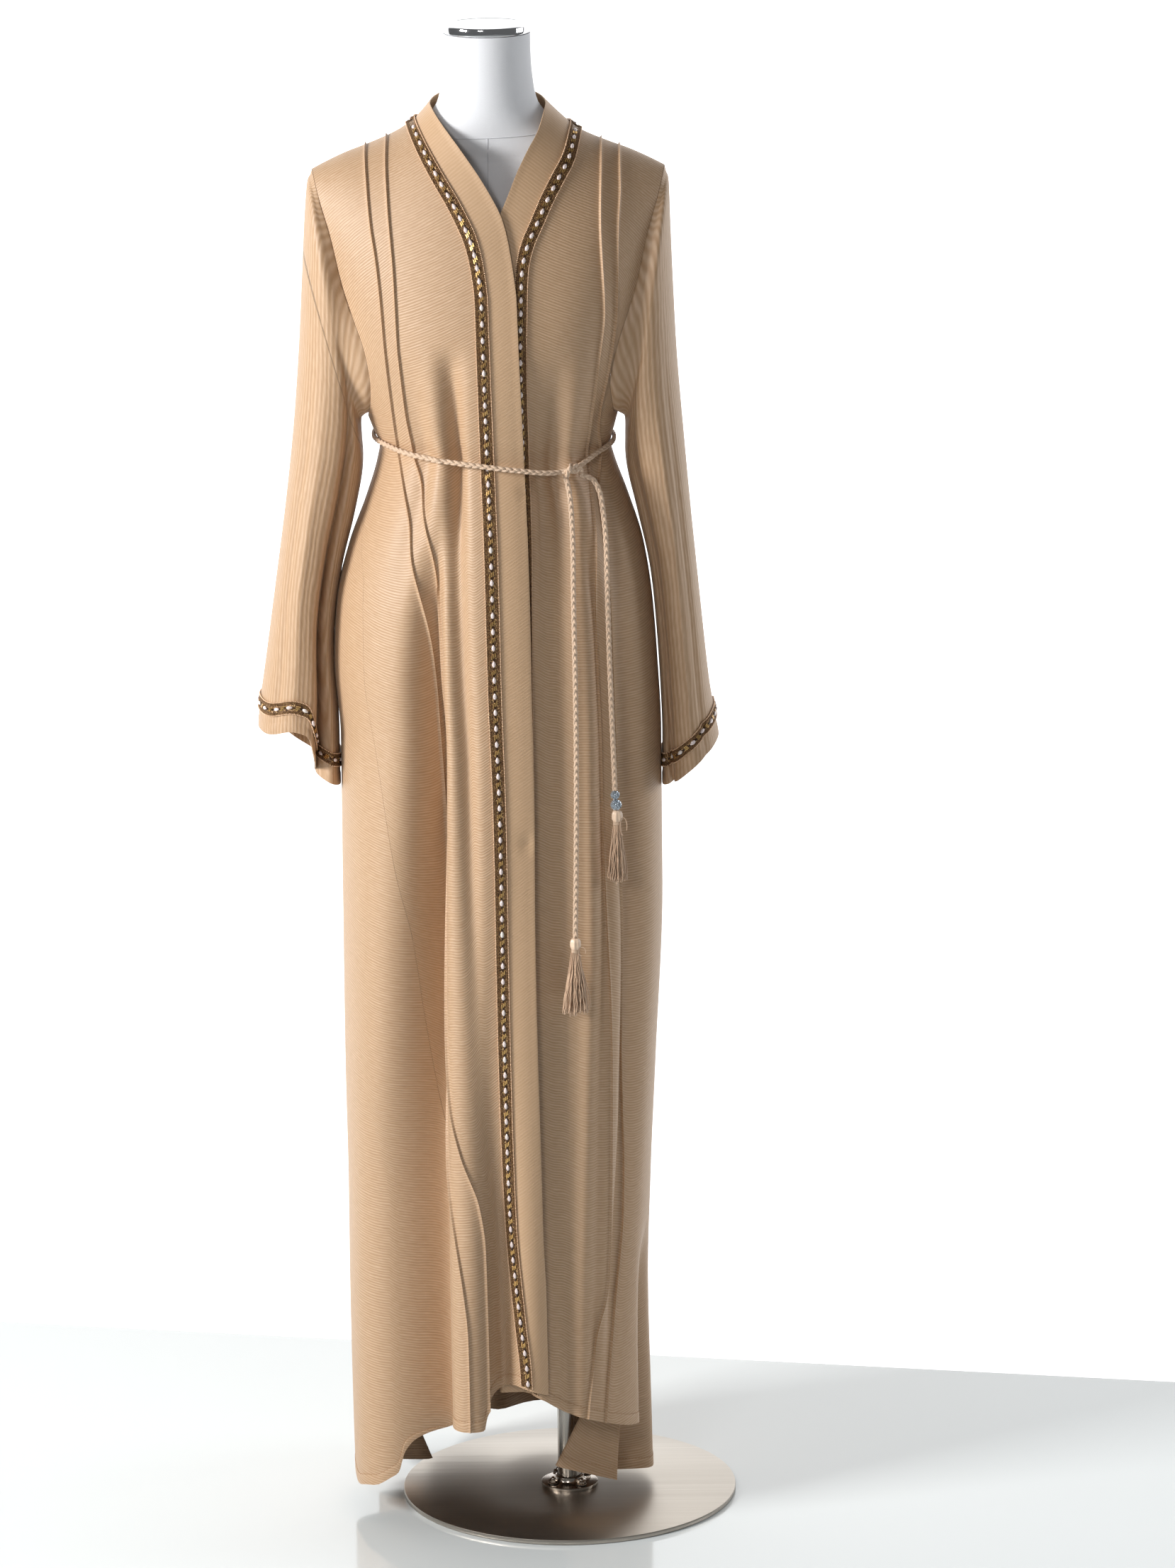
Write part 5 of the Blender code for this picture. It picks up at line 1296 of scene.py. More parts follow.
@dataclass
class Seam:
    """The run of a trim: its outer edge, middle and inner edge, and their normals, a row at a time."""

    edges: Array
    normals: Array

    def at(self, distance: Array, across: Array) -> tuple:
        """Points and frames on the run.

        Args:
            distance: metres along the middle line.
            across: -1 at the outer edge, 0 at the middle, 1 at the inner edge.

        Returns:
            The points, and for each one the unit directions across, along and outward.
        """
        travelled = lengths(self.edges[:, 1])
        read = [
            np.stack([np.interp(distance, travelled, part[:, c, k]) for k in range(3)], -1)
            for part in (self.edges, self.normals)
            for c in range(3)
        ]
        away = np.abs(across)[:, None]
        far = np.where((across < 0)[:, None], read[0], read[2])
        far_normal = np.where((across < 0)[:, None], read[3], read[5])
        points = read[1] + (far - read[1]) * away
        normals = unit(read[4] + (far_normal - read[4]) * away)
        step = 0.002
        ahead = np.stack([np.interp(distance + step, travelled, self.edges[:, 1, k]) for k in range(3)], -1)
        behind = np.stack([np.interp(distance - step, travelled, self.edges[:, 1, k]) for k in range(3)], -1)
        along = unit(ahead - behind)
        side = unit(np.cross(along, normals))
        return points, np.stack([side, unit(np.cross(normals, side)), normals], 1)

    @property
    def length(self) -> float:
        """Length of the middle line."""
        return float(lengths(self.edges[:, 1])[-1])


@dataclass
class BeadedTrim:
    """A braid 16 mm wide with beaded edges, drop pearls and bugles along its middle."""

    name: str
    seam: Seam
    replaced: str
    ground: float = 0.0009
    picot_step: float = 0.0019
    seed_step: float = 0.0016
    pearl_step: float = 0.0188
    pearl_step_high: float = 0.0150
    high_from: float = 9.0

    def build(self) -> None:
        """Make the ground strip and its beads."""
        lift = WALL / 2 + 0.0002 + self.ground / 2
        middle = self.seam.edges + self.seam.normals * lift
        dense = np.concatenate([middle[:, :1], (middle[:, :1] + middle[:, 1:2]) / 2, middle[:, 1:2],
                                (middle[:, 1:2] + middle[:, 2:]) / 2, middle[:, 2:]], 1)
        turned = self.seam.normals
        normals = np.concatenate([turned[:, :1], unit(turned[:, :1] + turned[:, 1:2]), turned[:, 1:2],
                                  unit(turned[:, 1:2] + turned[:, 2:]), turned[:, 2:]], 1)
        along = lengths(dense)
        uv = np.stack([np.broadcast_to(np.linspace(0, 0.016, 5), along.shape), along], -1)
        ground = Mesh.wall(dense, normals, self.ground / 2, uv)
        strip = Dresser.piece(f"{self.name}_braid", ground, GROUND, Slot.TRIM, (self.replaced,))
        top = lift + self.ground / 2
        end = self.seam.length
        small = ball_mesh(5, 2)
        beads = [
            Dresser.piece(f"{self.name}_picot", self.row(small, self.picot_step, (-0.96, 0.96), 0.00088, top, end),
                          PICOT, Slot.TRIM),
            Dresser.piece(f"{self.name}_seeds", self.row(small, self.seed_step, (-0.76, -0.57, 0.57, 0.76), 0.00070,
                                                         top, end), SEED, Slot.TRIM),
        ]
        places = [0.006]
        while places[-1] < end - 0.012:
            places.append(places[-1] + (self.pearl_step if places[-1] < self.high_from else self.pearl_step_high))
        places = np.array(places[:-1])
        points, frames = self.seam.at(places, np.zeros(len(places)))
        size = np.array([0.0023, 0.0036, 0.0017])[None, :, None]
        drops = ball_mesh(10, 7, 0.42).scattered(points + frames[:, 2] * (top + 0.0012), frames * size)
        beads.append(Dresser.piece(f"{self.name}_pearls", drops, PEARL, Slot.TRIM))
        half = np.diff(places).mean() / 2 if len(places) > 1 else 0.008
        beads += self.bugles(places[:-1] + half, top)

    def row(self, small: Mesh, step: float, across: tuple, radius: float, top: float, end: float) -> Mesh:
        """Rows of round beads side by side along the run.

        Args:
            small: the mesh to repeat.
            step: distance between beads.
            across: places across the trim.
            radius: the radius.
            top: height of the base above the cloth.
            end: length of the run.

        Returns:
            All the beads.
        """
        count = int(end / step)
        run = np.linspace(step / 2, end - step / 2, count)
        parts = []
        for k, share in enumerate(across):
            points, frames = self.seam.at(run + (k % 2) * step / 2 * 0.5, np.full(count, share))
            wobble = 1 + 0.12 * np.sin(np.arange(count) * 2.4 + k)
            axes = frames * (radius * wobble)[:, None, None]
            parts.append(small.scattered(points + frames[:, 2] * (top + radius * 0.55), axes))
        return Mesh.joined(parts)

    def bugles(self, places: Array, top: float) -> list:
        """A gold bugle between two pearls, with short dark ones at its ends and seed beads beside it.

        Args:
            places: distances along the run.
            top: height of the base above the cloth.

        Returns:
            The pieces.
        """
        block = box_mesh()
        pieces = []
        for name, finish, offsets, size in (
            ("gold", GOLD, ((0.0, 0.0), (-0.25, -0.0015), (0.25, 0.0015)), (0.0012, 0.0046, 0.0012)),
            ("dark", DARK, ((0.0, -0.0042), (0.0, 0.0042)), (0.0016, 0.0026, 0.0010)),
        ):
            parts = []
            for across, shift in offsets:
                points, frames = self.seam.at(places + shift, np.full(len(places), across))
                axes = frames * np.array(size)[None, :, None]
                parts.append(block.scattered(points + frames[:, 2] * (top + size[2] * 0.5), axes))
            title = f"{self.name}_{name}_bugles"
            pieces.append(Dresser.piece(title, Mesh.joined(parts), finish, Slot.TRIM, sharp=30))
        return pieces


@dataclass
class FrontPanel:
    """One front panel with its band and trim. side is -1 for the wearer's right and 1 for the left."""

    side: float

    def __post_init__(self) -> None:
        """Choose the side's lines."""
        right = self.side < 0
        self.name = "right" if right else "left"
        self.trim_line = TRIM_RIGHT if right else TRIM_LEFT
        self.tucks = (INNER_TUCK_RIGHT, OUTER_TUCK_RIGHT) if right else (INNER_TUCK_LEFT, OUTER_TUCK_LEFT)
        self.side_seam = SIDE_RIGHT if right else SIDE_LEFT
        self.hem = HEM_FRONT if right else HEM_UNDER
        self.band_width = BAND_RIGHT_WIDTH if right else BAND_LEFT_WIDTH
        self.flat, self.area = ((0.27, 1.52), 0.275) if right else ((0.31, 1.52), 0.324)
        self.band_flat = (0.040, 1.58) if right else (0.042, 1.58)

    def lowered(self, angle: Array, height: Array, points: Array) -> Array:
        """The wearer's left front lies under the other one, and comes up to the surface past its edge.

        Args:
            angle: degrees round the body, 0 at the wearer's left and 90 at the front.
            height: heights in metres, or arch shares above the chest.
            points: the points, in rows and columns or along a line.

        Returns:
            The moved points.
        """
        if self.side < 0:
            return points
        edge = Mould.line_angle(TRIM_RIGHT, np.minimum(height, CHEST + 0.1)) - 14
        near = smooth_step((angle - (edge - 26)) / 22)
        high = np.clip((Mould.real_height(points[..., 0] - BODY_X, height) - 1.56) / 0.07, 0, 1)
        deepest = np.min([Mould.fold_depth(angle + step, height) for step in (-8, -5, -2.5, 0, 2.5, 5, 8)], 0)
        sunk = (deepest - Mould.fold_depth(angle, height) - UNDERLAP) * near * (1 - high)
        return points + Mould.outward(angle, height) * sunk[..., None]

    def column_angles(self, height: Array) -> Array:
        """Angle of each column at its own heights: between guide lines, first + (second - first) share.

        Args:
            height: heights in metres, or arch shares above the chest.

        Returns:
            Rows by columns of angles.
        """
        out = -self.side
        seam = Mould.line_angle(self.trim_line, height)
        inner, outer = (Mould.line_angle(tuck, height) for tuck in self.tucks)
        edge = Mould.side_angle(self.side_seam, height, self.side)
        if self.side < 0:
            outer = np.minimum(outer, edge - 2.2)
            inner = np.minimum(inner, outer - 3.2)
        else:
            outer = np.maximum(outer, edge + 2.2)
            inner = np.maximum(inner, outer + 3.2)
        guides = [edge]
        for tuck in (outer, inner):
            guides += [Mould.moved(tuck, height, -out * TUCK_HALF), tuck, Mould.moved(tuck, height, out * TUCK_HALF)]
        guides += [Mould.moved(seam, height, -out * TRIM_HALF), Mould.moved(seam, height, -out * SEAM_GAP / 2)]
        guides = np.array(guides)
        low = np.concatenate([np.full(len(shares), k) for k, shares in enumerate(PANEL_SHARES)] + [[len(guides) - 2]])
        share = np.concatenate([np.array(shares) for shares in PANEL_SHARES] + [[1.0]])
        column = np.arange(len(low))
        first, second = guides[low, :, column].T, guides[low + 1, :, column].T
        return first + (second - first) * share

    def ridges(self, shape: tuple) -> Array:
        """Height of the tucks' ridges: steep toward the trim and sloping toward the side.

        Args:
            shape: rows and columns.

        Returns:
            Extra thickness.
        """
        raised = np.zeros(shape)
        start = 0
        for shares in PANEL_SHARES:
            if shares is TUCK_OUT:
                raised[:, start : start + len(shares)] = np.array((0.0, 0.0006, 0.0017, 0.0029))
            if shares is TUCK_IN:
                raised[:, start : start + len(shares)] = np.array((0.0033, 0.0029, 0.0013, 0.0002, 0.0))
            start += len(shares)
        raised[0] *= 0.6
        return raised

    def build(self) -> None:
        """Make the panel, its band and its trim."""
        columns = sum(len(shares) for shares in PANEL_SHARES) + 1
        hem = np.full(columns, 0.15)
        for _ in range(6):
            hem = profile(self.hem)(self.column_angles(hem[None])[0])
        height = panel_rows(hem)
        angles = self.column_angles(height)
        points = self.lowered(angles, height, Mould.point(angles, height))
        normals = Mould.normal(angles, height)
        points[-1, :, 1] -= SEAM_GAP / 2
        raised = self.ridges(points.shape[:2])
        raised += hem_turn(points)
        if self.side > 0:
            points, normals, raised = points[:, ::-1], normals[:, ::-1], raised[:, ::-1]
        normals = mitred(points, normals)
        uv = cloth_uv(points)
        panel = Dresser.piece(f"{self.name}_front", Mesh.wall(points, normals, WALL / 2, uv, raised=raised), CREPE,
                              Slot.CLOTH, (f"front_{self.name}",))
        HemStitch.along(f"{self.name}_front_stitches", points, normals)
        self.build_band(height, points, normals)

    def band_points(self, height: Array, share: Array) -> tuple:
        """The band's points at shares of its width: on the mould below, then rising free to the neck.

        Args:
            height: heights in metres, or arch shares above the chest.
            share: shares from 0 to 1.

        Returns:
            Points, normals and how far each row has risen free.
        """
        seam_angle = Mould.line_angle(self.trim_line, height)
        seam = Mould.point(seam_angle, height)
        seam_x = Mould.reach(height, seam_angle > 90) * np.cos(np.radians(seam_angle))
        real = seam[..., 2]
        climb = smooth_step((real - 1.475) / 0.075)
        across = profile(self.band_width)(real)
        slant_x = profile(((1.475, 0.040), (1.540, 0.034), (1.600, 0.028), (1.661, 0.0200)))(real)
        slant_z = profile(((1.475, 0.0), (1.540, 0.029), (1.600, 0.029), (1.661, 0.0210)))(real)
        if self.side > 0:
            slant_x = slant_x + 0.012 * np.clip((real - 1.54) / 0.11, 0, 1)
            slant_z = slant_z + 0.006 * np.clip((real - 1.54) / 0.11, 0, 1)
        across = np.where(real > 1.475, slant_x, across)
        x = seam_x - self.side * across * share
        level = height * np.ones_like(share)
        for _ in range(12):
            top = profile(SHOULDER)(np.abs(x))
            wanted = np.clip((real + slant_z * share - CHEST) / (top - CHEST), 0, 1)
            level = np.where(real > 1.475, CHEST + np.arcsin(wanted) * 2 / pi, height)
        angle = Mould.angle_at(x, level)
        low_points = self.lowered(angle, level, Mould.point(angle, level))
        low_normals = Mould.normal(angle, level)
        free = np.stack([seam[..., 0] - self.side * across, seam[..., 1] * 0.92, real + slant_z], -1)
        seam_low = self.lowered(seam_angle, height, seam)
        high_points = seam_low + (free - seam_low) * share[..., None]
        return low_points + (high_points - low_points) * climb[..., None], low_normals, climb

    def build_band(self, panel_height: Array, panel_points: Array, panel_normals: Array) -> None:
        """Make the plain band inside the trim, and the trim over their seam.

        Args:
            panel_height: the panel's heights.
            panel_points: the panel's points.
            panel_normals: the panel's normals.
        """
        seam_column, next_column = (-1, -5) if self.side < 0 else (0, 4)
        height = panel_height[:, -1:]
        shares = np.broadcast_to(BAND_SHARES, (len(height), len(BAND_SHARES)))
        middle, low_normals, climb = self.band_points(height, shares)
        middle[:, 0] += unit(middle[:, 1] - middle[:, 0]) * SEAM_GAP / 2
        if self.side < 0:
            drop = np.clip(1 - (middle[:, :1, 2] - middle[:1, :1, 2]) / 0.066, 0, 1)
            middle[..., 2] -= 0.008 * BAND_SHARES * drop
            self.marks(middle)
        along = np.gradient(middle, axis=0)
        across = np.gradient(middle, axis=1)
        normals = unit(np.cross(along, across)) * -self.side
        normals = normals * np.sign(np.sum(normals * np.array([0.0, -1.0, 0.3]), -1, keepdims=True))
        normals[:, 0] = panel_normals[:, seam_column]
        mixed = unit(normals * climb[..., None] + low_normals * (1 - climb[..., None]))
        fade = np.clip(BAND_SHARES / BAND_SHARES[TRIM_SHARE], 0, 1)[None, :, None]
        normals = unit(normals[:, :1] * (1 - fade) + mixed * fade)
        middle[-1, :, 1] -= SEAM_GAP / 2
        if self.side > 0:
            middle, normals = middle[:, ::-1], normals[:, ::-1]
        fold = np.where(BAND_SHARES > 0.9, 0.0005, 0.0) * np.ones((len(middle), 1))
        fold = fold if self.side < 0 else fold[:, ::-1]
        band = Dresser.piece(f"{self.name}_band", Mesh.wall(middle, normals, WALL / 2, cloth_uv(middle), raised=fold),
                             BAND_SATIN, Slot.BAND, (f"band_{self.name}",))
        first, second = (0, TRIM_SHARE) if self.side < 0 else (-1, -1 - TRIM_SHARE)
        seam = (panel_points[:, seam_column] + middle[:, first]) / 2
        edges = np.stack([panel_points[:, next_column], seam, middle[:, second]], 1)[2:]
        turned = np.stack([panel_normals[:, next_column], panel_normals[:, seam_column], normals[:, second]], 1)[2:]
        if self.side > 0:
            edges, turned = edges[:, ::-1], turned[:, ::-1]
        BeadedTrim(self.name, Seam(edges, unit(turned)), f"trim_{self.name}", high_from=1.27).build()
        self.ridge = (middle[-1], normals[-1])

    @staticmethod
    def marks(middle: Array) -> None:
        """Press the small dent of a snap and the nick at the band's edge into its points.

        Args:
            middle: the wall's middle points.
        """
        for x, z, width, depth in ((-0.041, 0.842, 0.007, 0.0030), (-0.039, 1.248, 0.005, 0.0022)):
            away = np.hypot(middle[..., 0] - x, (middle[..., 2] - z) * 0.8)
            middle[..., 1] += depth * bell(away, width)


def hem_turn(points: Array) -> Array:
    """Extra thickness of the turned hem over the rows below its stitching.

    Args:
        points: the points, in rows and columns or along a line.

    Returns:
        Extra thickness.
    """
    raised = np.zeros(points.shape[:2])
    raised[:5] = 0.0005
    raised[5] = -0.0001
    return raised


def cloth_uv(points: Array) -> Array:
    """Cloth coordinates: u across by the mean step between columns, v down each column from its top.

    Args:
        points: the points, in rows and columns or along a line.

    Returns:
        Rows by columns of u and v in metres.
    """
    down = lengths(points[::-1])[::-1]
    step = np.linalg.norm(np.diff(points, axis=1), axis=-1).mean(0)
    across = np.concatenate([[0], np.cumsum(step)])
    return np.stack([np.broadcast_to(across, down.shape), down], -1)


@dataclass
class HemStitch:
    """A row of short stitches above a hem."""

    @staticmethod
    def along(name: str, points: Array, normals: Array, row: int = 5, pitch: float = 0.0042) -> None:
        """Lay stitches end to end along a row of a panel's grid.

        Args:
            name: the piece's name.
            points: the panel's grid.
            normals: its normals.
            row: which row the stitching follows.
            pitch: metres from one stitch to the next.
        """
        line, facing = points[row], unit(normals[row])
        travelled = lengths(line)
        run = np.arange(pitch, travelled[-1] - pitch, pitch)
        at, out, ahead = (
            np.stack([np.interp(run + shift, travelled, part[:, k]) for k in range(3)], -1)
            for part, shift in ((line, 0.0), (facing, 0.0), (line, 0.0008))
        )
        along = unit(ahead - at)
        out = unit(out)
        side = unit(np.cross(out, along))
        axes = np.stack([along * 0.0029, side * 0.0005, out * 0.0005], 1)
        stitches = box_mesh().scattered(at + out * (WALL / 2 + 0.0001), axes)
        Dresser.piece(name, stitches, STITCH, Slot.CLOTH)


NECK_POINTS = 61
SHOULDER_COLUMNS = 42


@dataclass
class BackPanel:
    """The back panel, from the side seam at the wearer's right round to the other."""

    flat: tuple = (1.06, 1.60)
    area: float = 1.065

    @staticmethod
    def neck() -> tuple:
        """Back neck seam: half an oval round the neck, as distances, arch shares and turns.

        Returns:
            Distances, arch shares and turns.
        """
        turn = np.linspace(0, pi, NECK_POINTS)
        right_end, left_end, depth = -0.086, 0.100, 0.066
        x = (right_end + left_end) / 2 - (left_end - right_end) / 2 * np.cos(turn)
        share = BackPanel.share_at(x, depth * np.sin(turn))
        return x, share, turn

    @staticmethod
    def share_at(x: Array, y: Array) -> Array:
        """Arch share of the back's point over a place on the plan: y = deep cos(share pi/2), solved by turns.

        Args:
            x: distances from the body's middle toward the wearer's left.
            y: depths toward the back.

        Returns:
            Arch shares.
        """
        share = np.full(len(x), 0.5)
        for _ in range(40):
            angle = Mould.angle_at(x, CHEST + share, back=True)
            deep = profile(BODY, 4, True)(CHEST) * np.sin(np.radians(360 - angle))
            share = np.arccos(np.clip(y / deep, 0, 1)) * 2 / pi
        return share

    @staticmethod
    def rows(hem: Array) -> Array:
        """The back's own lower hem, then the rows of the fronts, so that the side seams meet.

        Args:
            hem: the hem's height in each column.

        Returns:
            Heights.
        """
        right_hem = float(profile(HEM_FRONT)(profile(SIDE_RIGHT)(0.12)))
        left_hem = 0.126
        for _ in range(6):
            left_hem = float(profile(HEM_UNDER)(profile(SIDE_LEFT)(left_hem)))
        front_hem = right_hem + (left_hem - right_hem) * np.linspace(0, 1, len(hem))
        hem = np.minimum(hem, front_hem - 0.002)
        rises = (0.0, 0.0008, 0.003, 0.007, 0.0115, HEM_TURN, 0.0143)
        near = [hem + rise * np.clip((front_hem - hem) / 0.03, 0, 1) for rise in rises]
        low = [near[-1] + (front_hem - near[-1]) * share for share in np.linspace(0, 1, 12)[1:-1]]
        return np.concatenate([near, low, panel_rows(front_hem)])

    def build(self) -> None:
        """Make the panel."""
        neck_x, neck_share, _ = self.neck()
        columns = 2 * SHOULDER_COLUMNS + NECK_POINTS
        even_share = np.linspace(0, 1, columns)
        dense = np.interp(even_share, np.linspace(0, 1, len(BACK_HEM_COLUMNS)), BACK_HEM_COLUMNS)
        warp = (dense - dense[0]) / (dense[-1] - dense[0])
        hem_angles = np.linspace(119.5, 379, columns)
        for _ in range(3):
            height = self.rows(profile(HEM_BACK)(hem_angles))
            right = profile(SIDE_RIGHT)(height[:, 0])
            arm = height[:, 0] > UNDERARM + 0.0001
            right = np.where(arm, Mould.line_angle(ARMHOLE, height[:, 0], True, -1.0), right)
            left = Mould.side_angle(SIDE_LEFT, height[:, -1], 1.0, back=True)
            even = right[:, None] + (left - right)[:, None] * even_share
            uneven = right[:, None] + (left - right)[:, None] * warp
            low = np.clip((0.9 - height) / 0.5, 0, 1)
            angles = even + (uneven - even) * low
            hem_angles = angles[0]
        arch = np.clip(height - CHEST, 0, 1)
        outer = np.linspace(-0.202, neck_x[0], SHOULDER_COLUMNS + 1)[:-1]
        inner = np.linspace(neck_x[-1], 0.202, SHOULDER_COLUMNS + 1)[1:]
        top_x = np.concatenate([outer, neck_x, inner])
        top_share = np.concatenate([np.ones(SHOULDER_COLUMNS), neck_share, np.ones(SHOULDER_COLUMNS)])
        level = np.where(height > CHEST, CHEST + arch * top_share, height)
        top_angle = Mould.angle_at(top_x, CHEST + top_share, back=True)
        angles = angles + (top_angle - angles) * smooth_step(arch)
        angles[:, 0] = np.where(arm, right, angles[:, 0])
        angles[:, -1] = np.where(arm, left, angles[:, -1])
        points = Mould.point(angles, level)
        normals = Mould.normal(angles, level)
        points[-1, top_share > 0.9999, 1] += SEAM_GAP / 2
        points[~arm, 0] += (unit(points[:, 1] - points[:, 0]) * SEAM_GAP)[~arm]
        points[~arm, -1] += (unit(points[:, -2] - points[:, -1]) * SEAM_GAP)[~arm]
        normals = mitred(points, normals)
        wall = Mesh.wall(points, normals, WALL / 2, cloth_uv(points), raised=hem_turn(points))
        panel = Dresser.piece("back_panel", wall, CREPE, Slot.CLOTH, ("back",))
        HemStitch.along("back_stitches", points, normals)
        HemStitch.along("back_inner_stitches", points, -normals)


@dataclass
class NeckBand:
    """The standing band round the back of the neck, and the trim over its seam."""

    flat: tuple = (0.04, 0.27)

    def build(self, fronts: list) -> None:
        """Make the band between the two fronts' bands.

        Args:
            fronts: the two front panels.
        """
        neck_x, neck_share, turn = BackPanel.neck()
        angle = Mould.angle_at(neck_x, CHEST + neck_share, back=True)
        seam = Mould.point(angle, CHEST + neck_share)
        seam_normal = Mould.normal(angle, CHEST + neck_share)
        right_free, left_free = fronts[0].ridge[0][-1], fronts[1].ridge[0][0]
        middle_x = (right_free[0] + left_free[0]) / 2
        half_x = (left_free[0] - right_free[0]) / 2
        level = right_free[2] + (left_free[2] - right_free[2]) * turn / pi
        free = np.stack([middle_x - half_x * np.cos(turn), 0.062 * np.sin(turn), level + 0.012 * np.sin(turn)], -1)
        middle = seam[:, None] + (free - seam)[:, None] * BAND_SHARES[None, :, None]
        normals = unit(np.cross(np.gradient(middle, axis=0), np.gradient(middle, axis=1)))
        outward = middle - np.array([BODY_X + 0.005, 0.0, 0.0])
        outward[..., 2] = 0.02
        normals = normals * np.sign(np.sum(normals * outward, -1, keepdims=True))
        normals[0] = fronts[0].ridge[1]
        normals[-1] = fronts[1].ridge[1][::-1]
        normals[1:-1, 0] = seam_normal[1:-1]
        middle[:, 0] += unit(middle[:, 1] - middle[:, 0]) * 0.0006
        middle[[0, -1], :, 1] += SEAM_GAP / 2
        wall = Mesh.wall(middle, normals, WALL / 2, cloth_uv(middle)[..., ::-1])
        band = Dresser.piece("neck_band", wall, BAND_SATIN, Slot.BAND, ("collar_back",))
        outer_xy = seam[:, :2] + unit(seam[:, :2] - np.array([BODY_X + 0.007, 0.0])) * TRIM_HALF
        share = BackPanel.share_at(outer_xy[:, 0] - BODY_X, outer_xy[:, 1])
        outer_angle = Mould.angle_at(outer_xy[:, 0] - BODY_X, CHEST + share, back=True)
        outer = Mould.point(outer_angle, CHEST + share)
        outer = seam + unit(outer - seam) * TRIM_HALF
        outer_normal = Mould.normal(outer_angle, CHEST + share)
        blend = unit(seam_normal + normals[:, TRIM_SHARE])
        edges = np.stack([outer, seam + blend * 0.0006, middle[:, TRIM_SHARE]], 1)
        edges = edges + np.stack([outer_normal, blend, normals[:, TRIM_SHARE]], 1) * 0.0009
        turned = np.stack([outer_normal, blend, normals[:, TRIM_SHARE]], 1)
        BeadedTrim("neck", Seam(edges, turned), "trim_neck", pearl_step=0.0150).build()


CUFF_TRIM_LOW = 0.022
CUFF_TRIM_HIGH = 0.038
AROUND = 120


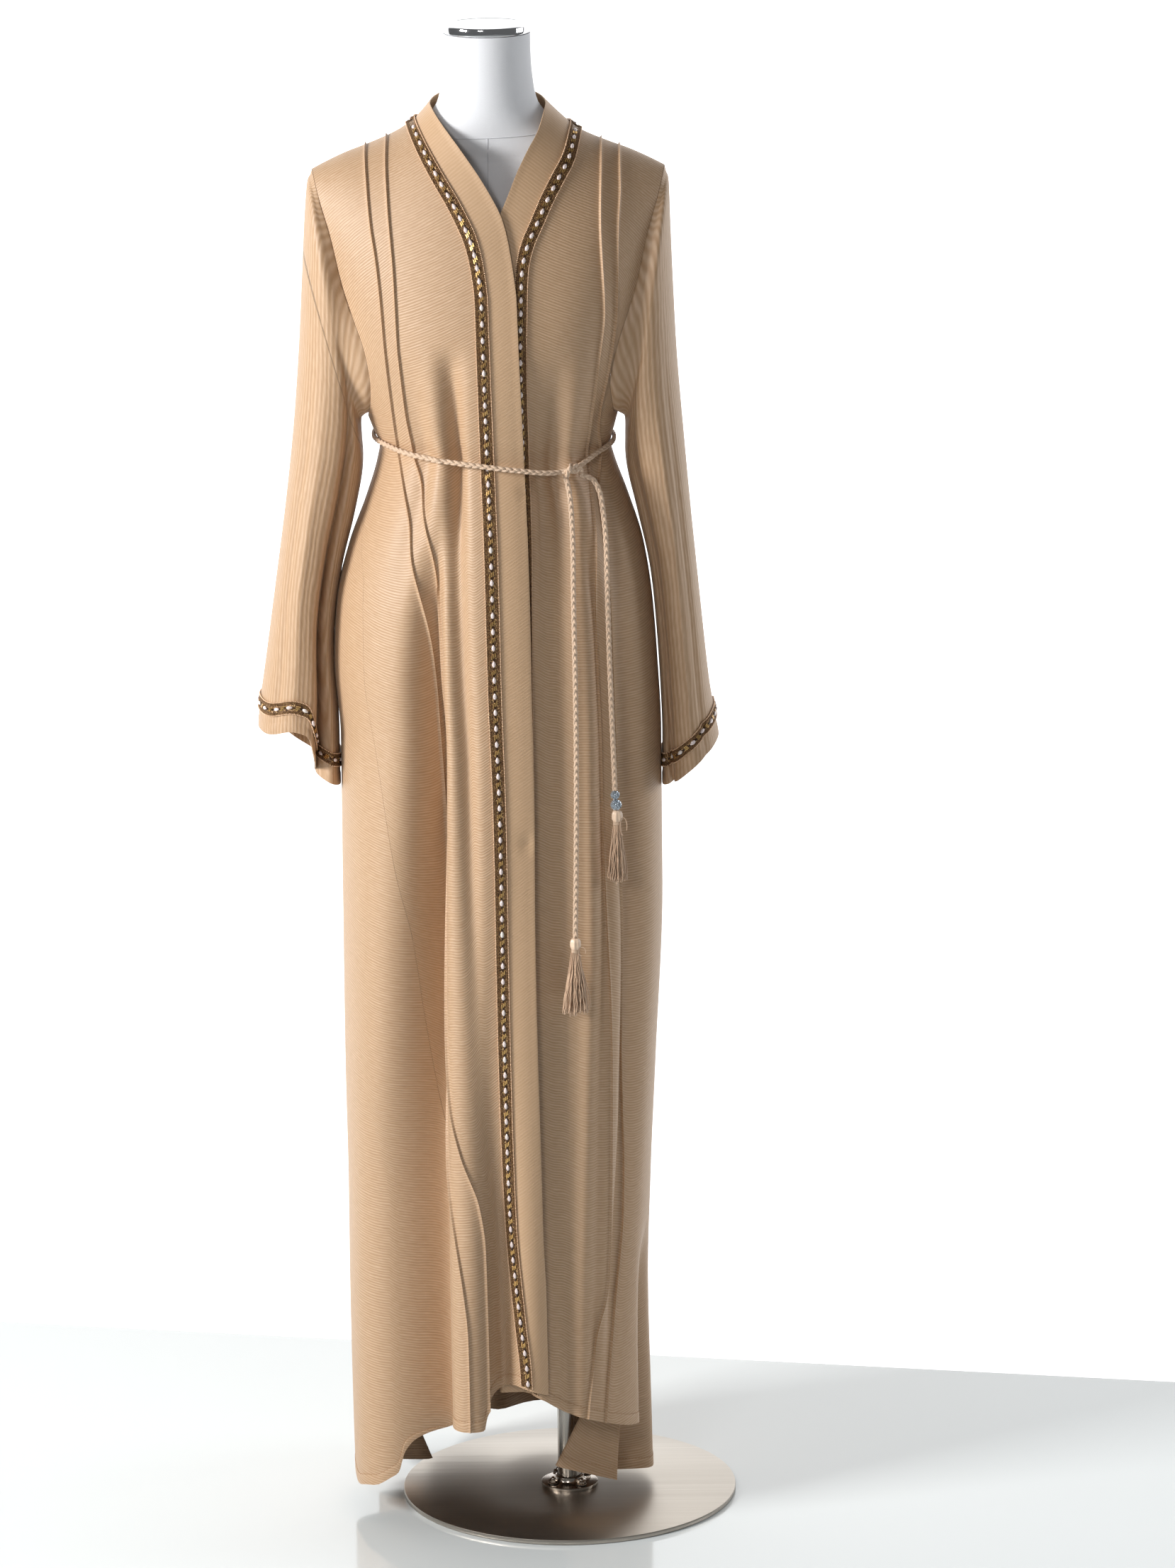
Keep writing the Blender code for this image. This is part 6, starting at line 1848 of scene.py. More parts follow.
@dataclass
class Sleeve:
    """A wide set-in sleeve from the armhole to the cuff, with the trim above its hem."""

    side: float
    flat: tuple = (0.30, 0.64)

    def __post_init__(self) -> None:
        """Choose the side's rings."""
        self.name = "right" if self.side < 0 else "left"
        self.table = SLEEVE_RIGHT if self.side < 0 else SLEEVE_LEFT

    def armhole(self) -> tuple:
        """The armhole's ring down the front and up the back, evenly spaced: points, normals, away.

        Returns:
            Points, normals and directions away.
        """
        height = np.concatenate([CHEST + np.linspace(1, 0, 40), np.linspace(CHEST, UNDERARM, 14)[1:]])
        table = SIDE_RIGHT if self.side < 0 else SIDE_LEFT
        rings = []
        for back in (False, True):
            angle = Mould.side_angle(table, height, self.side, back)
            angle[-1] = 180.0 if self.side < 0 else (360.0 if back else 0.0)
            points = Mould.point(angle, height)
            step = 0.5 if (self.side < 0) != back else -0.5
            away = unit(Mould.point(angle + step, height) - points)
            rings.append([points, Mould.normal(angle, height), away])
        top_normal = unit(rings[0][1][0] + rings[1][1][0])
        for ring in rings:
            ring[1][0] = top_normal
            ring[2][0] = unit(np.array([self.side, 0.0, -0.4]))
            ring[2][-1] = unit(np.array([self.side * 0.3, 0.0, 1.0]))
        joined = [np.concatenate([rings[0][k], rings[1][k][::-1][1:]]) for k in range(3)]
        travelled = lengths(joined[0])
        half = len(height) - 1
        first = np.linspace(0, travelled[half], AROUND // 2 + 1)
        second = np.linspace(travelled[half], travelled[-1], AROUND // 2 + 1)[1:-1]
        run = np.concatenate([first, second])
        return tuple(np.stack([np.interp(run, travelled, part[:, k]) for k in range(3)], -1) for part in joined)

    def ring(self, row: tuple, turn: Array) -> Array:
        """One ring: an oval in the plane of its outer and inner points and the depth direction.

        Args:
            row: the ring's sizes from its table.
            turn: turns round the ring.

        Returns:
            Points.
        """
        outer_x, outer_z, inner_x, inner_z, front, back = row
        deep = np.where(np.sin(turn) > 0, front, back)
        squared = np.sign(np.cos(turn)) * np.abs(np.cos(turn)) ** 0.9
        x = (outer_x + inner_x) / 2 + (outer_x - inner_x) / 2 * squared
        z = (outer_z + inner_z) / 2 + (outer_z - inner_z) / 2 * squared
        return np.stack([BODY_X + self.side * x, -deep * np.sin(turn), z], -1)

    def guide_rings(self) -> tuple:
        """The rings that the sleeve passes through, and the directions at the armhole.

        Returns:
            Rings, and normals at the armhole.
        """
        start, start_normals, start_away = self.armhole()
        start_normals, start_away = unit(start_normals), unit(start_away)
        even = np.linspace(0, 2 * pi, AROUND, endpoint=False)
        low, high = start[:, 2].min(), start[:, 2].max()
        matched = np.arccos(np.clip((2 * start[:, 2] - low - high) / (high - low), -1, 1))
        matched = np.where(even > pi, 2 * pi - matched, matched)
        rings, count = [], len(self.table)
        for k, row in enumerate(self.table):
            turn = matched + (even - matched) * min(k / 5, 1.0)
            ring = self.ring(row, turn)
            around = turn / (2 * pi)
            centre = ring.mean(0)
            for middle, low, high, depth, first in SLEEVE_FOLDS[self.side]:
                grown = np.clip((k - first + 1) / (count - first), 0, 1) ** 0.7
                inward = unit((ring - centre) * np.array([0.4, 1.0, 0.0]))
                away = (around - middle + 0.5) % 1 - 0.5
                ring += inward * (depth * grown * bell(away, np.where(away < 0, low, high)))[:, None]
            if self.side < 0:
                near_hem = np.clip((k - 3) / (count - 4), 0, 1)
                away = around - 0.285
                ring[:, 2] += near_hem * 0.042 * bell(away, np.where(away < 0, 0.12, 0.030))
            rings.append(ring)
        under = ((1 - np.cos(matched)) / 2)[:, None] ** 2
        sweep = (start_away * 0.0025 + start_normals * 0.0045) * under
        first_ring = start + (rings[0] - start) * (0.38 - 0.26 * under) + sweep
        lean = under * pi / 2
        edge_normals = start_normals * np.cos(lean) - start_away * np.sin(lean)
        start = start + start_away * (SEAM_GAP + 0.0002 + 0.0008 * np.sin(lean))
        return np.array([start, first_ring] + rings), edge_normals

    def build(self) -> None:
        """Make the sleeve and its cuff trim."""
        guides, edge_normals = self.guide_rings()
        middle = self.lengthwise(guides)
        wrapped = np.concatenate([middle[:, -1:], middle, middle[:, :1]], 1)
        normals = unit(np.cross(wrapped[:, 2:] - wrapped[:, :-2], np.gradient(middle, axis=0)))
        if np.sum(normals * (middle - middle.mean(1, keepdims=True))) < 0:
            normals = -normals
        share = np.clip(1 - np.arange(len(middle)) / 8, 0, 1)[:, None, None] ** 2
        normals = unit(normals * (1 - share) + edge_normals[None] * share)
        self.folds(middle, normals)
        raised = np.zeros(middle.shape[:2])
        raised[-self.hem_rows :] = 0.0005
        raised[-self.hem_rows - 1] = -0.0001
        down = lengths(middle)
        centre = (middle.min(1) + middle.max(1))[:, None] / 2
        seen = np.unwrap(np.arctan2(middle[..., 1] - centre[..., 1], middle[..., 0] - centre[..., 0]), axis=1)
        uv = np.stack([seen * 0.048, down], -1)
        wall = Mesh.wall(middle, normals, WALL / 2, uv, closed=True, raised=raised)
        sleeve = Dresser.piece(f"{self.name}_sleeve", wall, CREPE_LENGTHWISE, Slot.CLOTH, (f"sleeve_{self.name}",))
        travelled = lengths(middle[::-1])[::-1]
        edges = []
        for rise in (CUFF_TRIM_LOW, (CUFF_TRIM_LOW + CUFF_TRIM_HIGH) / 2, CUFF_TRIM_HIGH):
            edges.append([self.at_rise(part, travelled, rise) for part in (middle, normals)])
        points = np.stack([edge[0] for edge in edges], 1)
        facing = np.stack([edge[1] for edge in edges], 1)
        points = np.concatenate([points[-30:], points[:-30]])
        facing = np.concatenate([facing[-30:], facing[:-30]])
        points = np.concatenate([points, points[:1]])
        facing = np.concatenate([facing, facing[:1]])
        points[-1] += (points[-2] - points[-1]) * 0.1
        BeadedTrim(f"{self.name}_cuff", Seam(points, facing), f"cuff_trim_{self.name}").build()

    hem_rows = 5

    def lengthwise(self, guides: Array) -> Array:
        """Rings along smooth curves through the guide rings: four-point cubics, finer near the hem.

        Args:
            guides: the guide rings.

        Returns:
            Rings by points.
        """
        ends = np.concatenate([[2 * guides[0] - guides[1]], guides, [2 * guides[-1] - guides[-2]]])
        counts = (4, 5) + (9,) * (len(guides) - 3)
        rows = []
        for k, count in enumerate(counts):
            t = np.linspace(0, 1, count, endpoint=False)[:, None, None]
            a, b, c, d = ends[k : k + 4]
            square, cube = 2 * a - 5 * b + 4 * c - d, 3 * b - a - 3 * c + d
            rows.append(0.5 * (2 * b + (c - a) * t + square * t**2 + cube * t**3))
        smooth = np.concatenate(rows + [guides[-1:]])
        travelled = lengths(smooth[::-1])[::-1]
        keep = travelled.min(1) > 0.020
        rises = (0.0165, 0.0143, HEM_TURN, 0.0100, 0.0055, 0.0022, 0.0006, 0.0)
        near = [self.at_rise(smooth, travelled, rise) for rise in rises]
        return np.concatenate([smooth[keep], near])

    @staticmethod
    def at_rise(grid: Array, travelled: Array, rise: float) -> Array:
        """A ring at a distance above the hem, measured along each lengthwise line.

        Args:
            grid: rings by points.
            travelled: distance of each point from the hem.
            rise: distance above the hem.

        Returns:
            One ring.
        """
        above = travelled > rise
        row = np.clip(above.sum(0) - 1, 0, len(grid) - 2)
        column = np.arange(grid.shape[1])
        far, near = travelled[row, column], travelled[row + 1, column]
        share = ((far - rise) / np.maximum(far - near, 1e-9))[:, None]
        return grid[row, column] * (1 - share) + grid[row + 1, column] * share

    def folds(self, middle: Array, normals: Array) -> None:
        """Press soft lengthwise folds into the tube, fading toward the armhole.

        Args:
            middle: the wall's middle points.
            normals: outward directions at the points.
        """
        rows = np.linspace(0, 1, len(middle))[:, None]
        around = (np.arange(AROUND) / AROUND)[None]
        depth = np.zeros(middle.shape[:2])
        for place, spread, amount, start, slant in (
            (0.14, 0.020, -0.0032, 0.25, 0.03), (0.22, 0.018, 0.0022, 0.30, 0.02), (0.42, 0.022, -0.0030, 0.15, -0.04),
            (0.60, 0.030, -0.0040, 0.20, 0.02), (0.85, 0.030, -0.0036, 0.25, -0.02), (0.93, 0.020, 0.0022, 0.30, 0.0),
        ):
            grown = smooth_step((rows - start) / 0.35) * (0.4 + 0.6 * (1 - smooth_step((rows - 0.85) / 0.15)))
            depth += amount * grown * bell((around - place - slant * rows + 0.5) % 1 - 0.5, spread)
        middle += normals * depth[..., None]


@dataclass
class CordBelt:
    """The plaited cord belt, its knot and the two hanging ends with their tassels and beads."""

    width: float = 0.0066
    pitch: float = 0.0255
    strand: float = 0.00175
    knot_angle: float = 52.0
    stand: float = 0.0076
    side_stand: float = 0.0042
    gap: float = 5.17
    tassel_strands: int = 116

    def belt_point(self, angle: Array, stand: float) -> Array:
        """A point of the belt's line, clear of the cloth: on the plain oval, pushed out past the folds.

        Args:
            angle: degrees round the body, 0 at the wearer's left and 90 at the front.
            stand: distance off the cloth.

        Returns:
            Points.
        """
        angle = np.asarray(angle, float)
        height = profile(BELT_LINE)(angle % 360)
        turn = np.radians(angle)
        across = Mould.reach(height, np.cos(turn) < 0)
        deep = Mould.depth(angle, height)
        base = np.stack([BODY_X + across * np.cos(turn), -deep * np.sin(turn), height], -1)
        swell = np.maximum(Mould.fold_depth(angle, height), 0.0)
        front = smooth_step((sin(radians(55)) - np.cos(turn) ** 2) * 3)  * (np.sin(turn) > 0)
        stand = self.side_stand + (stand - self.side_stand) * np.clip(front, 0.0, 1.0)
        return base + Mould.outward(angle, height) * (stand + swell)[..., None]

    @staticmethod
    def hung(start: Array, rows: tuple) -> Array:
        """The way of a hanging end: from its start, then down the front a little clear of the cloth.

        Args:
            start: the first point.
            rows: a row for each place.

        Returns:
            Points.
        """
        path = [start]
        for x, z, stand in rows:
            near = x + np.linspace(-0.012, 0.012, 7)
            front = Mould.point(Mould.angle_at(near, np.full(7, z)), np.full(7, z))[:, 1].min()
            path.append(np.array([BODY_X + x, front - stand, z]))
        return np.array(path)

    def plait(self, path: Array, outward: Array, start: float = 0.0) -> Mesh:
        """Three strands over and under each other along a path.

        Strand k's middle is path + side A sin(q) + outward B sin(2q), with q = 2 pi s / pitch + 2 pi k / 3.

        Args:
            path: the plait's middle line.
            outward: direction that faces away from the cloth, for each point.
            start: distance to start the pattern at.

        Returns:
            The three strands as one mesh.
        """
        fine = resample(path, 0.0010)
        travelled = lengths(path)
        run = lengths(fine)
        facing = np.stack([np.interp(run, travelled, outward[:, k]) for k in range(3)], -1)
        tangent = unit(np.gradient(fine, axis=0))
        side = unit(np.cross(tangent, facing))
        facing = unit(np.cross(side, tangent))
        sway = self.width / 2 - self.strand
        parts = []
        for k in range(3):
            q = (2 * pi * (run + start) / self.pitch + 2 * pi * k / 3)[:, None]
            line = fine + side * sway * np.sin(q) + facing * sway * 0.62 * np.sin(2 * q)
            swell = self.strand * (1 + 0.06 * np.cos(2 * q[:, 0]))
            parts.append(Mesh.tube(line, swell, 8, facing, 0.86))
        return Mesh.joined(parts)

    def build(self) -> None:
        """Make the belt, knot, ends, tassels and beads."""
        knot = self.belt_point(self.knot_angle, self.stand + 0.0008)
        self.ends(knot)
        angles = np.linspace(self.knot_angle + self.gap, self.knot_angle + 360 - self.gap, 400)
        round_body = self.belt_point(angles, self.stand)
        outward = Mould.outward(angles, profile(BELT_LINE)(angles % 360))
        Dresser.piece("waist_cord", self.plait(round_body, outward), CORD_SATIN, Slot.CORD, ("belt",))
        self.knot(knot, round_body[0], round_body[-1])

    def knot(self, knot: Array, left_end: Array, right_end: Array) -> None:
        """Tie the knot from three short runs of the same plait, one over the other two.

        Args:
            knot: the knot's middle.
            left_end: the belt's one end.
            right_end: the belt's other end.
        """
        out = Mould.outward(self.knot_angle, 1.27)
        level = unit(np.cross(out, np.array([0.0, 0.0, 1.0])))
        level = level * np.sign(level[0])
        up = np.array([0.0, 0.0, 1.0])
        parts = []
        for rows in (
            ((-0.0095, 0.0010, -0.0012), (-0.0035, 0.0032, 0.0016), (0.0030, 0.0040, 0.0040), (0.0085, 0.0022, 0.0018)),
            ((-0.0076, 0.0012, -0.0075), (-0.0078, 0.0045, -0.0030), (-0.0060, 0.0048, 0.0025), (-0.0015, 0.0012, 0.0044),
             (0.0040, -0.0012, 0.0020)),
            ((0.0096, 0.0000, -0.0075), (0.0104, 0.0036, -0.0028), (0.0082, 0.0046, 0.0015), (0.0030, 0.0044, -0.0016),
             (-0.0040, 0.0030, -0.0020)),
        ):
            way = np.array([knot + level * x + out * d + up * z for x, d, z in rows])
            if not parts:
                ends = sorted((left_end, right_end), key=lambda point: point[0])
                way = np.concatenate([ends[:1], way, ends[1:]])
            path = smooth_path(way, 0.0012)
            parts.append(self.plait(path, np.broadcast_to(out, path.shape), 0.004 * len(parts)))
        Dresser.piece("tied_knot", Mesh.joined(parts), CORD_SATIN, Slot.CORD, ("belt_knot",))

    def ends(self, knot: Array) -> None:
        """Args:
            knot: the knot's middle.
        """
        long_exit = knot + np.array([-0.0075, -0.0012, -0.00702])
        short_exit = knot + np.array([0.0095, 0.0010, -0.00702])
        long_way = smooth_path(self.hung(long_exit, CORD_LONG), 0.018)
        short_way = smooth_path(self.hung(short_exit, CORD_SHORT), 0.018)
        front = np.array([0.0, -1.0, 0.0])
        for name, way in (("long", long_way), ("short", short_way)):
            fine = smooth_path(way, 0.004)
            Dresser.piece(f"{name}_cord", self.plait(fine, np.broadcast_to(front, fine.shape)), CORD_SATIN,
                                       Slot.CORD, (f"cord_{name}",))
        long_parts = self.tassel("long", long_way[-1] + np.array([0, 0, -SEAM_GAP]), 0.092, 0.0165, 3)
        top = short_way[-1] + np.array([0, 0, -SEAM_GAP])
        short_parts = []
        for name, radius in (("upper", 0.0052), ("lower", 0.0064)):
            short_parts.append(self.crystal_ball(name, top + np.array([0.0, 0.0, -radius]), radius))
            top = top + np.array([0.001, 0.0, -2 * radius - SEAM_GAP])
        short_parts += self.tassel("short", top, 0.085, 0.0120, 8)

    def crystal_ball(self, name: str, centre: Array, radius: float) -> str:
        """A ball set all over with small faceted stones on a golden spiral.

        Args:
            name: the name.
            centre: the middle.
            radius: the radius.

        Returns:
            The piece's name.
        """
        count = 46
        k = np.arange(count) + 0.5
        z = 1 - 2 * k / count
        turn = k * pi * (3 - 5**0.5)
        out = np.stack([np.sqrt(1 - z**2) * np.cos(turn), np.sqrt(1 - z**2) * np.sin(turn), z], 1)
        side = unit(np.cross(out, np.array([0.13, 0.29, 0.95])))
        stone = Mesh.turned(np.array([(0, 0.55), (0.5, 0.55), (1.0, 0.1), (0.9, -0.4), (0, -0.4)]), 6)
        size = radius * 0.27
        axes = np.stack([side, np.cross(out, side), out], 1) * size
        stones = stone.scattered(centre + out * (radius - size * 0.45), axes)
        core = ball_mesh(20, 11).scattered(centre[None], np.eye(3)[None] * (radius * 0.9))
        Dresser.piece(f"crystal_{name}", Mesh.joined([stones, core]), CRYSTAL, Slot.CRYSTAL, (f"bead_{name}",), sharp=20)
        return f"crystal_{name}"

    def tassel(self, name: str, top: Array, length: float, spread: float, seed: int) -> list:
        """A tassel: a lobed satin head, a wound neck and uneven twisted strands.

        Args:
            name: which end it hangs on.
            top: the head's top.
            length: the strands' length.
            spread: radius of the skirt at its foot.
            seed: number that fixes the strands' unevenness.

        Returns:
            The names of its pieces.
        """
        rows = np.array([(0.0, 0.0), (0.0034, -0.0003), (0.0052, -0.0022), (0.0061, -0.0052), (0.0062, -0.0085),
                         (0.0054, -0.0112), (0.0042, -0.0130), (0.0, -0.0134)])
        smooth = [Profile(np.column_stack([np.arange(8), rows[:, k]]))(np.linspace(0, 7, 29)) for k in range(2)]
        head = Mesh.turned(np.column_stack([smooth[0], smooth[1] + top[2]]), 42, (top[0], top[1]), (7, 0.07))
        wraps = []
        for k in range(4):
            turn = np.linspace(0, 2 * pi, 20, endpoint=False)
            ring = np.stack([top[0] + 0.0042 * np.cos(turn), top[1] + 0.0042 * np.sin(turn),
                             np.full(20, top[2] - 0.0136 - 0.0009 * k)], 1)
            wraps.append(Mesh.tube(ring, 0.00055, 6, closed=True))
        head = Mesh.joined([head] + wraps)
        knot = Dresser.piece(f"tassel_head_{name}", head, CORD_SATIN, Slot.CORD, (f"tassel_{name}",))
        random = np.random.default_rng(seed)
        parts = []
        share = np.linspace(0, 1, 15)
        for k in range(self.tassel_strands):
            out = ((k + 0.5) / self.tassel_strands) ** 0.5
            turn = pi * (3 - 5**0.5) * k + random.normal(0, 0.15)
            way = np.array([cos(turn), sin(turn)])
            fall = (length - 0.0125) * (1 - 0.11 * random.random()) + (0.007 if k == 7 else 0.0)
            flare = 0.62 * share + 0.38 * smooth_step(share * 1.2) + 0.06 * np.sin(share * 5 + k)
            wave = np.sin(share * (16 + 9 * random.random()) + 6 * random.random())
            ripple = 0.0007 * wave[:, None] * share[:, None] ** 0.3
            flat = way * out * (0.0036 + (spread * (0.88 + 0.2 * random.random()) - 0.0036) * flare[:, None])
            flat = flat * np.array([1.0, 0.72]) + ripple * np.array([way[1], way[0]])
            z = top[2] - 0.0125 - share * fall
            line = np.column_stack([top[0] + flat[:, 0], top[1] + flat[:, 1], z])
            radius = 0.00062 * (1 + 0.15 * np.sin(share * 40 + k))
            parts.append(Mesh.tube(line, radius, 5, np.array([1.0, 0.2, 0.0])))
        Dresser.piece(f"tassel_strands_{name}", Mesh.joined(parts), TASSEL_THREAD, Slot.CORD)
        names = [knot.name, f"tassel_strands_{name}"]
        turn = np.linspace(-0.5, 1.5 * pi, 26)
        reach, drop = (0.0042, 0.0052) if name == "long" else (0.0040, 0.0105)
        loop = np.stack([top[0] + 0.0050 + reach * (0.6 + np.cos(turn)), np.full(26, top[1] - 0.0035),
                         top[2] - 0.012 - drop * 0.6 + drop * np.sin(turn)], 1)
        thread = Mesh.tube(loop, 0.00048, 6, np.array([0.0, 1.0, 0.0]))
        Dresser.piece(f"thread_loop_{name}", thread, TASSEL_THREAD, Slot.CORD)
        return names + [f"thread_loop_{name}"]


@dataclass
class DressForm:
    """The limbless form: torso and neck in white linen with its seams, and the cap on the neck."""

    around: int = 112
    cap_top: float = 1.7726
    cap_thick: float = 0.0100
    neck_seam: float = 1.6475

    def ring_point(self, turn: Array, height: Array) -> Array:
        """A point of the form: x = half cos t, y = -depth sin t at a height.

        Args:
            turn: turns round the ring.
            height: heights in metres, or arch shares above the chest.

        Returns:
            Points.
        """
        half, front, back = (profile(FORM, k)(height) for k in range(1, 4))
        deep = np.where(np.sin(turn) > 0, front, back)
        return np.stack([BODY_X + half * np.cos(turn), -deep * np.sin(turn), height * np.ones_like(turn)], -1)

    def build(self) -> None:
        """Make the torso, its seams and the cap."""
        height = np.concatenate([np.linspace(1.010, 1.040, 10)[:-1], np.linspace(1.040, 1.762, 118)])
        turn = np.linspace(0, 2 * pi, self.around, endpoint=False)
        grid = self.ring_point(turn[None], height[:, None])
        k = np.arange(grid.shape[0] * self.around).reshape(-1, self.around)
        loop = np.concatenate([k, k[:, :1]], 1)
        quads = grid_quads(loop)
        body = Mesh(grid.reshape(-1, 3), [quads, np.stack([k[0, ::-1], k[-1]])])
        Dresser.piece("dress_form", body.outward(), LINEN, Slot.LINEN, ("form",), sharp=45)
        self.seams()
        self.cap()

    def seams(self) -> None:
        """Raised seam lines: round the base of the neck, and down the middle of the front and back."""
        turn = np.linspace(0, 2 * pi, 96, endpoint=False)
        level = self.neck_seam + 0.010 * (1 - np.sin(turn)) / 2 + 0.003 * np.cos(turn)
        ring = self.ring_point(turn, level)
        parts = [Mesh.tube(ring, 0.0007, 6, closed=True)]
        for facing in (pi / 2, 3 * pi / 2):
            z = np.linspace(1.05, self.neck_seam + (0.010 if facing > pi else 0.0), 60)
            line = self.ring_point(np.full(60, facing), z)
            parts.append(Mesh.tube(line, 0.0005, 6, np.array([1.0, 0.0, 0.0])))
        Dresser.piece("form_seams", Mesh.joined(parts), SEAM_THREAD, Slot.LINEN)

    def cap(self) -> None:
        """The chrome cap: a ring with rounded edges and a groove, and a pale top plate set into it."""
        top, low = self.cap_top, self.cap_top - self.cap_thick
        rows = [(0.0, top - 0.0012), (0.0462, top - 0.0012), (0.0468, top - 0.0004), (0.0478, top), (0.0490, top - 0.0003),
                (0.0497, top - 0.0010), (0.0500, top - 0.0020), (0.0500, low + 0.0015), (0.0497, low + 0.0006),
                (0.0490, low), (0.0, low)]
        ring = Mesh.turned(np.array(rows), 120, (BODY_X, 0.0))
        Dresser.piece("cap_ring", ring, CHROME, Slot.CHROME, ("neck_cap",), sharp=40)
        edge = [(0.0440, top - 0.0002), (0.0456, top - 0.0006), (0.0459, top - 0.0012)]
        plate = Mesh.turned(np.array([(0.0, top - 0.0002), *edge, (0.0, top - 0.0012)]), 96, (BODY_X, 0.0))
        Dresser.piece("cap_plate", plate, CAP_TOP_METAL, Slot.CHROME, sharp=40)


@dataclass
class Stand:
    """Round base plate, bolted flange and pole."""

    plate_radius: float = 0.200
    plate_thick: float = 0.006
    pole_radius: float = 0.014
    pole_top: float = 1.0597
    flange_radius: float = 0.034
    flange_thick: float = 0.004
    nut_circle: float = 0.0245

    def build(self) -> None:
        """Make the stand's pieces."""
        t, r = self.plate_thick, self.plate_radius
        rows = [(0.0, t), (r * 0.5, t), (r - 0.0010, t), (r - 0.0003, t - 0.0003), (r, t - 0.0010), (r, 0.0010),
                (r - 0.0003, 0.0003), (r - 0.0010, 0.0), (r * 0.5, 0.0), (0.0, 0.0)]
        disc = Mesh.turned(np.array(rows), 180)
        Dresser.piece("round_plate", disc, STEEL_PLATE, Slot.STEEL, ("base_plate",), sharp=30)
        low = t + SEAM_GAP
        rows = [(0.0, self.pole_top), (self.pole_radius - 0.0006, self.pole_top), (self.pole_radius, self.pole_top - 0.0006)]
        rows += [(self.pole_radius, z) for z in np.linspace(1.0, 0.03, 12)]
        rows += [(self.pole_radius, low), (0.0, low)]
        Dresser.piece("stand_pole", Mesh.turned(np.array(rows), 64), STEEL_POLE, Slot.STEEL, ("pole",), sharp=40)
        self.flange(low)
        self.nuts()

    def flange(self, low: float) -> None:
        """A round flange with a short collar welded round the pole.

        Args:
            low: the plate's top.
        """
        top = self.plate_thick + self.flange_thick
        turn = np.linspace(0, 2 * pi, 72, endpoint=False)
        inner = self.pole_radius + SEAM_GAP
        rows = np.array([
            (inner, top + 0.0078), (inner + 0.0012, top + 0.0080), (inner + 0.0026, top + 0.0070), (inner + 0.0032, top + 0.0030),
            (inner + 0.0050, top + 0.0009), (inner + 0.0075, top), (self.flange_radius - 0.0010, top),
            (self.flange_radius - 0.0002, top - 0.0003), (self.flange_radius, top - 0.0010), (self.flange_radius, low),
            (inner, low),
        ])
        heights = np.broadcast_to(rows[:, 1:], (11, 72))
        grid = np.stack([rows[:, :1] * np.cos(turn), rows[:, :1] * np.sin(turn), heights], -1)
        k = np.arange(11 * 72).reshape(11, 72)
        loop = np.concatenate([k, k[:, :1]], 1)
        loop = np.concatenate([loop, loop[:1]], 0)
        quads = grid_quads(loop, down_first=True)
        ring = Mesh(grid.reshape(-1, 3), [quads]).outward()
        Dresser.piece("bolted_flange", ring, STEEL_FLANGE, Slot.CHROME, ("flange",), sharp=35)

    def nuts(self) -> None:
        """Hex nuts on washers, each with the round end of its bolt."""
        base = self.plate_thick + self.flange_thick
        for k in range(4):
            turn = radians(35 + 90 * k)
            centre = (self.nut_circle * cos(turn), self.nut_circle * sin(turn))
            parts = []
            for around, rows in (
                (28, ((0.0, 0.0022), (0.0060, 0.0022), (0.0063, 0.0019), (0.0063, 0.0012), (0.0, 0.0012))),
                (6, ((0.0, 0.0064), (0.0042, 0.0064), (0.0052, 0.0056), (0.0052, 0.0030), (0.0046, 0.0022),
                     (0.0, 0.0022))),
                (20, ((0.0, 0.0092), (0.0016, 0.0090), (0.0027, 0.0080), (0.0030, 0.0072), (0.0030, 0.0060),
                      (0.0, 0.0060))),
            ):
                parts.append(Mesh.turned(np.array(rows) + (0.0, base), around, centre))
            Dresser.piece(f"hex_nut_{k + 1}", Mesh.joined(parts), STEEL_FLANGE, Slot.CHROME, (f"nut_{k + 1}",), sharp=30)


@dataclass
class ShoulderKnob:
    """A small thread knob on the sleeve seam at the wearer's left shoulder."""

    centre: tuple = (0.1292, -0.010, 1.5705)

    def build(self) -> None:
        """Make the knob as a small ball of wound thread."""
        axes = np.diag([0.0030, 0.0034, 0.0030])[None]
        ball = ball_mesh(18, 10).scattered(np.array([self.centre]), axes)
        Dresser.piece("shoulder_knob", ball, STITCH, Slot.CLOTH)


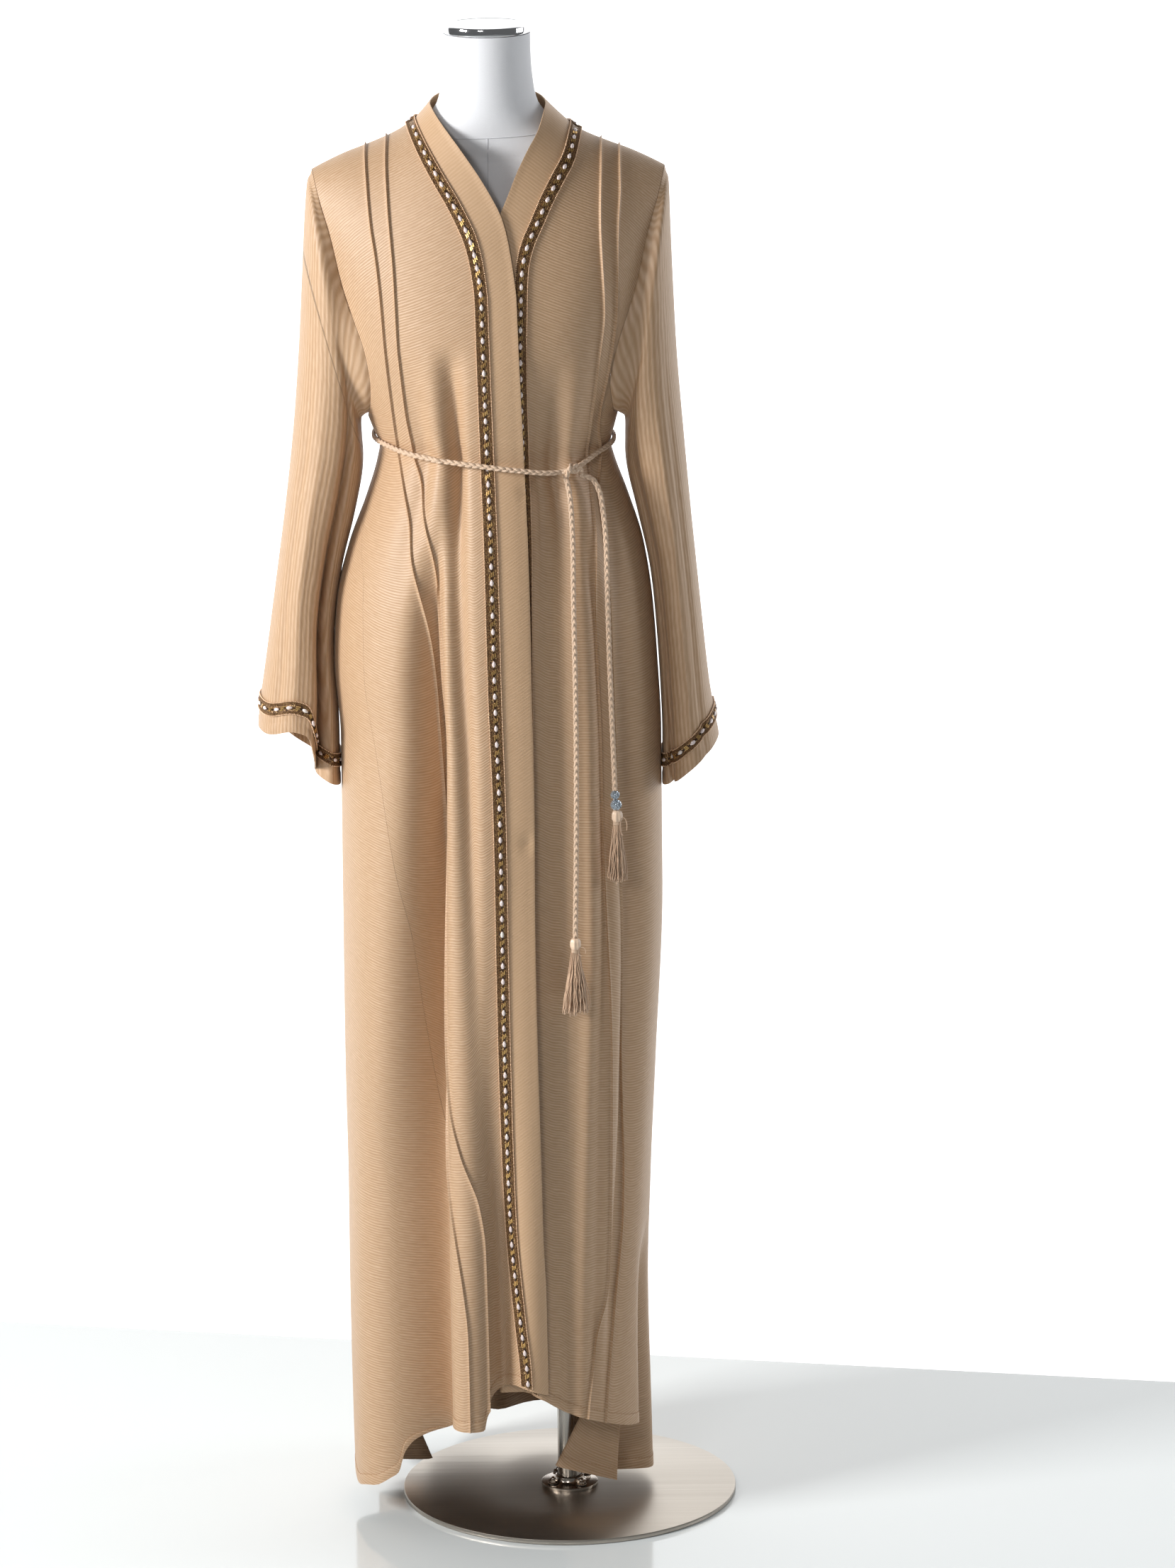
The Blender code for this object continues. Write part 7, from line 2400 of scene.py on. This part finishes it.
@dataclass
class Studio:
    """Camera, floor, backdrop and lights."""

    eye: tuple = (0.0, -7.8837, 2.8427)
    yaw: float = 0.0039
    pitch: float = 0.2447
    roll: float = -0.0111
    lens: float = 158.69
    floor_far: tuple = ((-0.737, 0.659), (0.763, 0.362))

    def camera(self) -> None:
        """Set the camera at the photograph's place: look along (sin yaw cos pitch, cos yaw cos pitch, -sin pitch)."""
        data = bpy.data.cameras.new("camera")
        data.sensor_width = 36.0
        data.lens = self.lens
        data.clip_end = 60.0
        camera = bpy.data.objects.new("camera", data)
        bpy.context.scene.collection.objects.link(camera)
        ahead = Vector((sin(self.yaw) * cos(self.pitch), cos(self.yaw) * cos(self.pitch), -sin(self.pitch)))
        turn = ahead.to_track_quat("-Z", "Y").to_matrix().to_4x4() @ Matrix.Rotation(self.roll, 4, "Z")
        camera.matrix_world = Matrix.Translation(self.eye) @ turn
        bpy.context.scene.camera = camera

    def set(self) -> None:
        """Lay the glossy floor sheet with its far edge in view, and stand a white backdrop behind it."""
        first, second = (np.array(point) for point in self.floor_far)
        along = unit(second - first)
        near = np.array([along[1], -along[0]])
        first, second = first - along * 3.5, second + along * 3.5
        corners = [first, second, second + near * 6, first + near * 6]
        points = np.array([[*corner, z] for z in (-0.0004, -0.004) for corner in corners])
        quads = np.array([[0, 3, 2, 1], [4, 5, 6, 7], [0, 1, 5, 4], [1, 2, 6, 5], [2, 3, 7, 6], [3, 0, 4, 7]])
        floor = Dresser.raw("floor", Mesh(points, [quads]).outward(), FLOOR, 30)
        wall = np.array([[-6, 3.2, -3], [6, 3.2, -3], [6, 3.2, 6], [-6, 3.2, 6]], float)
        backdrop = Dresser.raw("backdrop", Mesh(wall, [np.array([[0, 1, 2, 3]])]), BACKDROP, 0)

    def lights(self) -> None:
        """A strong key from the image's left, a weak rim from the right and a fill from the front."""
        for name, place, aim, power, size, colour in (
            ("key", (-3.0, -1.5, 2.3), (-0.05, 0.0, 0.95), 150.0, 1.0, (1.0, 0.99, 0.975)),
            ("rim", (2.9, 0.5, 1.7), (-0.05, 0.0, 0.9), 30.0, 1.3, (0.97, 0.985, 1.0)),
            ("front", (-1.2, -4.2, 2.6), (-0.05, 0.0, 0.9), 34.0, 0.8, (1.0, 0.99, 0.98)),
        ):
            data = bpy.data.lights.new(name, "AREA")
            data.energy = power
            data.size = size
            data.color = colour
            light = bpy.data.objects.new(name, data)
            bpy.context.scene.collection.objects.link(light)
            turn = (Vector(aim) - Vector(place)).to_track_quat("-Z", "Y")
            light.matrix_world = Matrix.Translation(place) @ turn.to_matrix().to_4x4()
        world = bpy.data.worlds.new("studio")
        world.use_nodes = True
        background = world.node_tree.nodes["Background"]
        background.inputs[0].default_value = rgb(0.96, 0.98, 1.0)
        background.inputs[1].default_value = 0.12
        bpy.context.scene.world = world
        bpy.context.scene.view_settings.view_transform = "Standard"


def main() -> None:
    """Build the studio, the cloak and the form in order."""
    logging.basicConfig(level=logging.INFO, format="%(name)s: %(message)s")
    studio = Studio()
    studio.camera()
    CordBelt().build()
    fronts = [FrontPanel(-1.0), FrontPanel(1.0)]
    for front in fronts:
        front.build()
    BackPanel().build()
    NeckBand().build(fronts)
    for side in (-1.0, 1.0):
        Sleeve(side).build()
    ShoulderKnob().build()
    DressForm().build()
    Stand().build()
    studio.set()
    studio.lights()


if __name__ == "__main__":
    main()
